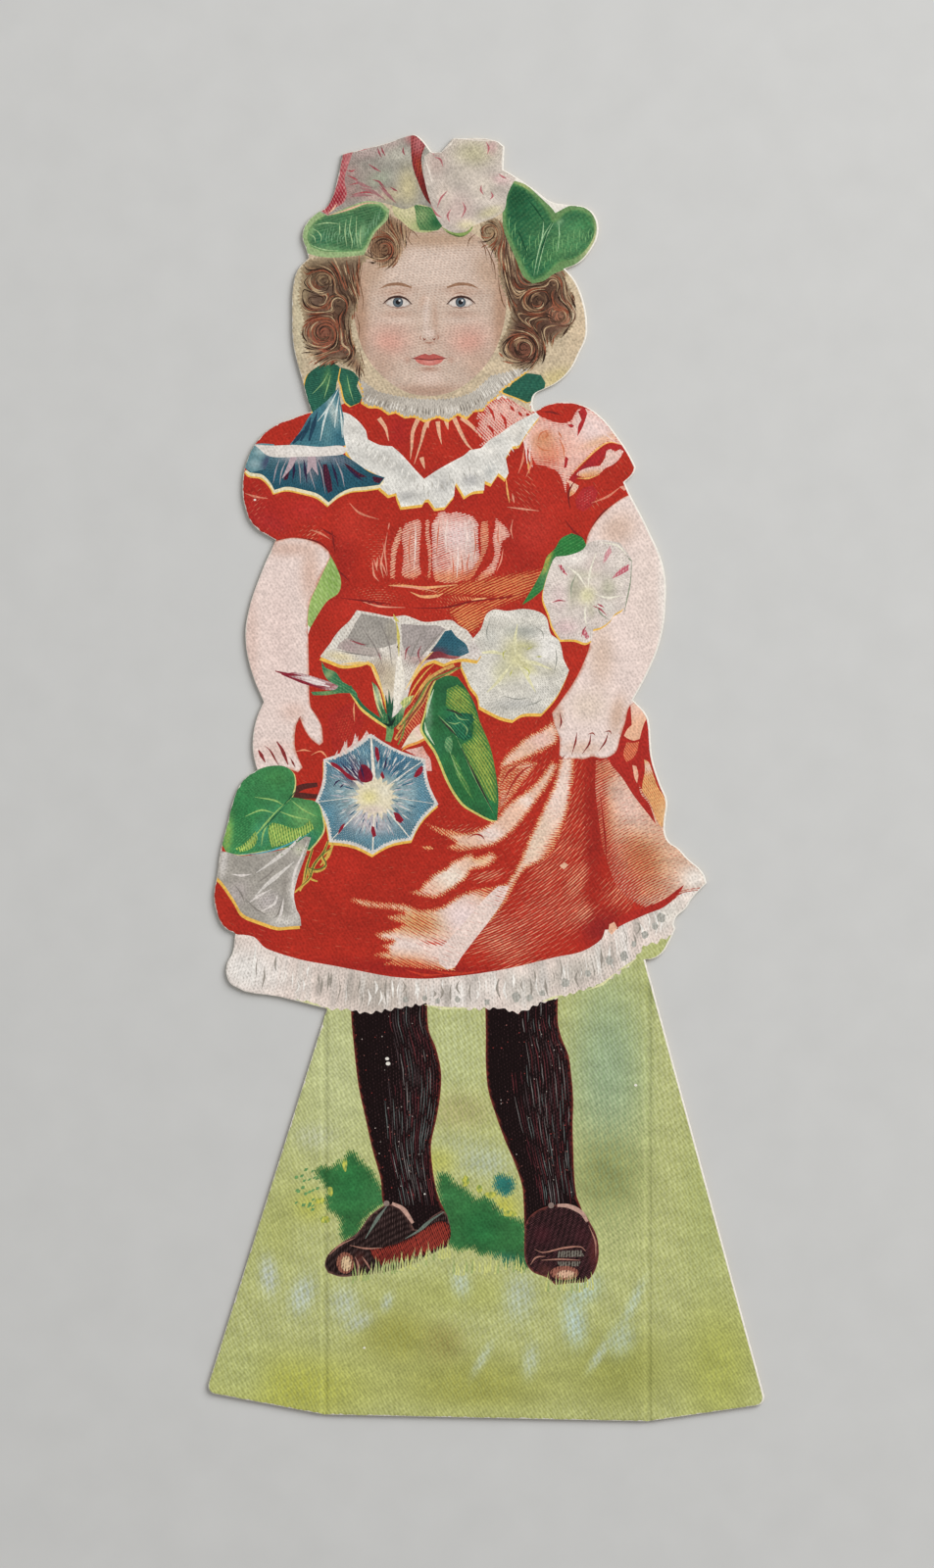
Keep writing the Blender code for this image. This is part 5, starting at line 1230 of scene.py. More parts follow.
# Big white flower
WHITE = [(812, 170), (826, 130), (850, 92), (872, 66), (888, 22), (912, 6), (952, 10), (1000, 4),
    (1042, 10), (1072, 30), (1086, 80), (1112, 102), (1126, 160), (1142, 192), (1130, 222), (1110, 262),
    (1090, 290), (1058, 324), (1000, 326), (970, 344), (930, 334), (868, 302), (862, 270), (840, 240),
    (826, 208)]
rimmed("petal", WHITE, (218, 213, 202), RIM_YELLOW, (-0.1, -0.34), SKIRT,
    washes=[(1000, 74, 50, 18, 0, (176, 178, 172), 0.9), (1010, 116, 40, 12, 0, (186, 182, 130), 0.9),
    (975, 150, 40, 60, 0, (212, 206, 156), 0.9), (1016, 180, 34, 16, 30, (214, 208, 150), 0.8),
    (930, 200, 30, 40, 40, (212, 208, 168), 0.7), (1080, 120, 40, 60, 0, (230, 226, 220), 0.9),
    (880, 220, 34, 50, 0, (228, 223, 214), 0.8), (980, 296, 70, 20, 0, (190, 188, 184), 0.8),
    (1060, 260, 30, 30, 0, (224, 220, 212), 0.7), (870, 110, 24, 40, 0, (214, 208, 198), 0.7),
    (960, 20, 70, 14, 0, (226, 221, 212), 0.8), (1080, 190, 30, 20, 0, (206, 200, 176), 0.6),
    (900, 90, 26, 26, 0, (196, 194, 186), 0.7)], stroke=(160, 158, 146), amount=0.2,
    amounts=[(1000, 80, 60, 30, 0, 0.36, 1.0), (1080, 120, 40, 60, 0, 0.08, 1.0),
    (980, 296, 70, 20, 0, 0.34, 1.0), (880, 220, 40, 50, 0, 0.1, 1.0), (940, 150, 26, 50, 0, 0.28, 1.0)],
    flow=rays(980, 160, SKIRT, 7.0), uneven=0.07)
brushes("petal", [[(978, 150), (976, 100), (984, 50)], [(990, 160), (1040, 170), (1090, 190)],
    [(984, 170), (1016, 216), (1040, 260)], [(966, 172), (930, 220), (890, 260)],
    [(962, 150), (910, 136), (860, 140)]], 0.4, (222, 217, 178), SKIRT)
brushes("petal", [[(1000, 180), (1020, 196), (1016, 212)], [(952, 130), (940, 140), (944, 160)],
    [(1010, 130), (1030, 120)], [(968, 190), (960, 210)], [(1040, 150), (1060, 150)]], 0.16,
    (186, 186, 100), SKIRT)
brushes("petal", [[(1040, 60), (1060, 74), (1064, 96)], [(900, 40), (890, 70), (892, 100)],
    [(940, 270), (980, 280), (1020, 276)], [(1010, 300), (1040, 292), (1060, 280)],
    [(1100, 120), (1104, 160), (1096, 200)]], 0.15, (150, 150, 142), SKIRT)

# Trumpet flower seen from the side
TRUMPET = [(380, 150), (396, 128), (412, 108), (424, 88), (444, 64), (470, 40), (492, 8), (540, 16),
    (600, 28), (640, 24), (700, 44), (780, 38), (806, 56), (832, 72), (876, 140), (862, 162), (820, 156),
    (790, 160), (760, 172), (730, 160), (702, 172), (680, 196), (660, 230), (642, 292), (622, 332),
    (600, 348), (584, 300), (574, 262), (560, 212), (544, 176), (526, 164), (500, 172), (450, 176),
    (420, 166)]
rimmed("petal", TRUMPET, (220, 213, 203), RIM_YELLOW, (-0.1, -0.36), SKIRT,
    washes=[(590, 220, 34, 60, 0, (206, 190, 160), 0.8), (560, 190, 30, 30, 0, (186, 168, 146), 0.8),
    (680, 160, 50, 20, 20, (196, 164, 160), 0.8), (850, 130, 24, 26, 0, (212, 202, 198), 0.8),
    (440, 150, 50, 14, 10, (222, 206, 160), 0.8), (790, 165, 40, 12, 0, (218, 196, 190), 0.8),
    (700, 50, 60, 12, 0, (222, 216, 206), 0.9), (430, 90, 20, 40, 40, (224, 219, 208), 0.9)],
    stroke=(150, 132, 118), amount=0.14, amounts=[(560, 190, 36, 40, 0, 0.36, 1.0),
    (660, 180, 26, 40, 30, 0.3, 1.0)], flow=rays(610, 330, SKIRT, 9.0), uneven=0.05)
TRUMPET_PETALS = (
    ([(506, 18), (560, 28), (598, 34), (614, 54), (614, 110), (560, 124), (500, 116), (464, 92),
        (486, 50)], (164, 158, 150)),
    ([(464, 92), (500, 116), (560, 124), (572, 150), (520, 148), (470, 136), (430, 124), (440, 108)],
        (184, 172, 164)),
    ([(628, 50), (690, 54), (745, 56), (764, 66), (740, 96), (716, 124), (690, 146), (656, 150),
        (634, 122)], (170, 160, 156)),
)
for outline, shade in TRUMPET_PETALS:
    lay("petal", outline, shade, SKIRT, stroke=(132, 124, 118), amount=0.2, fade=(0.4, 0.05),
        washes=[(600, 70, 20, 40, 0, (176, 168, 150), 0.7), (470, 120, 30, 20, 0, (184, 158, 158), 0.6)],
        flow=rays(610, 330, SKIRT, 9.0), uneven=0.06)
lay("petal", [(738, 108), (762, 72), (782, 68), (796, 88), (826, 112), (836, 138), (804, 150), (772, 146),
    (740, 138), (718, 134)], (52, 100, 114), SKIRT, washes=[(745, 132, 30, 12, 10, (96, 60, 74), 0.8),
    (820, 130, 16, 12, 0, (110, 130, 146), 0.6), (775, 95, 20, 20, 0, (46, 92, 108), 0.8)],
    stroke=(24, 66, 86), amount=0.25, flow=rays(640, 250, SKIRT, 9.0))
lay("petal", [(700, 162), (716, 138), (744, 134), (776, 146), (812, 150), (790, 158), (750, 154),
    (726, 158)], (126, 52, 60), SKIRT, washes=[(790, 152, 30, 8, 0, (190, 120, 110), 0.8)])
lay("petal", [(618, 140), (626, 136), (632, 180), (640, 220), (634, 260), (620, 300), (608, 322),
    (604, 290), (608, 220)], (238, 231, 218), SKIRT, stroke=(196, 176, 150), amount=0.1)
brushes("petal", [[(610, 34), (618, 70), (620, 110), (621, 150)], [(604, 20), (612, 36), (622, 44)]], 0.34,
    (204, 190, 100), SKIRT)
brushes("petal", [[(726, 134), (690, 170), (664, 214), (640, 252)], [(444, 172), (500, 170), (530, 168)],
    [(530, 166), (556, 220), (576, 270)]], 0.34, (232, 196, 122), SKIRT)
brushes("petal", [[(470, 94), (500, 110), (530, 112)], [(620, 110), (616, 122), (624, 124)]], 0.14,
    (110, 90, 84), SKIRT)
brushes("petal", [[(470, 100), (500, 110), (520, 116)], [(552, 126), (560, 146), (568, 160)],
    [(640, 160), (644, 130), (656, 116)], [(690, 176), (680, 140), (690, 116)]], 0.2, (150, 70, 78), SKIRT)
brushes("petal", [[(430, 130), (480, 140), (540, 150)], [(500, 50), (548, 120), (572, 180)],
    [(560, 40), (590, 110), (600, 180)], [(700, 60), (670, 120), (646, 180)],
    [(760, 64), (710, 120), (660, 190)]], 0.16, (140, 132, 126), SKIRT)
brushes("leaf", [[(640, 300), (664, 250), (700, 200), (730, 172)], [(652, 300), (690, 240), (720, 200)]],
    0.2, (222, 176, 90), SKIRT)

# Calyx, buds, stems and tendrils
STEM_RED = (140, 62, 48)
lay("hatch", [(612, 404), (630, 346), (660, 290), (700, 236), (744, 202), (772, 194), (744, 236),
    (712, 286), (698, 330), (690, 366), (652, 396), (626, 424)], (222, 134, 90), SKIRT,
    stroke=(172, 42, 34), amount=0.62, fade=(0.5, 0.9), flow=lines(-52), uneven=0.1)
rimmed("petal", [(628, 432), (650, 394), (672, 366), (696, 350), (708, 352), (698, 378), (704, 396),
    (676, 410), (646, 420)], (228, 212, 188), (230, 160, 80), (0.02, -0.3), SKIRT,
    washes=[(690, 372, 24, 24, 0, (230, 190, 180), 0.8)])
brushes("leaf", [[(800, 184), (760, 210), (720, 236), (690, 290), (660, 330), (636, 366), (610, 404)],
    [(790, 176), (740, 200), (706, 230), (672, 300), (640, 340), (616, 372)]], 0.5, (206, 160, 90), SKIRT,
    (0.7, 1, 0.7))
brushes("leaf", [[(802, 178), (762, 204), (724, 228), (694, 286), (664, 326), (640, 362), (616, 398)],
    [(770, 190), (720, 222), (688, 262), (650, 336), (622, 366)]], 0.24, STEM_RED, SKIRT, (0.7, 1, 0.7))
brushes("leaf", [[(812, 182), (770, 200), (716, 226), (684, 280), (650, 330), (628, 360)],
    [(640, 350), (632, 390), (618, 420)]], 0.18, (110, 140, 70), SKIRT, (0.7, 1, 0.7))
brushes("leaf", [[(470, 246), (492, 284), (510, 310), (548, 340), (586, 364)]], 0.5, (222, 190, 100), SKIRT,
    (1, 1, 1))
brushes("leaf", [[(470, 240), (492, 278), (512, 304), (550, 334), (588, 360)]], 0.36, (40, 104, 70), SKIRT,
    (1, 1, 1))
brushes("leaf", [[(594, 350), (594, 380), (588, 410)]], 0.8, (110, 156, 96), SKIRT, (1, 1, 0.8))
lay("leaf", [(538, 226), (556, 244), (562, 270), (574, 300), (584, 326), (600, 338), (618, 322), (634, 300),
    (664, 270), (656, 292), (640, 312), (632, 340), (616, 360), (600, 374), (582, 362), (566, 340),
    (552, 300), (544, 262)], (52, 108, 70), SKIRT, washes=[(556, 270, 10, 40, 0, (210, 206, 176), 0.9),
    (640, 300, 14, 30, 30, (206, 204, 160), 0.7), (598, 352, 20, 12, 0, (30, 84, 56), 0.8)],
    stroke=(120, 160, 100), amount=0.2, flow=lines(85))
lay("leaf", [(624, 292), (640, 276), (668, 268), (652, 290), (636, 308)], (208, 208, 132), SKIRT,
    stroke=(110, 144, 84), amount=0.3)
brushes("leaf", [[(590, 250), (593, 292), (592, 342)], [(580, 266), (586, 304), (590, 344)],
    [(604, 272), (599, 310), (595, 344)]], 0.32, (38, 86, 60), SKIRT, (0.1, 1, 0.8))
brushes("leaf", [[(576, 354), (590, 360), (604, 356)], [(588, 330), (594, 348), (597, 362)],
    [(610, 336), (602, 350), (598, 362)]], 0.3, (22, 44, 34), SKIRT, (0.3, 1, 0.3))
brushes("leaf", [[(541, 232), (546, 262), (556, 300), (572, 336)], [(560, 250), (566, 280), (574, 312)]],
    0.22, (214, 210, 150), SKIRT)
lay("petal", [(238, 192), (270, 202), (300, 198), (340, 206), (376, 216), (416, 230), (446, 242),
    (438, 250), (400, 252), (360, 242), (320, 228), (280, 212)], (196, 168, 168), SKIRT,
    washes=[(270, 204, 40, 8, -14, (134, 40, 50), 0.95), (380, 244, 60, 6, -12, (140, 48, 54), 0.9),
    (350, 214, 40, 8, -14, (222, 206, 202), 0.8)], stroke=(150, 60, 66), amount=0.25, flow=lines(-15))
brushes("petal", [[(242, 194), (280, 204), (322, 208)], [(262, 204), (300, 218), (350, 236), (396, 250)]],
    0.34, (136, 36, 52), SKIRT, (0.3, 1, 0.2))
brushes("petal", [[(310, 210), (350, 218), (396, 232)], [(330, 222), (370, 232), (410, 242)]], 0.3,
    (234, 220, 216), SKIRT, (0.1, 1, 0.3))
lay("leaf", [(384, 164), (398, 184), (428, 198), (448, 226), (468, 238), (492, 262), (494, 288), (472, 262),
    (440, 262), (400, 268), (358, 268), (352, 258), (392, 256), (428, 250), (436, 240), (404, 222),
    (388, 194)], (58, 118, 80), SKIRT, washes=[(405, 205, 10, 20, 40, (190, 190, 130), 0.7),
    (400, 262, 30, 6, 0, (150, 170, 100), 0.8)], stroke=(120, 160, 110), amount=0.2, flow=lines(-30))

# Long leaf
LONG_LEAF = [(735, 222), (768, 208), (800, 212), (822, 240), (846, 280), (862, 322), (872, 362), (892, 410),
    (908, 460), (920, 520), (926, 580), (922, 652), (904, 650), (860, 628), (820, 602), (790, 562),
    (768, 520), (752, 480), (734, 440), (708, 402), (692, 370), (702, 330), (712, 290), (722, 250)]
lay("leaf", smooth(place(LONG_LEAF, SKIRT)) + np.array((-0.24, -0.12)), (206, 196, 110), ready=True)
lay("leaf", LONG_LEAF, (46, 108, 62), SKIRT, washes=[(780, 260, 50, 50, 20, (38, 92, 58), 0.9),
    (712, 330, 10, 60, 0, (130, 168, 136), 0.8), (740, 440, 20, 60, 24, (48, 116, 76), 0.7),
    (905, 620, 20, 40, 0, (40, 114, 66), 0.9), (800, 330, 50, 26, 0, (40, 108, 72), 0.9),
    (830, 560, 40, 50, 30, (44, 108, 58), 0.7)], stroke=(34, 84, 52), amount=0.2,
    flow=rays(700, 250, SKIRT, 13.0), uneven=0.1)
LEAF_HALVES = (
    ([(768, 250), (800, 236), (830, 256), (852, 310), (878, 370), (902, 430), (916, 500), (920, 560),
        (920, 600), (896, 584), (870, 548), (846, 500), (826, 456), (812, 420), (846, 400), (850, 360),
        (820, 330), (786, 318), (764, 300)], (152, 168, 76), (70, 122, 60), 0.3),
    ([(780, 330), (812, 322), (846, 326), (852, 344), (836, 366), (846, 396), (822, 408), (800, 396),
        (776, 372), (760, 344)], (48, 122, 84), (28, 84, 60), 0.3),
    ([(766, 398), (780, 392), (786, 420), (780, 446), (766, 440), (760, 420)], (140, 178, 122),
        (80, 136, 90), 0.2),
    ([(784, 448), (800, 470), (812, 500), (834, 548), (850, 590), (826, 560), (806, 530), (790, 490)],
        (134, 168, 92), (66, 124, 66), 0.3),
)
for outline, shade, stroke, amount in LEAF_HALVES:
    lay("leaf", outline, shade, SKIRT, stroke=stroke, amount=amount + 0.08, fade=(0.8, 0.8),
        flow=lines(-60, 0.02), uneven=0.16)
brushes("leaf", [[(742, 330), (764, 352), (786, 376), (800, 400)], [(800, 404), (822, 450), (850, 514),
    (884, 580), (910, 630)], [(790, 320), (806, 340), (836, 344)], [(812, 352), (830, 372), (826, 392)],
    [(776, 440), (794, 486), (812, 530)], [(770, 350), (792, 356), (812, 350)]], 0.16, (136, 172, 112),
    SKIRT)
brushes("leaf", [[(744, 338), (764, 358), (786, 380), (796, 392)],
    [(812, 430), (846, 500), (884, 576), (906, 620)], [(764, 312), (790, 318), (820, 334)]], 0.24,
    (52, 50, 44), SKIRT)
brushes("leaf", [[(700, 350), (706, 380), (730, 420)], [(704, 340), (712, 296), (728, 250)]], 0.3,
    (190, 206, 176), SKIRT)

# Stem between leaf and round flower
brushes("leaf", [[(296, 562), (330, 548), (372, 542)], [(296, 574), (330, 576), (372, 578)]], 0.8,
    (84, 38, 34), SKIRT, (1, 0.8, 0.6))

# Round flower seen from the front
CORNERS = [(535, 386), (702, 464), (742, 602), (660, 712), (540, 756), (408, 718), (364, 596), (390, 464)]


def petal_edge(corners, centre, dip):
    """A ring of petals: each side between two corners bows in a little."""
    points = []
    for (x0, y0), (x1, y1) in zip(corners, corners[1:] + corners[:1]):
        for t in np.linspace(0, 1, 6)[:-1]:
            bow = 1 - dip * math.sin(math.pi * t)
            points.append((centre[0] + (x0 + (x1 - x0) * t - centre[0]) * bow,
                centre[1] + (y0 + (y1 - y0) * t - centre[1]) * bow))
    return np.array(points)


HEART_OF = (548, 572)
lay("petal", [(433, 460), (449, 432), (455, 408), (464, 430), (478, 418), (487, 384), (495, 411),
    (506, 402), (522, 376), (532, 392), (548, 389), (516, 421), (471, 447)], (232, 204, 196), SKIRT,
    stroke=(196, 96, 84), amount=0.2, flow=lines(60))
lay("petal", [(640, 436), (664, 432), (694, 424), (704, 444), (717, 464), (722, 500), (700, 500),
    (680, 460)], (226, 186, 176), SKIRT, washes=[(700, 440, 20, 14, 0, (214, 150, 130), 0.7)],
    stroke=(196, 96, 76), amount=0.14, flow=lines(40))
ring = petal_edge(CORNERS, HEART_OF, 0.06)
lay("petal", place(ring, SKIRT) + np.array((-0.06, -0.3)), RIM_YELLOW, ready=True)
lay("petal", place(ring, SKIRT), (214, 210, 204), ready=True)
lay("petal", place(frill(HEART_OF + (np.vstack([ring, ring[:1]]) - HEART_OF) * 0.945, 9, 6, 8)[:-1], SKIRT),
    (76, 118, 136), SKIRT, ready=True, washes=[(545, 582, 84, 74, 0, (226, 214, 188), 1.0),
    (530, 655, 70, 40, 10, (206, 186, 190), 0.9), (480, 500, 50, 34, 30, (96, 44, 72), 0.9),
    (450, 480, 40, 24, 30, (52, 106, 136), 0.8), (610, 480, 56, 30, -20, (44, 98, 128), 0.9),
    (430, 560, 26, 50, 0, (128, 158, 166), 0.8), (650, 580, 34, 50, 0, (150, 172, 178), 0.8),
    (400, 640, 24, 50, 0, (70, 130, 152), 0.7), (690, 600, 20, 60, 0, (70, 130, 154), 0.7),
    (550, 714, 60, 16, 0, (96, 146, 164), 0.7), (560, 430, 30, 20, 0, (110, 146, 160), 0.5)],
    stroke=(176, 192, 194), amount=0.2, amounts=[(480, 500, 50, 30, 30, 0.06, 1.0),
    (610, 470, 50, 24, 0, 0.12, 1.0)], flow=rays(*HEART_OF, SKIRT, 10.0), uneven=0.08)
random = np.random.default_rng(5)
for turn in np.linspace(0, 2 * math.pi, 210)[:-1]:
    upper = math.sin(turn) < -0.3
    first = random.uniform(70, 130) if upper else random.uniform(44, 110)
    last = first + random.uniform(16, 40)
    way = np.array([math.cos(turn), math.sin(turn)])
    near, far = HEART_OF + way * first, HEART_OF + way * min(last, 156)
    shade = [(214, 214, 208), (150, 182, 190), (40, 92, 118), (186, 180, 184)][random.integers(4)]
    brush("petal", [near, (near + far) / 2 + random.uniform(-2, 2, 2), far], random.uniform(0.08, 0.15),
        shade, SKIRT, (0.6, 1, 0.1), steps=2)
for (x, y), width in zip(CORNERS, (0.4, 0.14, 0.1, 0.2, 0.24, 0.16, 0.1, 0.3)):
    tip = (HEART_OF[0] + (x - HEART_OF[0]) * 0.94, HEART_OF[1] + (y - HEART_OF[1]) * 0.94)
    brush("petal", [HEART_OF, ((HEART_OF[0] + tip[0]) / 2, (HEART_OF[1] + tip[1]) / 2), tip], width,
        (230, 222, 208), SKIRT, (1, 0.9, 0.5))
star = [(548 + r * math.cos(a), 580 + r * math.sin(a)) for a, r in zip(np.linspace(0, 2 * math.pi, 41)[:-1],
    np.tile([74, 48, 64, 52], 10))]
lay("petal", star, (230, 220, 192), SKIRT, washes=[(530, 580, 26, 22, 0, (222, 212, 150), 0.9),
    (580, 560, 20, 20, 0, (232, 226, 206), 0.8), (540, 620, 40, 14, 0, (216, 198, 190), 0.8)],
    stroke=(196, 176, 140), amount=0.12, flow=rays(*HEART_OF, SKIRT, 10.0), fade=(0.3, 0.3))
RED_RAYS = (
    [(410, 472), (430, 478), (456, 500), (482, 520), (494, 530), (470, 526), (436, 496), (416, 484)],
    [(506, 480), (520, 482), (534, 496), (542, 516), (538, 530), (520, 536), (504, 532), (496, 512)],
    [(548, 424), (558, 430), (562, 462), (556, 474), (548, 450)],
    [(690, 484), (696, 490), (690, 508), (674, 520), (666, 518), (674, 500)],
    [(604, 626), (620, 630), (636, 650), (626, 660), (612, 652)],
    [(538, 668), (546, 672), (552, 698), (542, 704), (536, 684)],
    [(456, 660), (450, 676), (434, 696), (438, 680), (446, 666)],
    [(570, 500), (578, 520), (572, 526), (564, 512)],
)
for outline in RED_RAYS:
    lay("petal", outline, (150, 32, 48), SKIRT, washes=[(510, 506, 24, 30, 0, (104, 22, 44), 0.8)],
        stroke=(84, 20, 44), amount=0.25, flow=rays(*HEART_OF, SKIRT, 10.0))
brushes("petal", [[(500, 470), (508, 500), (516, 530)], [(470, 480), (484, 504), (500, 526)],
    [(440, 470), (462, 496), (480, 512)], [(584, 452), (580, 480), (574, 500)],
    [(444, 526), (430, 534), (420, 548)], [(452, 540), (440, 552)]], 0.2, (50, 34, 70), SKIRT)
for root, tip in (((440, 456), (458, 410)), ((458, 448), (462, 404)), ((476, 436), (486, 398)),
        ((490, 424), (496, 392)), ((424, 464), (434, 436))):
    brush("petal", [root, ((root[0] + tip[0]) / 2, (root[1] + tip[1]) / 2), tip], 0.28, (222, 200, 190),
        SKIRT, (1, 0.7, 0.05))

# Leaf in the left hand
HAND_LEAF = [(186, 498), (220, 486), (262, 484), (286, 494), (300, 512), (302, 548), (292, 580), (330, 586),
    (362, 592), (376, 604), (386, 640), (390, 680), (372, 712), (346, 742), (310, 738), (280, 734),
    (200, 746), (130, 756), (92, 748), (70, 700), (80, 640), (104, 580), (130, 528)]
lay("leaf", smooth(place(HAND_LEAF, SKIRT)) + np.array((0.14, -0.1)), (206, 200, 130), ready=True)
lay("leaf", HAND_LEAF, (54, 124, 72), SKIRT, washes=[(330, 640, 40, 50, -10, (112, 160, 92), 0.9),
    (230, 650, 40, 60, 30, (60, 132, 92), 0.8), (150, 620, 50, 60, 20, (44, 116, 66), 0.8),
    (350, 710, 30, 30, 0, (40, 118, 92), 0.9), (250, 520, 40, 30, 0, (64, 130, 70), 0.7),
    (96, 700, 14, 60, 6, (150, 180, 88), 0.9), (200, 700, 30, 40, 20, (70, 150, 120), 0.6)],
    stroke=(96, 160, 100), amount=0.2, amounts=[(330, 640, 50, 50, 0, 0.34, 1.0),
    (150, 620, 50, 60, 0, 0.12, 1.0)], flow=rays(300, 560, SKIRT, 9.0), uneven=0.1)
HAND_LEAF_LIGHT = (
    ([(222, 668), (236, 658), (262, 664), (300, 676), (330, 668), (348, 650), (362, 676), (330, 700),
        (300, 716), (262, 728), (232, 734), (222, 704)], 0.36),
    ([(120, 738), (144, 726), (170, 700), (182, 684), (188, 706), (180, 728), (160, 742),
        (136, 748)], 0.2),
)
for outline, amount in HAND_LEAF_LIGHT:
    lay("leaf", outline, (168, 190, 96), SKIRT, stroke=(50, 124, 60), amount=amount, fade=(0.35, 0.5),
        flow=lines(80, 0.02), uneven=0.08)
brushes("leaf", [[(292, 584), (250, 620), (210, 664), (180, 700), (150, 736)],
    [(250, 622), (300, 640), (350, 650)], [(226, 650), (206, 690), (200, 730)],
    [(292, 590), (330, 620), (370, 640)], [(270, 606), (240, 590), (180, 580)],
    [(240, 630), (200, 620), (150, 640)]], 0.2, (150, 188, 110), SKIRT)
brushes("leaf", [[(130, 756), (190, 752), (250, 738), (300, 716), (350, 690)]], 0.2, (84, 164, 176), SKIRT)
brushes("leaf", [[(280, 600), (236, 644), (196, 690)], [(306, 560), (290, 580), (262, 612)]], 0.16,
    (30, 84, 56), SKIRT)

# Flower at the left edge
LOW_FLOWER = [(60, 742), (100, 750), (140, 760), (200, 752), (280, 736), (336, 700), (352, 704), (344, 730),
    (328, 780), (310, 830), (300, 880), (306, 920), (318, 944), (322, 974), (286, 976), (250, 978),
    (200, 962), (144, 938), (120, 900), (84, 846), (60, 820)]
rimmed("petal", LOW_FLOWER, (168, 162, 153), RIM_YELLOW, (-0.14, -0.34), SKIRT,
    washes=[(84, 780, 12, 50, 6, (220, 214, 208), 1.0), (304, 880, 18, 90, 0, (220, 213, 206), 1.0),
    (220, 900, 40, 30, 0, (206, 196, 194), 0.8), (270, 960, 50, 20, 0, (214, 208, 200), 0.9),
    (120, 880, 30, 50, 36, (196, 184, 182), 0.7), (320, 740, 26, 20, 0, (204, 202, 180), 0.8),
    (150, 800, 40, 30, 0, (160, 155, 146), 0.7), (272, 850, 12, 40, 8, (150, 143, 135), 0.8)],
    stroke=(140, 134, 126), amount=0.14, amounts=[(220, 900, 40, 40, 0, 0.3, 1.0)],
    flow=rays(330, 700, SKIRT, 10.0), uneven=0.06)
brushes("petal", [[(184, 812), (238, 775), (288, 735), (320, 700)],
    [(180, 884), (216, 848), (260, 812), (300, 778)]], 0.5, (216, 210, 203), SKIRT)
brushes("petal", [[(160, 905), (190, 884), (230, 862)], [(250, 960), (262, 930), (268, 890)],
    [(110, 816), (140, 820), (170, 816)], [(200, 930), (240, 906), (250, 880)], [(340, 716), (324, 760),
    (302, 812), (296, 876), (308, 930)]], 0.3, (222, 214, 208), SKIRT)
brushes("petal", [[(262, 900), (252, 936), (240, 950)], [(150, 890), (180, 920), (220, 944)],
    [(190, 840), (220, 820), (250, 790)], [(120, 850), (140, 880), (150, 910)]], 0.2, (138, 131, 124),
    SKIRT)
speck = np.random.default_rng(12)
for _ in range(26):
    x, y = speck.uniform(230, 345), speck.uniform(710, 760)
    lay("petal", circle[::3] * speck.uniform(1.2, 2.6) + (x, y), (110, 130, 90), SKIRT)
brushes("leaf", [[(404, 716), (390, 750), (360, 790), (346, 830), (320, 856), (302, 872)], [(412, 740),
    (386, 762), (396, 790), (370, 806), (340, 800), (352, 830), (372, 838)],
    [(420, 720), (404, 760), (380, 790)], [(356, 740), (340, 790), (330, 840), (318, 868)]], 0.4,
    (206, 170, 80), SKIRT, (0.6, 1, 0.4))
brushes("leaf", [[(406, 712), (392, 746), (362, 786), (348, 826), (322, 852)], [(414, 736), (388, 758),
    (398, 786), (372, 802), (342, 796), (354, 826)], [(358, 736), (342, 786), (332, 836)]], 0.18,
    (96, 110, 52), SKIRT, (0.6, 1, 0.4))

# Flecks where the ink has chipped away
for x, y, down, r in ((585, 241, GROUND, 6), (588, 256, GROUND, 7), (1346, 322, GROUND, 5),
        (515, 1126, GROUND, 4), (700, 655, GROUND, 3), (180, 1170, 0, 4)):
    lay("bare", circle * (r, r * 0.8) + (x, y), BARE, down)

# Cut lines of the panels, from their flat backs
ON_LINE = 0.003  # how far from a line a point may lie and still be on it
FOLD_CLEARANCE = 1.5  # how far above a flap its crease may still reach


def cut_line(node):
    """The outline of a panel's back, counter-clockwise from the front, in millimetres."""
    mesh = frame["nodes"][node].data
    mesh.calc_loop_triangles()
    points = np.empty(len(mesh.vertices) * 3)
    mesh.vertices.foreach_get("co", points)
    points = points.reshape(-1, 3) * TO_MM
    faces = np.empty(len(mesh.loop_triangles) * 3, int)
    mesh.loop_triangles.foreach_get("vertices", faces)
    faces = faces.reshape(-1, 3)
    faces = faces[np.abs(points[faces][:, :, 2]).max(1) < 0.001]
    _, first, index = np.unique(np.round(points[:, :2], 4), axis=0, return_index=True, return_inverse=True)
    faces = index.reshape(-1)[faces]
    edges = {(a, b) for face in faces.tolist() for a, b in zip(face, face[1:] + face[:1])}
    follow = {b: a for a, b in edges if (b, a) not in edges}
    line = [min(follow)]
    while follow[line[-1]] != line[0]:
        line.append(follow[line[-1]])
    return points[first][line][:, :2]


PANELS = {
    "figure": cut_line("figure_panel"),
    "left_flap": cut_line("left_flap"),
    "right_flap": cut_line("right_flap"),
}
FOLDS = {joint["child"]: joint["pos_m"][0] * TO_MM for joint in frame["joints"]}


def on_fold(line, flap):
    """Which points of a cut line lie where the crease of a flap begins or ends."""
    beside = np.abs(np.abs(line[:, 0] - FOLDS[flap]) - CREASE_GAP / 2) < ON_LINE
    return beside & (line[:, 1] < PANELS[flap][:, 1].max() + FOLD_CLEARANCE)


def crease_outline(flap):
    """The strip of card between the figure and a flap."""
    ends = []
    for line in (PANELS["figure"], PANELS[flap]):
        rows = line[on_fold(line, flap)]
        ends.append((rows[rows[:, 1].argmin()], rows[rows[:, 1].argmax()]))
    ends.sort(key=lambda pair: pair[0][0])
    (low_left, high_left), (low_right, high_right) = ends
    return np.array([low_left, low_right, high_right, high_left])


REGIONS = dict(PANELS)
for flap in FOLDS:
    REGIONS[flap.replace("flap", "crease")] = crease_outline(flap)

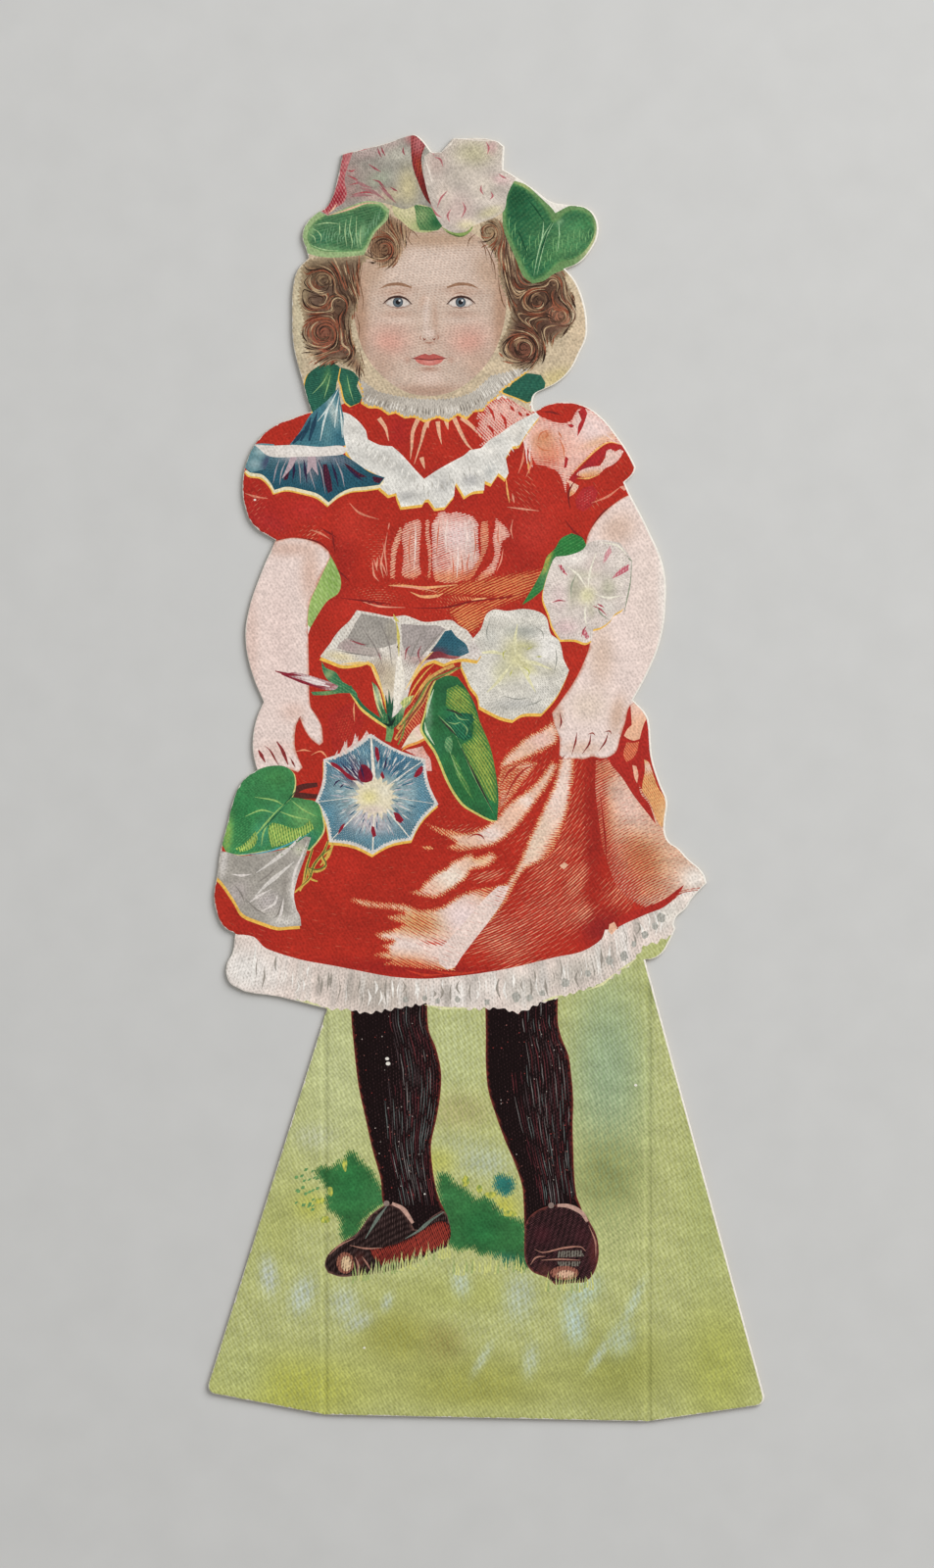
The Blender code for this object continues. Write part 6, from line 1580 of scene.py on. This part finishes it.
cut_starts, cut_ends = [], []
for line in PANELS.values():
    ends = np.roll(line, -1, axis=0)
    at_cut = np.ones(len(line), bool)
    for flap in FOLDS:
        at_cut &= ~(on_fold(line, flap) & on_fold(ends, flap))
    cut_starts.append(line[at_cut])
    cut_ends.append(ends[at_cut])
CUT_START, CUT_END = np.vstack(cut_starts), np.vstack(cut_ends)


def face_height(p, cut_distance):
    """Height of the printed face: rolled over by the die at the cut, and pressed in at the scores."""
    over = np.clip(1 - cut_distance / EDGE_ROLL, 0, 1)
    height = CARD_THICKNESS - EDGE_ROLL * (1 - np.sqrt(1 - over**2))
    rule = (SCORE_WIDTH**2 / 4 + SCORE_DEPTH**2) / (2 * SCORE_DEPTH)
    for flap, fold in FOLDS.items():
        across = np.abs(p[:, 0] - fold)
        top = REGIONS[flap.replace("flap", "crease")][:, 1].max()
        within = (across < SCORE_WIDTH / 2) & (p[:, 1] < top + SCORE_WIDTH / 4)
        height[within] -= np.sqrt(rule**2 - across[within] ** 2) - (rule - SCORE_DEPTH)
    return height


# One flat map of the printed face
ROW_PITCH = 0.866  # distance between rows of points, as a share of the distance within a row
ROLL_ROWS = (0.03, EDGE_ROLL)  # how far in from the cut the points lie that carry the rolled edge
SCORE_ROWS = (0, 0.07, 0.22, 0.3, 0.36, 0.4)  # the same for a scored groove, from its middle out
BEYOND = 0.1
HEAD_MIDDLE = place([(714, 600)])[0]
HEAD_REACH = (9.5, 8.0)
HEAD_BOX = [place([corner])[0] for corner in ((450, 830), (980, 370))]


def inset(line, by):
    """The outline moved in by a distance."""
    way = np.roll(line, -1, axis=0) - line
    way /= np.maximum(np.linalg.norm(way, axis=1, keepdims=True), 1e-9)
    side = np.column_stack([-way[:, 1], way[:, 0]])
    mean = side + np.roll(side, 1, axis=0)
    mean /= np.maximum(np.linalg.norm(mean, axis=1, keepdims=True), 1e-9)
    return line + mean * by


def sample_points(low, high, step):
    """Rows of evenly spaced points, each row shifted by half a step."""
    xs = np.arange(low[0], high[0], step)
    rows = np.arange(low[1], high[1], step * ROW_PITCH)
    points = [np.column_stack([xs + (i % 2) * step / 2, np.full(len(xs), y)]) for i, y in enumerate(rows)]
    return np.vstack(points)


def thinned(line, within=0.012):
    """The outline without the points that lie on the way between their neighbours."""
    keep = np.zeros(len(line), bool)
    keep[[0, -1]] = True
    spans = [(0, len(line) - 1)]
    while spans:
        first, last = spans.pop()
        if last - first < 2:
            continue
        d = line[last] - line[first]
        q = line[first + 1 : last] - line[first]
        t = np.clip((q @ d) / max(d @ d, 1e-12), 0, 1)
        off = np.linalg.norm(q - t[:, None] * d, axis=1)
        if off.max() > within:
            middle = first + 1 + off.argmax()
            keep[middle] = True
            spans += [(first, middle), (middle, last)]
    return line[keep]


def split(line, closed, longest=0.5):
    """The line with its long edges divided."""
    ends = np.roll(line, -1, axis=0) if closed else line[1:]
    parts = []
    for a, b in zip(line, ends):
        pieces = max(1, math.ceil(np.linalg.norm(b - a) / longest))
        parts.append(a + (b - a) * (np.arange(pieces) / pieces)[:, None])
    return np.vstack(parts if closed else parts + [line[-1:]])


def in_head(points):
    """Which points lie in the oval of the head, where the map is finer."""
    return (((points - HEAD_MIDDLE) / HEAD_REACH) ** 2).sum(1) < 1


sheet_low = np.min([line.min(0) for line in PANELS.values()], axis=0)
sheet_high = np.max([line.max(0) for line in PANELS.values()], axis=0)
closed_lines, open_lines = [], []
# Each region's outline goes into the map twice, the second shifted left; the strip between them on
# right-facing edges is partly off-register print and partly a painted highlight of the rolled edge
for line in REGIONS.values():
    closed_lines += [line, line - (BARE_RIGHT_EDGE, 0)]
for line in PANELS.values():
    closed_lines += [inset(line, by) for by in ROLL_ROWS]
for flap, fold in FOLDS.items():
    groove_top = REGIONS[flap.replace("flap", "crease")][:, 1].max() + SCORE_WIDTH / 4
    for across in SCORE_ROWS:
        for x in sorted({fold - across, fold + across}):
            open_lines.append(np.array([(x, sheet_low[1] - BEYOND), (x, groove_top)]))
patch_lines = [thinned(patch["outline"]) for patch in PATCHES]
patch_lines = [line for line in patch_lines
    if len(line) > 2 and (line.max(0) > sheet_low).all() and (line.min(0) < sheet_high).all()]

points, edges = [], []
first = 0
for group, closed in ((closed_lines, True), (open_lines, False), (patch_lines, True)):
    for line in group:
        line = split(line, closed)
        points.append(line)
        last = first + len(line) - 1
        edges += [(i, i + 1) for i in range(first, last)] + [(last, first)] * closed
        first = last + 1

samples = sample_points(sheet_low, sheet_high, SAMPLE_STEP)
covered = np.zeros(len(samples), bool)
for line in REGIONS.values():
    covered |= inside(samples, line)
fine_samples = sample_points(*HEAD_BOX, FACE_STEP)
points += [samples[covered & ~in_head(samples)], fine_samples[in_head(fine_samples)]]


def joined(points, edges, nearest):
    """Triangles between points that keep to the edges: the points and the triangles."""
    flat, _, triangles, *_ = delaunay_2d_cdt([Vector(p) for p in points], edges, [], 0, nearest, False)
    return np.array(flat), np.array(triangles)


flat, triangles = joined(np.vstack(points), edges, 1e-6)
middle = flat[triangles].mean(1)

# Ink of each triangle: the patch that lies uppermost at its middle
BARE_CARD = -1
BROAD_GRAIN, FINE_GRAIN = 2.2, 0.7  # sizes of the uneven spots of ink, in millimetres
patch_of = np.full(len(triangles), BARE_CARD)
printed = np.zeros(len(triangles), bool)
region_of = np.full(len(triangles), -1)
# Triangles outside the shifted print area stay bare card: a strip along right-facing edges that is partly
# off-register print and partly a painted highlight on the rolled edge
for index, line in enumerate(REGIONS.values()):
    region_of[inside(middle, line)] = index
    printed |= inside(middle, line - (BARE_RIGHT_EDGE, 0))
printed &= region_of >= 0
unclaimed = printed.copy()
mid_x, mid_y = np.ascontiguousarray(middle.T)
for index in range(len(PATCHES) - 1, -1, -1):
    line = PATCHES[index]["outline"]
    (left, foot), (right, top) = line.min(0), line.max(0)
    chosen = np.flatnonzero(unclaimed & (mid_x > left) & (mid_x < right) & (mid_y > foot) & (mid_y < top))
    chosen = chosen[inside(middle[chosen], line)]
    patch_of[chosen] = index
    unclaimed[chosen] = False

cut_distance = distance_to(flat, CUT_START, CUT_END)
face_z = face_height(flat, cut_distance)
grain = mottle(flat, BROAD_GRAIN, 21) * 0.7 + mottle(flat, FINE_GRAIN, 22) * 0.5

corner_ink = np.tile(np.append(to_linear(BARE), 1.0), (len(triangles), 3, 1))
corner_line = corner_ink.copy()
corner_flow = np.zeros((len(triangles), 3, 3))
ink_of = np.zeros(len(triangles), int)
INKS = ["bare"] + sorted({patch["ink"] for patch in PATCHES} - {"bare"})
order = np.argsort(patch_of, kind="stable")
starts = np.searchsorted(patch_of[order], np.arange(len(PATCHES) + 1))
for index, patch in enumerate(PATCHES):
    chosen = order[starts[index] : starts[index + 1]]
    if not len(chosen):
        continue
    corners = triangles[chosen].reshape(-1)
    ink, line_ink, flow = painted(patch, flat[corners], grain[corners])
    corner_ink[chosen, :, :3] = to_linear(ink).reshape(-1, 3, 3)
    corner_line[chosen, :, :3] = to_linear(line_ink).reshape(-1, 3, 3)
    corner_flow[chosen] = flow.reshape(-1, 3, 3)
    ink_of[chosen] = INKS.index(patch["ink"])


# Shared effects


def effect(name, inputs, outputs):
    """An empty node group with its sockets, and its input and output nodes."""
    tree = bpy.data.node_groups.new(name, "ShaderNodeTree")
    for label, kind, value in inputs:
        socket = tree.interface.new_socket(label, in_out="INPUT", socket_type=kind)
        if value is not None:
            socket.default_value = value
    for label, kind in outputs:
        tree.interface.new_socket(label, in_out="OUTPUT", socket_type=kind)
    return tree, tree.nodes.new("NodeGroupInput"), tree.nodes.new("NodeGroupOutput")


def node(tree, kind, **values):
    """A new shader node with the given settings."""
    made = tree.nodes.new("ShaderNode" + kind)
    for key, value in values.items():
        setattr(made, key, value)
    return made


def wire(tree, source, target):
    """Joins two sockets."""
    tree.links.new(source, target)


def maths(tree, operation, first, second=None, clamp=False):
    """One sum; each term is a socket or a number."""
    made = node(tree, "Math", operation=operation, use_clamp=clamp)
    for socket, term in zip(made.inputs, (first, second)):
        if isinstance(term, (int, float)):
            socket.default_value = term
        elif term is not None:
            wire(tree, term, socket)
    return made.outputs[0]


def blended(tree, share, first, second, kind="MIX"):
    """Two colours mixed by a share."""
    made = node(tree, "Mix", data_type="RGBA", blend_type=kind)
    for socket, term in zip((made.inputs[0], made.inputs[6], made.inputs[7]), (share, first, second)):
        if isinstance(term, (int, float, tuple)):
            socket.default_value = term
        else:
            wire(tree, term, socket)
    return made.outputs[2]


def noise(tree, vector, scale, detail=2.0, rough=0.5):
    """Soft random values over a place."""
    made = node(tree, "TexNoise")
    made.inputs["Detail"].default_value = detail
    made.inputs["Roughness"].default_value = rough
    made.inputs["Scale"].default_value = scale
    wire(tree, vector, made.inputs["Vector"])
    return made.outputs["Fac"]


def scattered(tree, vector, scale):
    """Distance to the nearest of many scattered points."""
    made = node(tree, "TexVoronoi")
    made.inputs["Scale"].default_value = scale
    wire(tree, vector, made.inputs["Vector"])
    return made.outputs["Distance"]


# Drawn strokes: ragged lines that follow a patch's flow and break into dots, spacing in millimetres
STROKES, given, result = effect(
    "drawn strokes",
    [
        ("Flow", "NodeSocketVector", None),
        ("Spacing", "NodeSocketFloat", 0.4),
        ("Dotted", "NodeSocketFloat", 0.5),
        ("Raggedness", "NodeSocketFloat", 0.3),
        ("Softness", "NodeSocketFloat", 0.25),
    ],
    [("Mask", "NodeSocketFloat")],
)
STROKE_LENGTH = 0.3  # how fast the drawing changes along a stroke, against across it
DOT_PITCH, DOT_SLANT = 0.8, 0.5
THIN_LEVEL, LEVEL_RANGE = 1.15, 1.3  # crest at which ink starts, for no strokes and down to full cover
flow_parts = node(STROKES, "SeparateXYZ")
wire(STROKES, given.outputs["Flow"], flow_parts.inputs[0])
across = maths(STROKES, "DIVIDE", flow_parts.outputs[0], given.outputs["Spacing"])
along = maths(STROKES, "DIVIDE", flow_parts.outputs[1], given.outputs["Spacing"])
in_flow = node(STROKES, "CombineXYZ")
wire(STROKES, across, in_flow.inputs[0])
wire(STROKES, maths(STROKES, "MULTIPLY", along, STROKE_LENGTH), in_flow.inputs[1])
drift = maths(STROKES, "SUBTRACT", noise(STROKES, in_flow.outputs[0], 0.45, 2.0), 0.5)
wander = maths(STROKES, "MULTIPLY", drift, maths(STROKES, "MULTIPLY", given.outputs["Raggedness"], 5.0))
row = maths(STROKES, "ADD", across, wander)
rows = maths(STROKES, "SINE", maths(STROKES, "MULTIPLY", row, 2 * math.pi))
dot_along = maths(STROKES, "MULTIPLY", along, DOT_PITCH)
dot = maths(STROKES, "ADD", dot_along, maths(STROKES, "MULTIPLY", row, DOT_SLANT))
dots = maths(STROKES, "SINE", maths(STROKES, "MULTIPLY", dot, 2 * math.pi))
half = maths(STROKES, "MULTIPLY", given.outputs["Dotted"], 0.25)
dotted_rows = maths(STROKES, "MULTIPLY", rows, maths(STROKES, "SUBTRACT", 0.5, half))
lattice = maths(STROKES, "ADD", dotted_rows, maths(STROKES, "MULTIPLY", dots, half))
uneven = maths(STROKES, "SUBTRACT", noise(STROKES, in_flow.outputs[0], 1.9, 1.0), 0.5)
rough = maths(STROKES, "MULTIPLY", uneven, 0.5)
crest = maths(STROKES, "ADD", maths(STROKES, "ADD", lattice, 0.5), rough)
cover = maths(STROKES, "MULTIPLY", flow_parts.outputs[2], LEVEL_RANGE)
level = maths(STROKES, "SUBTRACT", THIN_LEVEL, cover)
ramp = maths(STROKES, "DIVIDE", maths(STROKES, "SUBTRACT", crest, level), given.outputs["Softness"])
inked = maths(STROKES, "ADD", ramp, 0.5, clamp=True)
any_ink = maths(STROKES, "GREATER_THAN", flow_parts.outputs[2], 0.001)
wire(STROKES, maths(STROKES, "MULTIPLY", inked, any_ink), result.inputs["Mask"])

# Ink film: the fine stipple of the print, its colour uneven over the card
FILM, given, result = effect(
    "ink film",
    [
        ("Place", "NodeSocketVector", None),
        ("Stipple", "NodeSocketFloat", 0.2),
        ("Patchy", "NodeSocketFloat", 0.1),
    ],
    [("Shade", "NodeSocketFloat"), ("Height", "NodeSocketFloat")],
)
fine = noise(FILM, given.outputs["Place"], 3.4, 3.0, 0.7)
broad = noise(FILM, given.outputs["Place"], 0.35, 3.0, 0.55)
stipple = scattered(FILM, given.outputs["Place"], 3.6)
speckle = maths(FILM, "ADD", maths(FILM, "MULTIPLY", fine, 0.6), maths(FILM, "MULTIPLY", stipple, 0.55))
shade = maths(FILM, "MULTIPLY", maths(FILM, "SUBTRACT", speckle, 0.53), given.outputs["Stipple"])
uneven = maths(FILM, "MULTIPLY", maths(FILM, "SUBTRACT", broad, 0.5), given.outputs["Patchy"])
wire(FILM, maths(FILM, "ADD", maths(FILM, "ADD", shade, uneven), 1.0), result.inputs["Shade"])
wire(FILM, speckle, result.inputs["Height"])

# Linen press: fine ribs pressed into the card at a steep slant, crossed by fainter ones
RIB_PITCH = 0.34
RIB_WAYS = (((0.85, 0.53, 0.0), 1.0), ((0.53, -0.85, 0.0), 0.35))
LINEN, given, result = effect(
    "linen press",
    [("Place", "NodeSocketVector", None), ("Pitch", "NodeSocketFloat", RIB_PITCH)],
    [("Height", "NodeSocketFloat")],
)
ribs = []
for way, share in RIB_WAYS:
    slant = node(LINEN, "VectorMath", operation="DOT_PRODUCT")
    slant.inputs[1].default_value = way
    wire(LINEN, given.outputs["Place"], slant.inputs[0])
    sway = maths(LINEN, "MULTIPLY", noise(LINEN, given.outputs["Place"], 0.5, 1.0), 1.6)
    turns = maths(LINEN, "ADD", maths(LINEN, "DIVIDE", slant.outputs["Value"], given.outputs["Pitch"]), sway)
    wave = maths(LINEN, "SINE", maths(LINEN, "MULTIPLY", turns, 2 * math.pi))
    ribs.append(maths(LINEN, "MULTIPLY", wave, share))
wire(LINEN, maths(LINEN, "ADD", *ribs), result.inputs["Height"])

# Worn edge: ink rubbed off the card along the cut, most at its high places
WORN, given, result = effect(
    "worn edge",
    [
        ("Place", "NodeSocketVector", None),
        ("Distance", "NodeSocketFloat", 1.0),
        ("Reach", "NodeSocketFloat", 0.2),
    ],
    [("Mask", "NodeSocketFloat")],
)
WEAR_EDGE = 0.05  # width over which the ink fades out, in millimetres
rubbed = maths(WORN, "POWER", noise(WORN, given.outputs["Place"], 1.6, 3.0, 0.65), 3.0)
reach = maths(WORN, "MULTIPLY", given.outputs["Reach"], maths(WORN, "MULTIPLY", rubbed, 8.0))
depth = maths(WORN, "DIVIDE", maths(WORN, "SUBTRACT", reach, given.outputs["Distance"]), WEAR_EDGE)
wire(WORN, maths(WORN, "ADD", depth, 0.5, clamp=True), result.inputs["Mask"])


def use(tree, group, **values):
    """Places an effect in a material; each value is a socket or a number."""
    made = node(tree, "Group", node_tree=group)
    for key, value in values.items():
        if isinstance(value, (int, float)):
            made.inputs[key].default_value = value
        else:
            wire(tree, value, made.inputs[key])
    return made.outputs


def reading(tree, name, output="Vector"):
    """A value that the mesh carries."""
    return node(tree, "Attribute", attribute_name=name).outputs[output]


def shiny(shader, rough, level):
    """Sets how rough a surface is and how strongly it reflects."""
    shader.inputs["Roughness"].default_value = rough
    shader.inputs["Specular IOR Level"].default_value = level


def start_material(name):
    """A new material, its nodes and its surface."""
    made = bpy.data.materials.new(name)
    made.use_nodes = True
    tree = made.node_tree
    return made, tree, tree.nodes["Principled BSDF"]


def opaque(colour):
    """A printed colour as a socket takes it."""
    return (*to_linear(colour), 1.0)


def pressed(tree, shader, relief, strength):
    """Turns a relief into small bumps of the surface."""
    bump = node(tree, "Bump")
    bump.inputs["Strength"].default_value = strength
    bump.inputs["Distance"].default_value = BUMP_HEIGHT * MM
    wire(tree, relief, bump.inputs["Height"])
    wire(tree, bump.outputs[0], shader.inputs["Normal"])


def grey(tree, value):
    """The same value in all three colour channels."""
    made = node(tree, "CombineColor")
    for socket in made.inputs:
        wire(tree, value, socket)
    return made.outputs[0]


def printed_material(ink, spacing, dotted, ragged, soft, stipple, patchy, rough, level, press, reach):
    """Ink on the pressed card, with its strokes, and bare card where the edge is worn."""
    made, tree, shader = start_material(ink + "_ink")
    where = reading(tree, "place")
    film = use(tree, FILM, Place=where, Stipple=stipple, Patchy=patchy)
    linen = use(tree, LINEN, Place=where, Pitch=RIB_PITCH)
    strokes = use(
        tree,
        STROKES,
        Flow=reading(tree, "print_flow"),
        Spacing=spacing,
        Dotted=dotted,
        Raggedness=ragged,
        Softness=soft,
    )
    film_ink, stroke_ink = reading(tree, "print_ink", "Color"), reading(tree, "print_line", "Color")
    colour = blended(tree, strokes["Mask"], film_ink, stroke_ink)
    # The ink's tone rises and falls with the pressed ribs: partly ink that lies thicker on the ribs, partly
    # painted sheen along them
    shade = maths(tree, "ADD", film["Shade"], maths(tree, "MULTIPLY", linen["Height"], press * 0.06))
    colour = blended(tree, 1.0, colour, grey(tree, shade), "MULTIPLY")
    worn = use(tree, WORN, Place=where, Distance=reading(tree, "wear", "Fac"), Reach=reach)
    wire(tree, blended(tree, worn["Mask"], colour, opaque(BARE)), shader.inputs["Base Color"])
    shiny(shader, rough, level)
    gloss = maths(tree, "ADD", maths(tree, "MULTIPLY", film["Height"], 0.12), rough - 0.06)
    gloss = maths(tree, "ADD", gloss, maths(tree, "MULTIPLY", worn["Mask"], 0.25), clamp=True)
    wire(tree, gloss, shader.inputs["Roughness"])
    ribbed = maths(tree, "MULTIPLY", linen["Height"], press)
    relief = maths(tree, "ADD", ribbed, maths(tree, "MULTIPLY", film["Height"], 0.6))
    relief = maths(tree, "ADD", relief, maths(tree, "MULTIPLY", strokes["Mask"], 0.2))
    pressed(tree, shader, relief, 0.35)
    return made


# ink: stroke spacing, dots, raggedness, softness, stipple, patchiness, roughness, specular, press, wear reach
FINISHES = {
    "bare": (0.40, 0.50, 0.30, 0.30, 0.30, 0.12, 0.85, 0.15, 0.5, 0.00),
    "cloth": (0.26, 0.50, 0.12, 0.35, 0.95, 0.44, 0.50, 0.15, 0.5, 0.06),
    "cream": (0.34, 0.90, 0.20, 0.70, 1.05, 0.36, 0.62, 0.12, 0.6, 0.05),
    "face": (0.30, 1.00, 0.10, 0.80, 0.72, 0.14, 0.64, 0.12, 0.3, 0.00),
    "ground": (0.60, 0.90, 0.30, 1.20, 0.62, 0.34, 0.58, 0.12, 1.2, 0.06),
    "hair": (0.24, 0.30, 0.30, 0.50, 1.10, 0.30, 0.58, 0.12, 0.4, 0.05),
    "hatch": (0.29, 0.40, 0.25, 0.32, 0.85, 0.36, 0.50, 0.15, 0.5, 0.06),
    "lace": (0.34, 0.60, 0.40, 0.70, 0.72, 0.28, 0.66, 0.12, 0.5, 0.05),
    "leaf": (0.30, 0.50, 0.20, 0.55, 1.00, 0.46, 0.50, 0.15, 0.5, 0.05),
    "petal": (0.30, 0.80, 0.20, 0.70, 0.85, 0.30, 0.58, 0.12, 0.4, 0.05),
    "shoe": (0.30, 0.50, 0.30, 0.50, 0.90, 0.30, 0.50, 0.10, 0.4, 0.00),
    "skin": (0.30, 1.00, 0.10, 0.80, 0.85, 0.20, 0.62, 0.12, 0.5, 0.06),
    "stocking": (0.32, 0.45, 0.35, 0.45, 1.00, 0.26, 0.55, 0.08, 0.4, 0.00),
}
BUMP_HEIGHT = 0.02  # millimetres
FLECK_COLOUR, FLECK_SIZE = (0.20, 0.14, 0.09, 1.0), 0.06
HANDLED = 1.2  # width of the darkened border of bare card, in millimetres
CARD_LAYERS = 9


def card_material(name, colour, stain, rough, layers):
    """Unprinted card: grey-white pulp with flecks, aged and handled; its cut edge shows layers."""
    made, tree, shader = start_material(name)
    where = reading(tree, "place")
    film = use(tree, FILM, Place=where, Stipple=0.1, Patchy=0.16)
    age = noise(tree, where, 0.05, 5.0, 0.6)
    aged = maths(tree, "MULTIPLY", maths(tree, "SUBTRACT", age, 0.42, clamp=True), 2.4, clamp=True)
    tone = blended(tree, aged, opaque(colour), opaque(stain))
    fleck = maths(tree, "LESS_THAN", scattered(tree, where, 0.45), FLECK_SIZE)
    tone = blended(tree, maths(tree, "MULTIPLY", fleck, 0.5), tone, FLECK_COLOUR)
    tone = blended(tree, 1.0, tone, grey(tree, film["Shade"]), "MULTIPLY")
    inward = maths(tree, "DIVIDE", reading(tree, "wear", "Fac"), HANDLED)
    border = maths(tree, "SUBTRACT", 1.0, inward, clamp=True)
    tone = blended(tree, maths(tree, "MULTIPLY", border, 0.35), tone, opaque(stain))
    wire(tree, tone, shader.inputs["Base Color"])
    shiny(shader, rough, 0.2)
    linen = use(tree, LINEN, Place=where, Pitch=RIB_PITCH)
    relief = maths(tree, "ADD", maths(tree, "MULTIPLY", linen["Height"], 0.25), film["Height"])
    if layers:
        place_parts = node(tree, "SeparateXYZ")
        wire(tree, where, place_parts.inputs[0])
        ply = maths(tree, "SINE", maths(tree, "MULTIPLY", place_parts.outputs[2], 2 * math.pi * layers))
        relief = maths(tree, "ADD", relief, maths(tree, "MULTIPLY", ply, 0.5))
    pressed(tree, shader, relief, 0.5)
    return made


MATERIALS = [printed_material(ink, *FINISHES[ink]) for ink in INKS]
MATERIALS.append(card_material("card_back", (214, 202, 178), (186, 164, 128), 0.82, 0))
MATERIALS.append(card_material("card_edge", (226, 216, 196), (190, 172, 140), 0.9, CARD_LAYERS))
BACK, EDGE = len(INKS), len(INKS) + 1


# Card bodies: printed face, cut edges and back of each piece
BACK_STEP = 2.0  # distance between the points of the back, in millimetres
SHARP_EDGE = 35  # degrees
CORNER_VALUES = (
    ("print_ink", "FLOAT_COLOR", "color", corner_ink),
    ("print_line", "FLOAT_COLOR", "color", corner_line),
    ("print_flow", "FLOAT_VECTOR", "vector", corner_flow),
)


def carry(mesh, label, kind, on, slot, values):
    """Gives a mesh one value for each of its corners or points."""
    layer = mesh.attributes.new(label, kind, on)
    layer.data.foreach_set(slot, values.astype(np.float32).reshape(-1))


def card_piece(name, region):
    """A closed piece of card under the triangles of one region."""
    chosen = np.flatnonzero(region_of == list(REGIONS).index(region))
    used, local = np.unique(triangles[chosen], return_inverse=True)
    top = local.reshape(-1, 3)
    directed = {(a, b) for face in top.tolist() for a, b in zip(face, face[1:] + face[:1])}
    rim = sorted((a, b) for a, b in directed if (b, a) not in directed)
    around = sorted({a for a, _ in rim})
    low_of = {a: len(used) + i for i, a in enumerate(around)}
    verts = np.column_stack([flat[used], face_z[used]])
    base = verts[around] * (1, 1, 0)
    walls = [(b, a, low_of[a], low_of[b]) for a, b in rim]
    at = {a: i for i, a in enumerate(around)}
    border = [(at[a], at[b]) for a, b in rim]
    extra = np.zeros((0, 2))
    if region in PANELS:
        extra = sample_points(base[:, :2].min(0), base[:, :2].max(0), BACK_STEP)
        extra = extra[inside(extra, REGIONS[region])]
    plane = np.vstack([base[:, :2], extra])
    back = joined(plane, border, 1e-7)[1]
    back = back[inside(plane[back].mean(1), REGIONS[region])][:, ::-1] + len(used)
    verts = np.vstack([verts, np.column_stack([plane, np.zeros(len(plane))])])
    mesh = bpy.data.meshes.new(name)
    mesh.from_pydata((verts * MM).tolist(), [], top.tolist() + walls + back.tolist())
    for material in MATERIALS:
        mesh.materials.append(material)
    kinds = np.concatenate([ink_of[chosen], np.full(len(walls), EDGE), np.full(len(back), BACK)])
    mesh.polygons.foreach_set("material_index", kinds.astype(np.int32))
    mesh.polygons.foreach_set("use_smooth", np.ones(len(kinds), bool))
    for label, kind, slot, values in CORNER_VALUES:
        data = np.zeros((len(mesh.loops), values.shape[2]))
        data[: top.size] = values[chosen].reshape(top.size, -1)
        carry(mesh, label, kind, "CORNER", slot, data)
    wear = np.concatenate([cut_distance[used], np.zeros(len(base)), distance_to(extra, CUT_START, CUT_END)])
    carry(mesh, "place", "FLOAT_VECTOR", "POINT", "vector", verts)
    carry(mesh, "wear", "FLOAT", "POINT", "value", wear)
    mesh.set_sharp_from_angle(angle=math.radians(SHARP_EDGE))
    piece = bpy.data.objects.new(name, mesh)
    bpy.context.scene.collection.objects.link(piece)
    return piece


figure_card = card_piece("figure_card", "figure")
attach(figure_card, "figure")
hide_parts("figure_panel")
for side in ("left", "right"):
    flap = side + "_flap"
    flap_card = card_piece(flap + "_card", flap)
    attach(flap_card, flap)
    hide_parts(flap)
    crease = card_piece(side + "_crease", side + "_crease")
    fold, outward = FOLDS[flap] * MM, CREASE_GAP / 2 * MM * (1 if side == "right" else -1)
    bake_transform(crease)

# Floor, light and camera
FLOOR_HALF = 0.9  # metres
FLOOR_BELOW = 0.05  # millimetres
floor_mesh = bpy.data.meshes.new("floor")
floor_corners = [(x * FLOOR_HALF, y * FLOOR_HALF, -FLOOR_BELOW * MM)
    for x, y in ((-1, -1), (1, -1), (1, 1), (-1, 1))]
floor_mesh.from_pydata(floor_corners, [], [(0, 1, 2, 3)])
floor = bpy.data.objects.new("floor", floor_mesh)
bpy.context.scene.collection.objects.link(floor)
floor_paint, tree, shader = start_material("floor_paint")
where = node(tree, "TexCoord").outputs["Object"]
pale = blended(tree, noise(tree, where, 180.0, 4.0), (0.60, 0.60, 0.59, 1.0), (0.66, 0.66, 0.65, 1.0))
wire(tree, pale, shader.inputs["Base Color"])
shiny(shader, 0.9, 0.1)
floor_mesh.materials.append(floor_paint)
floor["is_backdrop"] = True

world = bpy.data.worlds.new("studio")
world.use_nodes = True
daylight = world.node_tree.nodes["Background"].inputs
daylight["Color"].default_value = (1.0, 0.99, 0.97, 1.0)
daylight["Strength"].default_value = 0.42
bpy.context.scene.world = world


def soft_light(name, at, size, power):
    """A square light that faces the middle of the doll."""
    data = bpy.data.lights.new(name, "AREA")
    data.size = size
    data.energy = power
    light = bpy.data.objects.new(name, data)
    light.location = at
    light.rotation_euler = (-Vector(at)).to_track_quat("-Z", "Y").to_euler()
    bpy.context.scene.collection.objects.link(light)


soft_light("window", (0.5, 0.45, 0.55), 0.6, 6.6)

PICTURE_MIDDLE = (-2.09, -0.65)  # where the middle of the picture falls on the card
PICTURE_HEIGHT = 170.56
CAMERA_DISTANCE = 640.0
SENSOR_HEIGHT = 24.0
camera_data = bpy.data.cameras.new("camera")
camera_data.sensor_fit = "VERTICAL"
camera_data.sensor_height = SENSOR_HEIGHT
camera_data.lens = SENSOR_HEIGHT * CAMERA_DISTANCE / PICTURE_HEIGHT
camera_data.clip_start = 0.01
camera = bpy.data.objects.new("camera", camera_data)
camera.location = (PICTURE_MIDDLE[0] * MM, PICTURE_MIDDLE[1] * MM, (CARD_THICKNESS + CAMERA_DISTANCE) * MM)
bpy.context.scene.collection.objects.link(camera)
bpy.context.scene.camera = camera
bpy.context.scene.view_settings.view_transform = "Standard"

low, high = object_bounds()
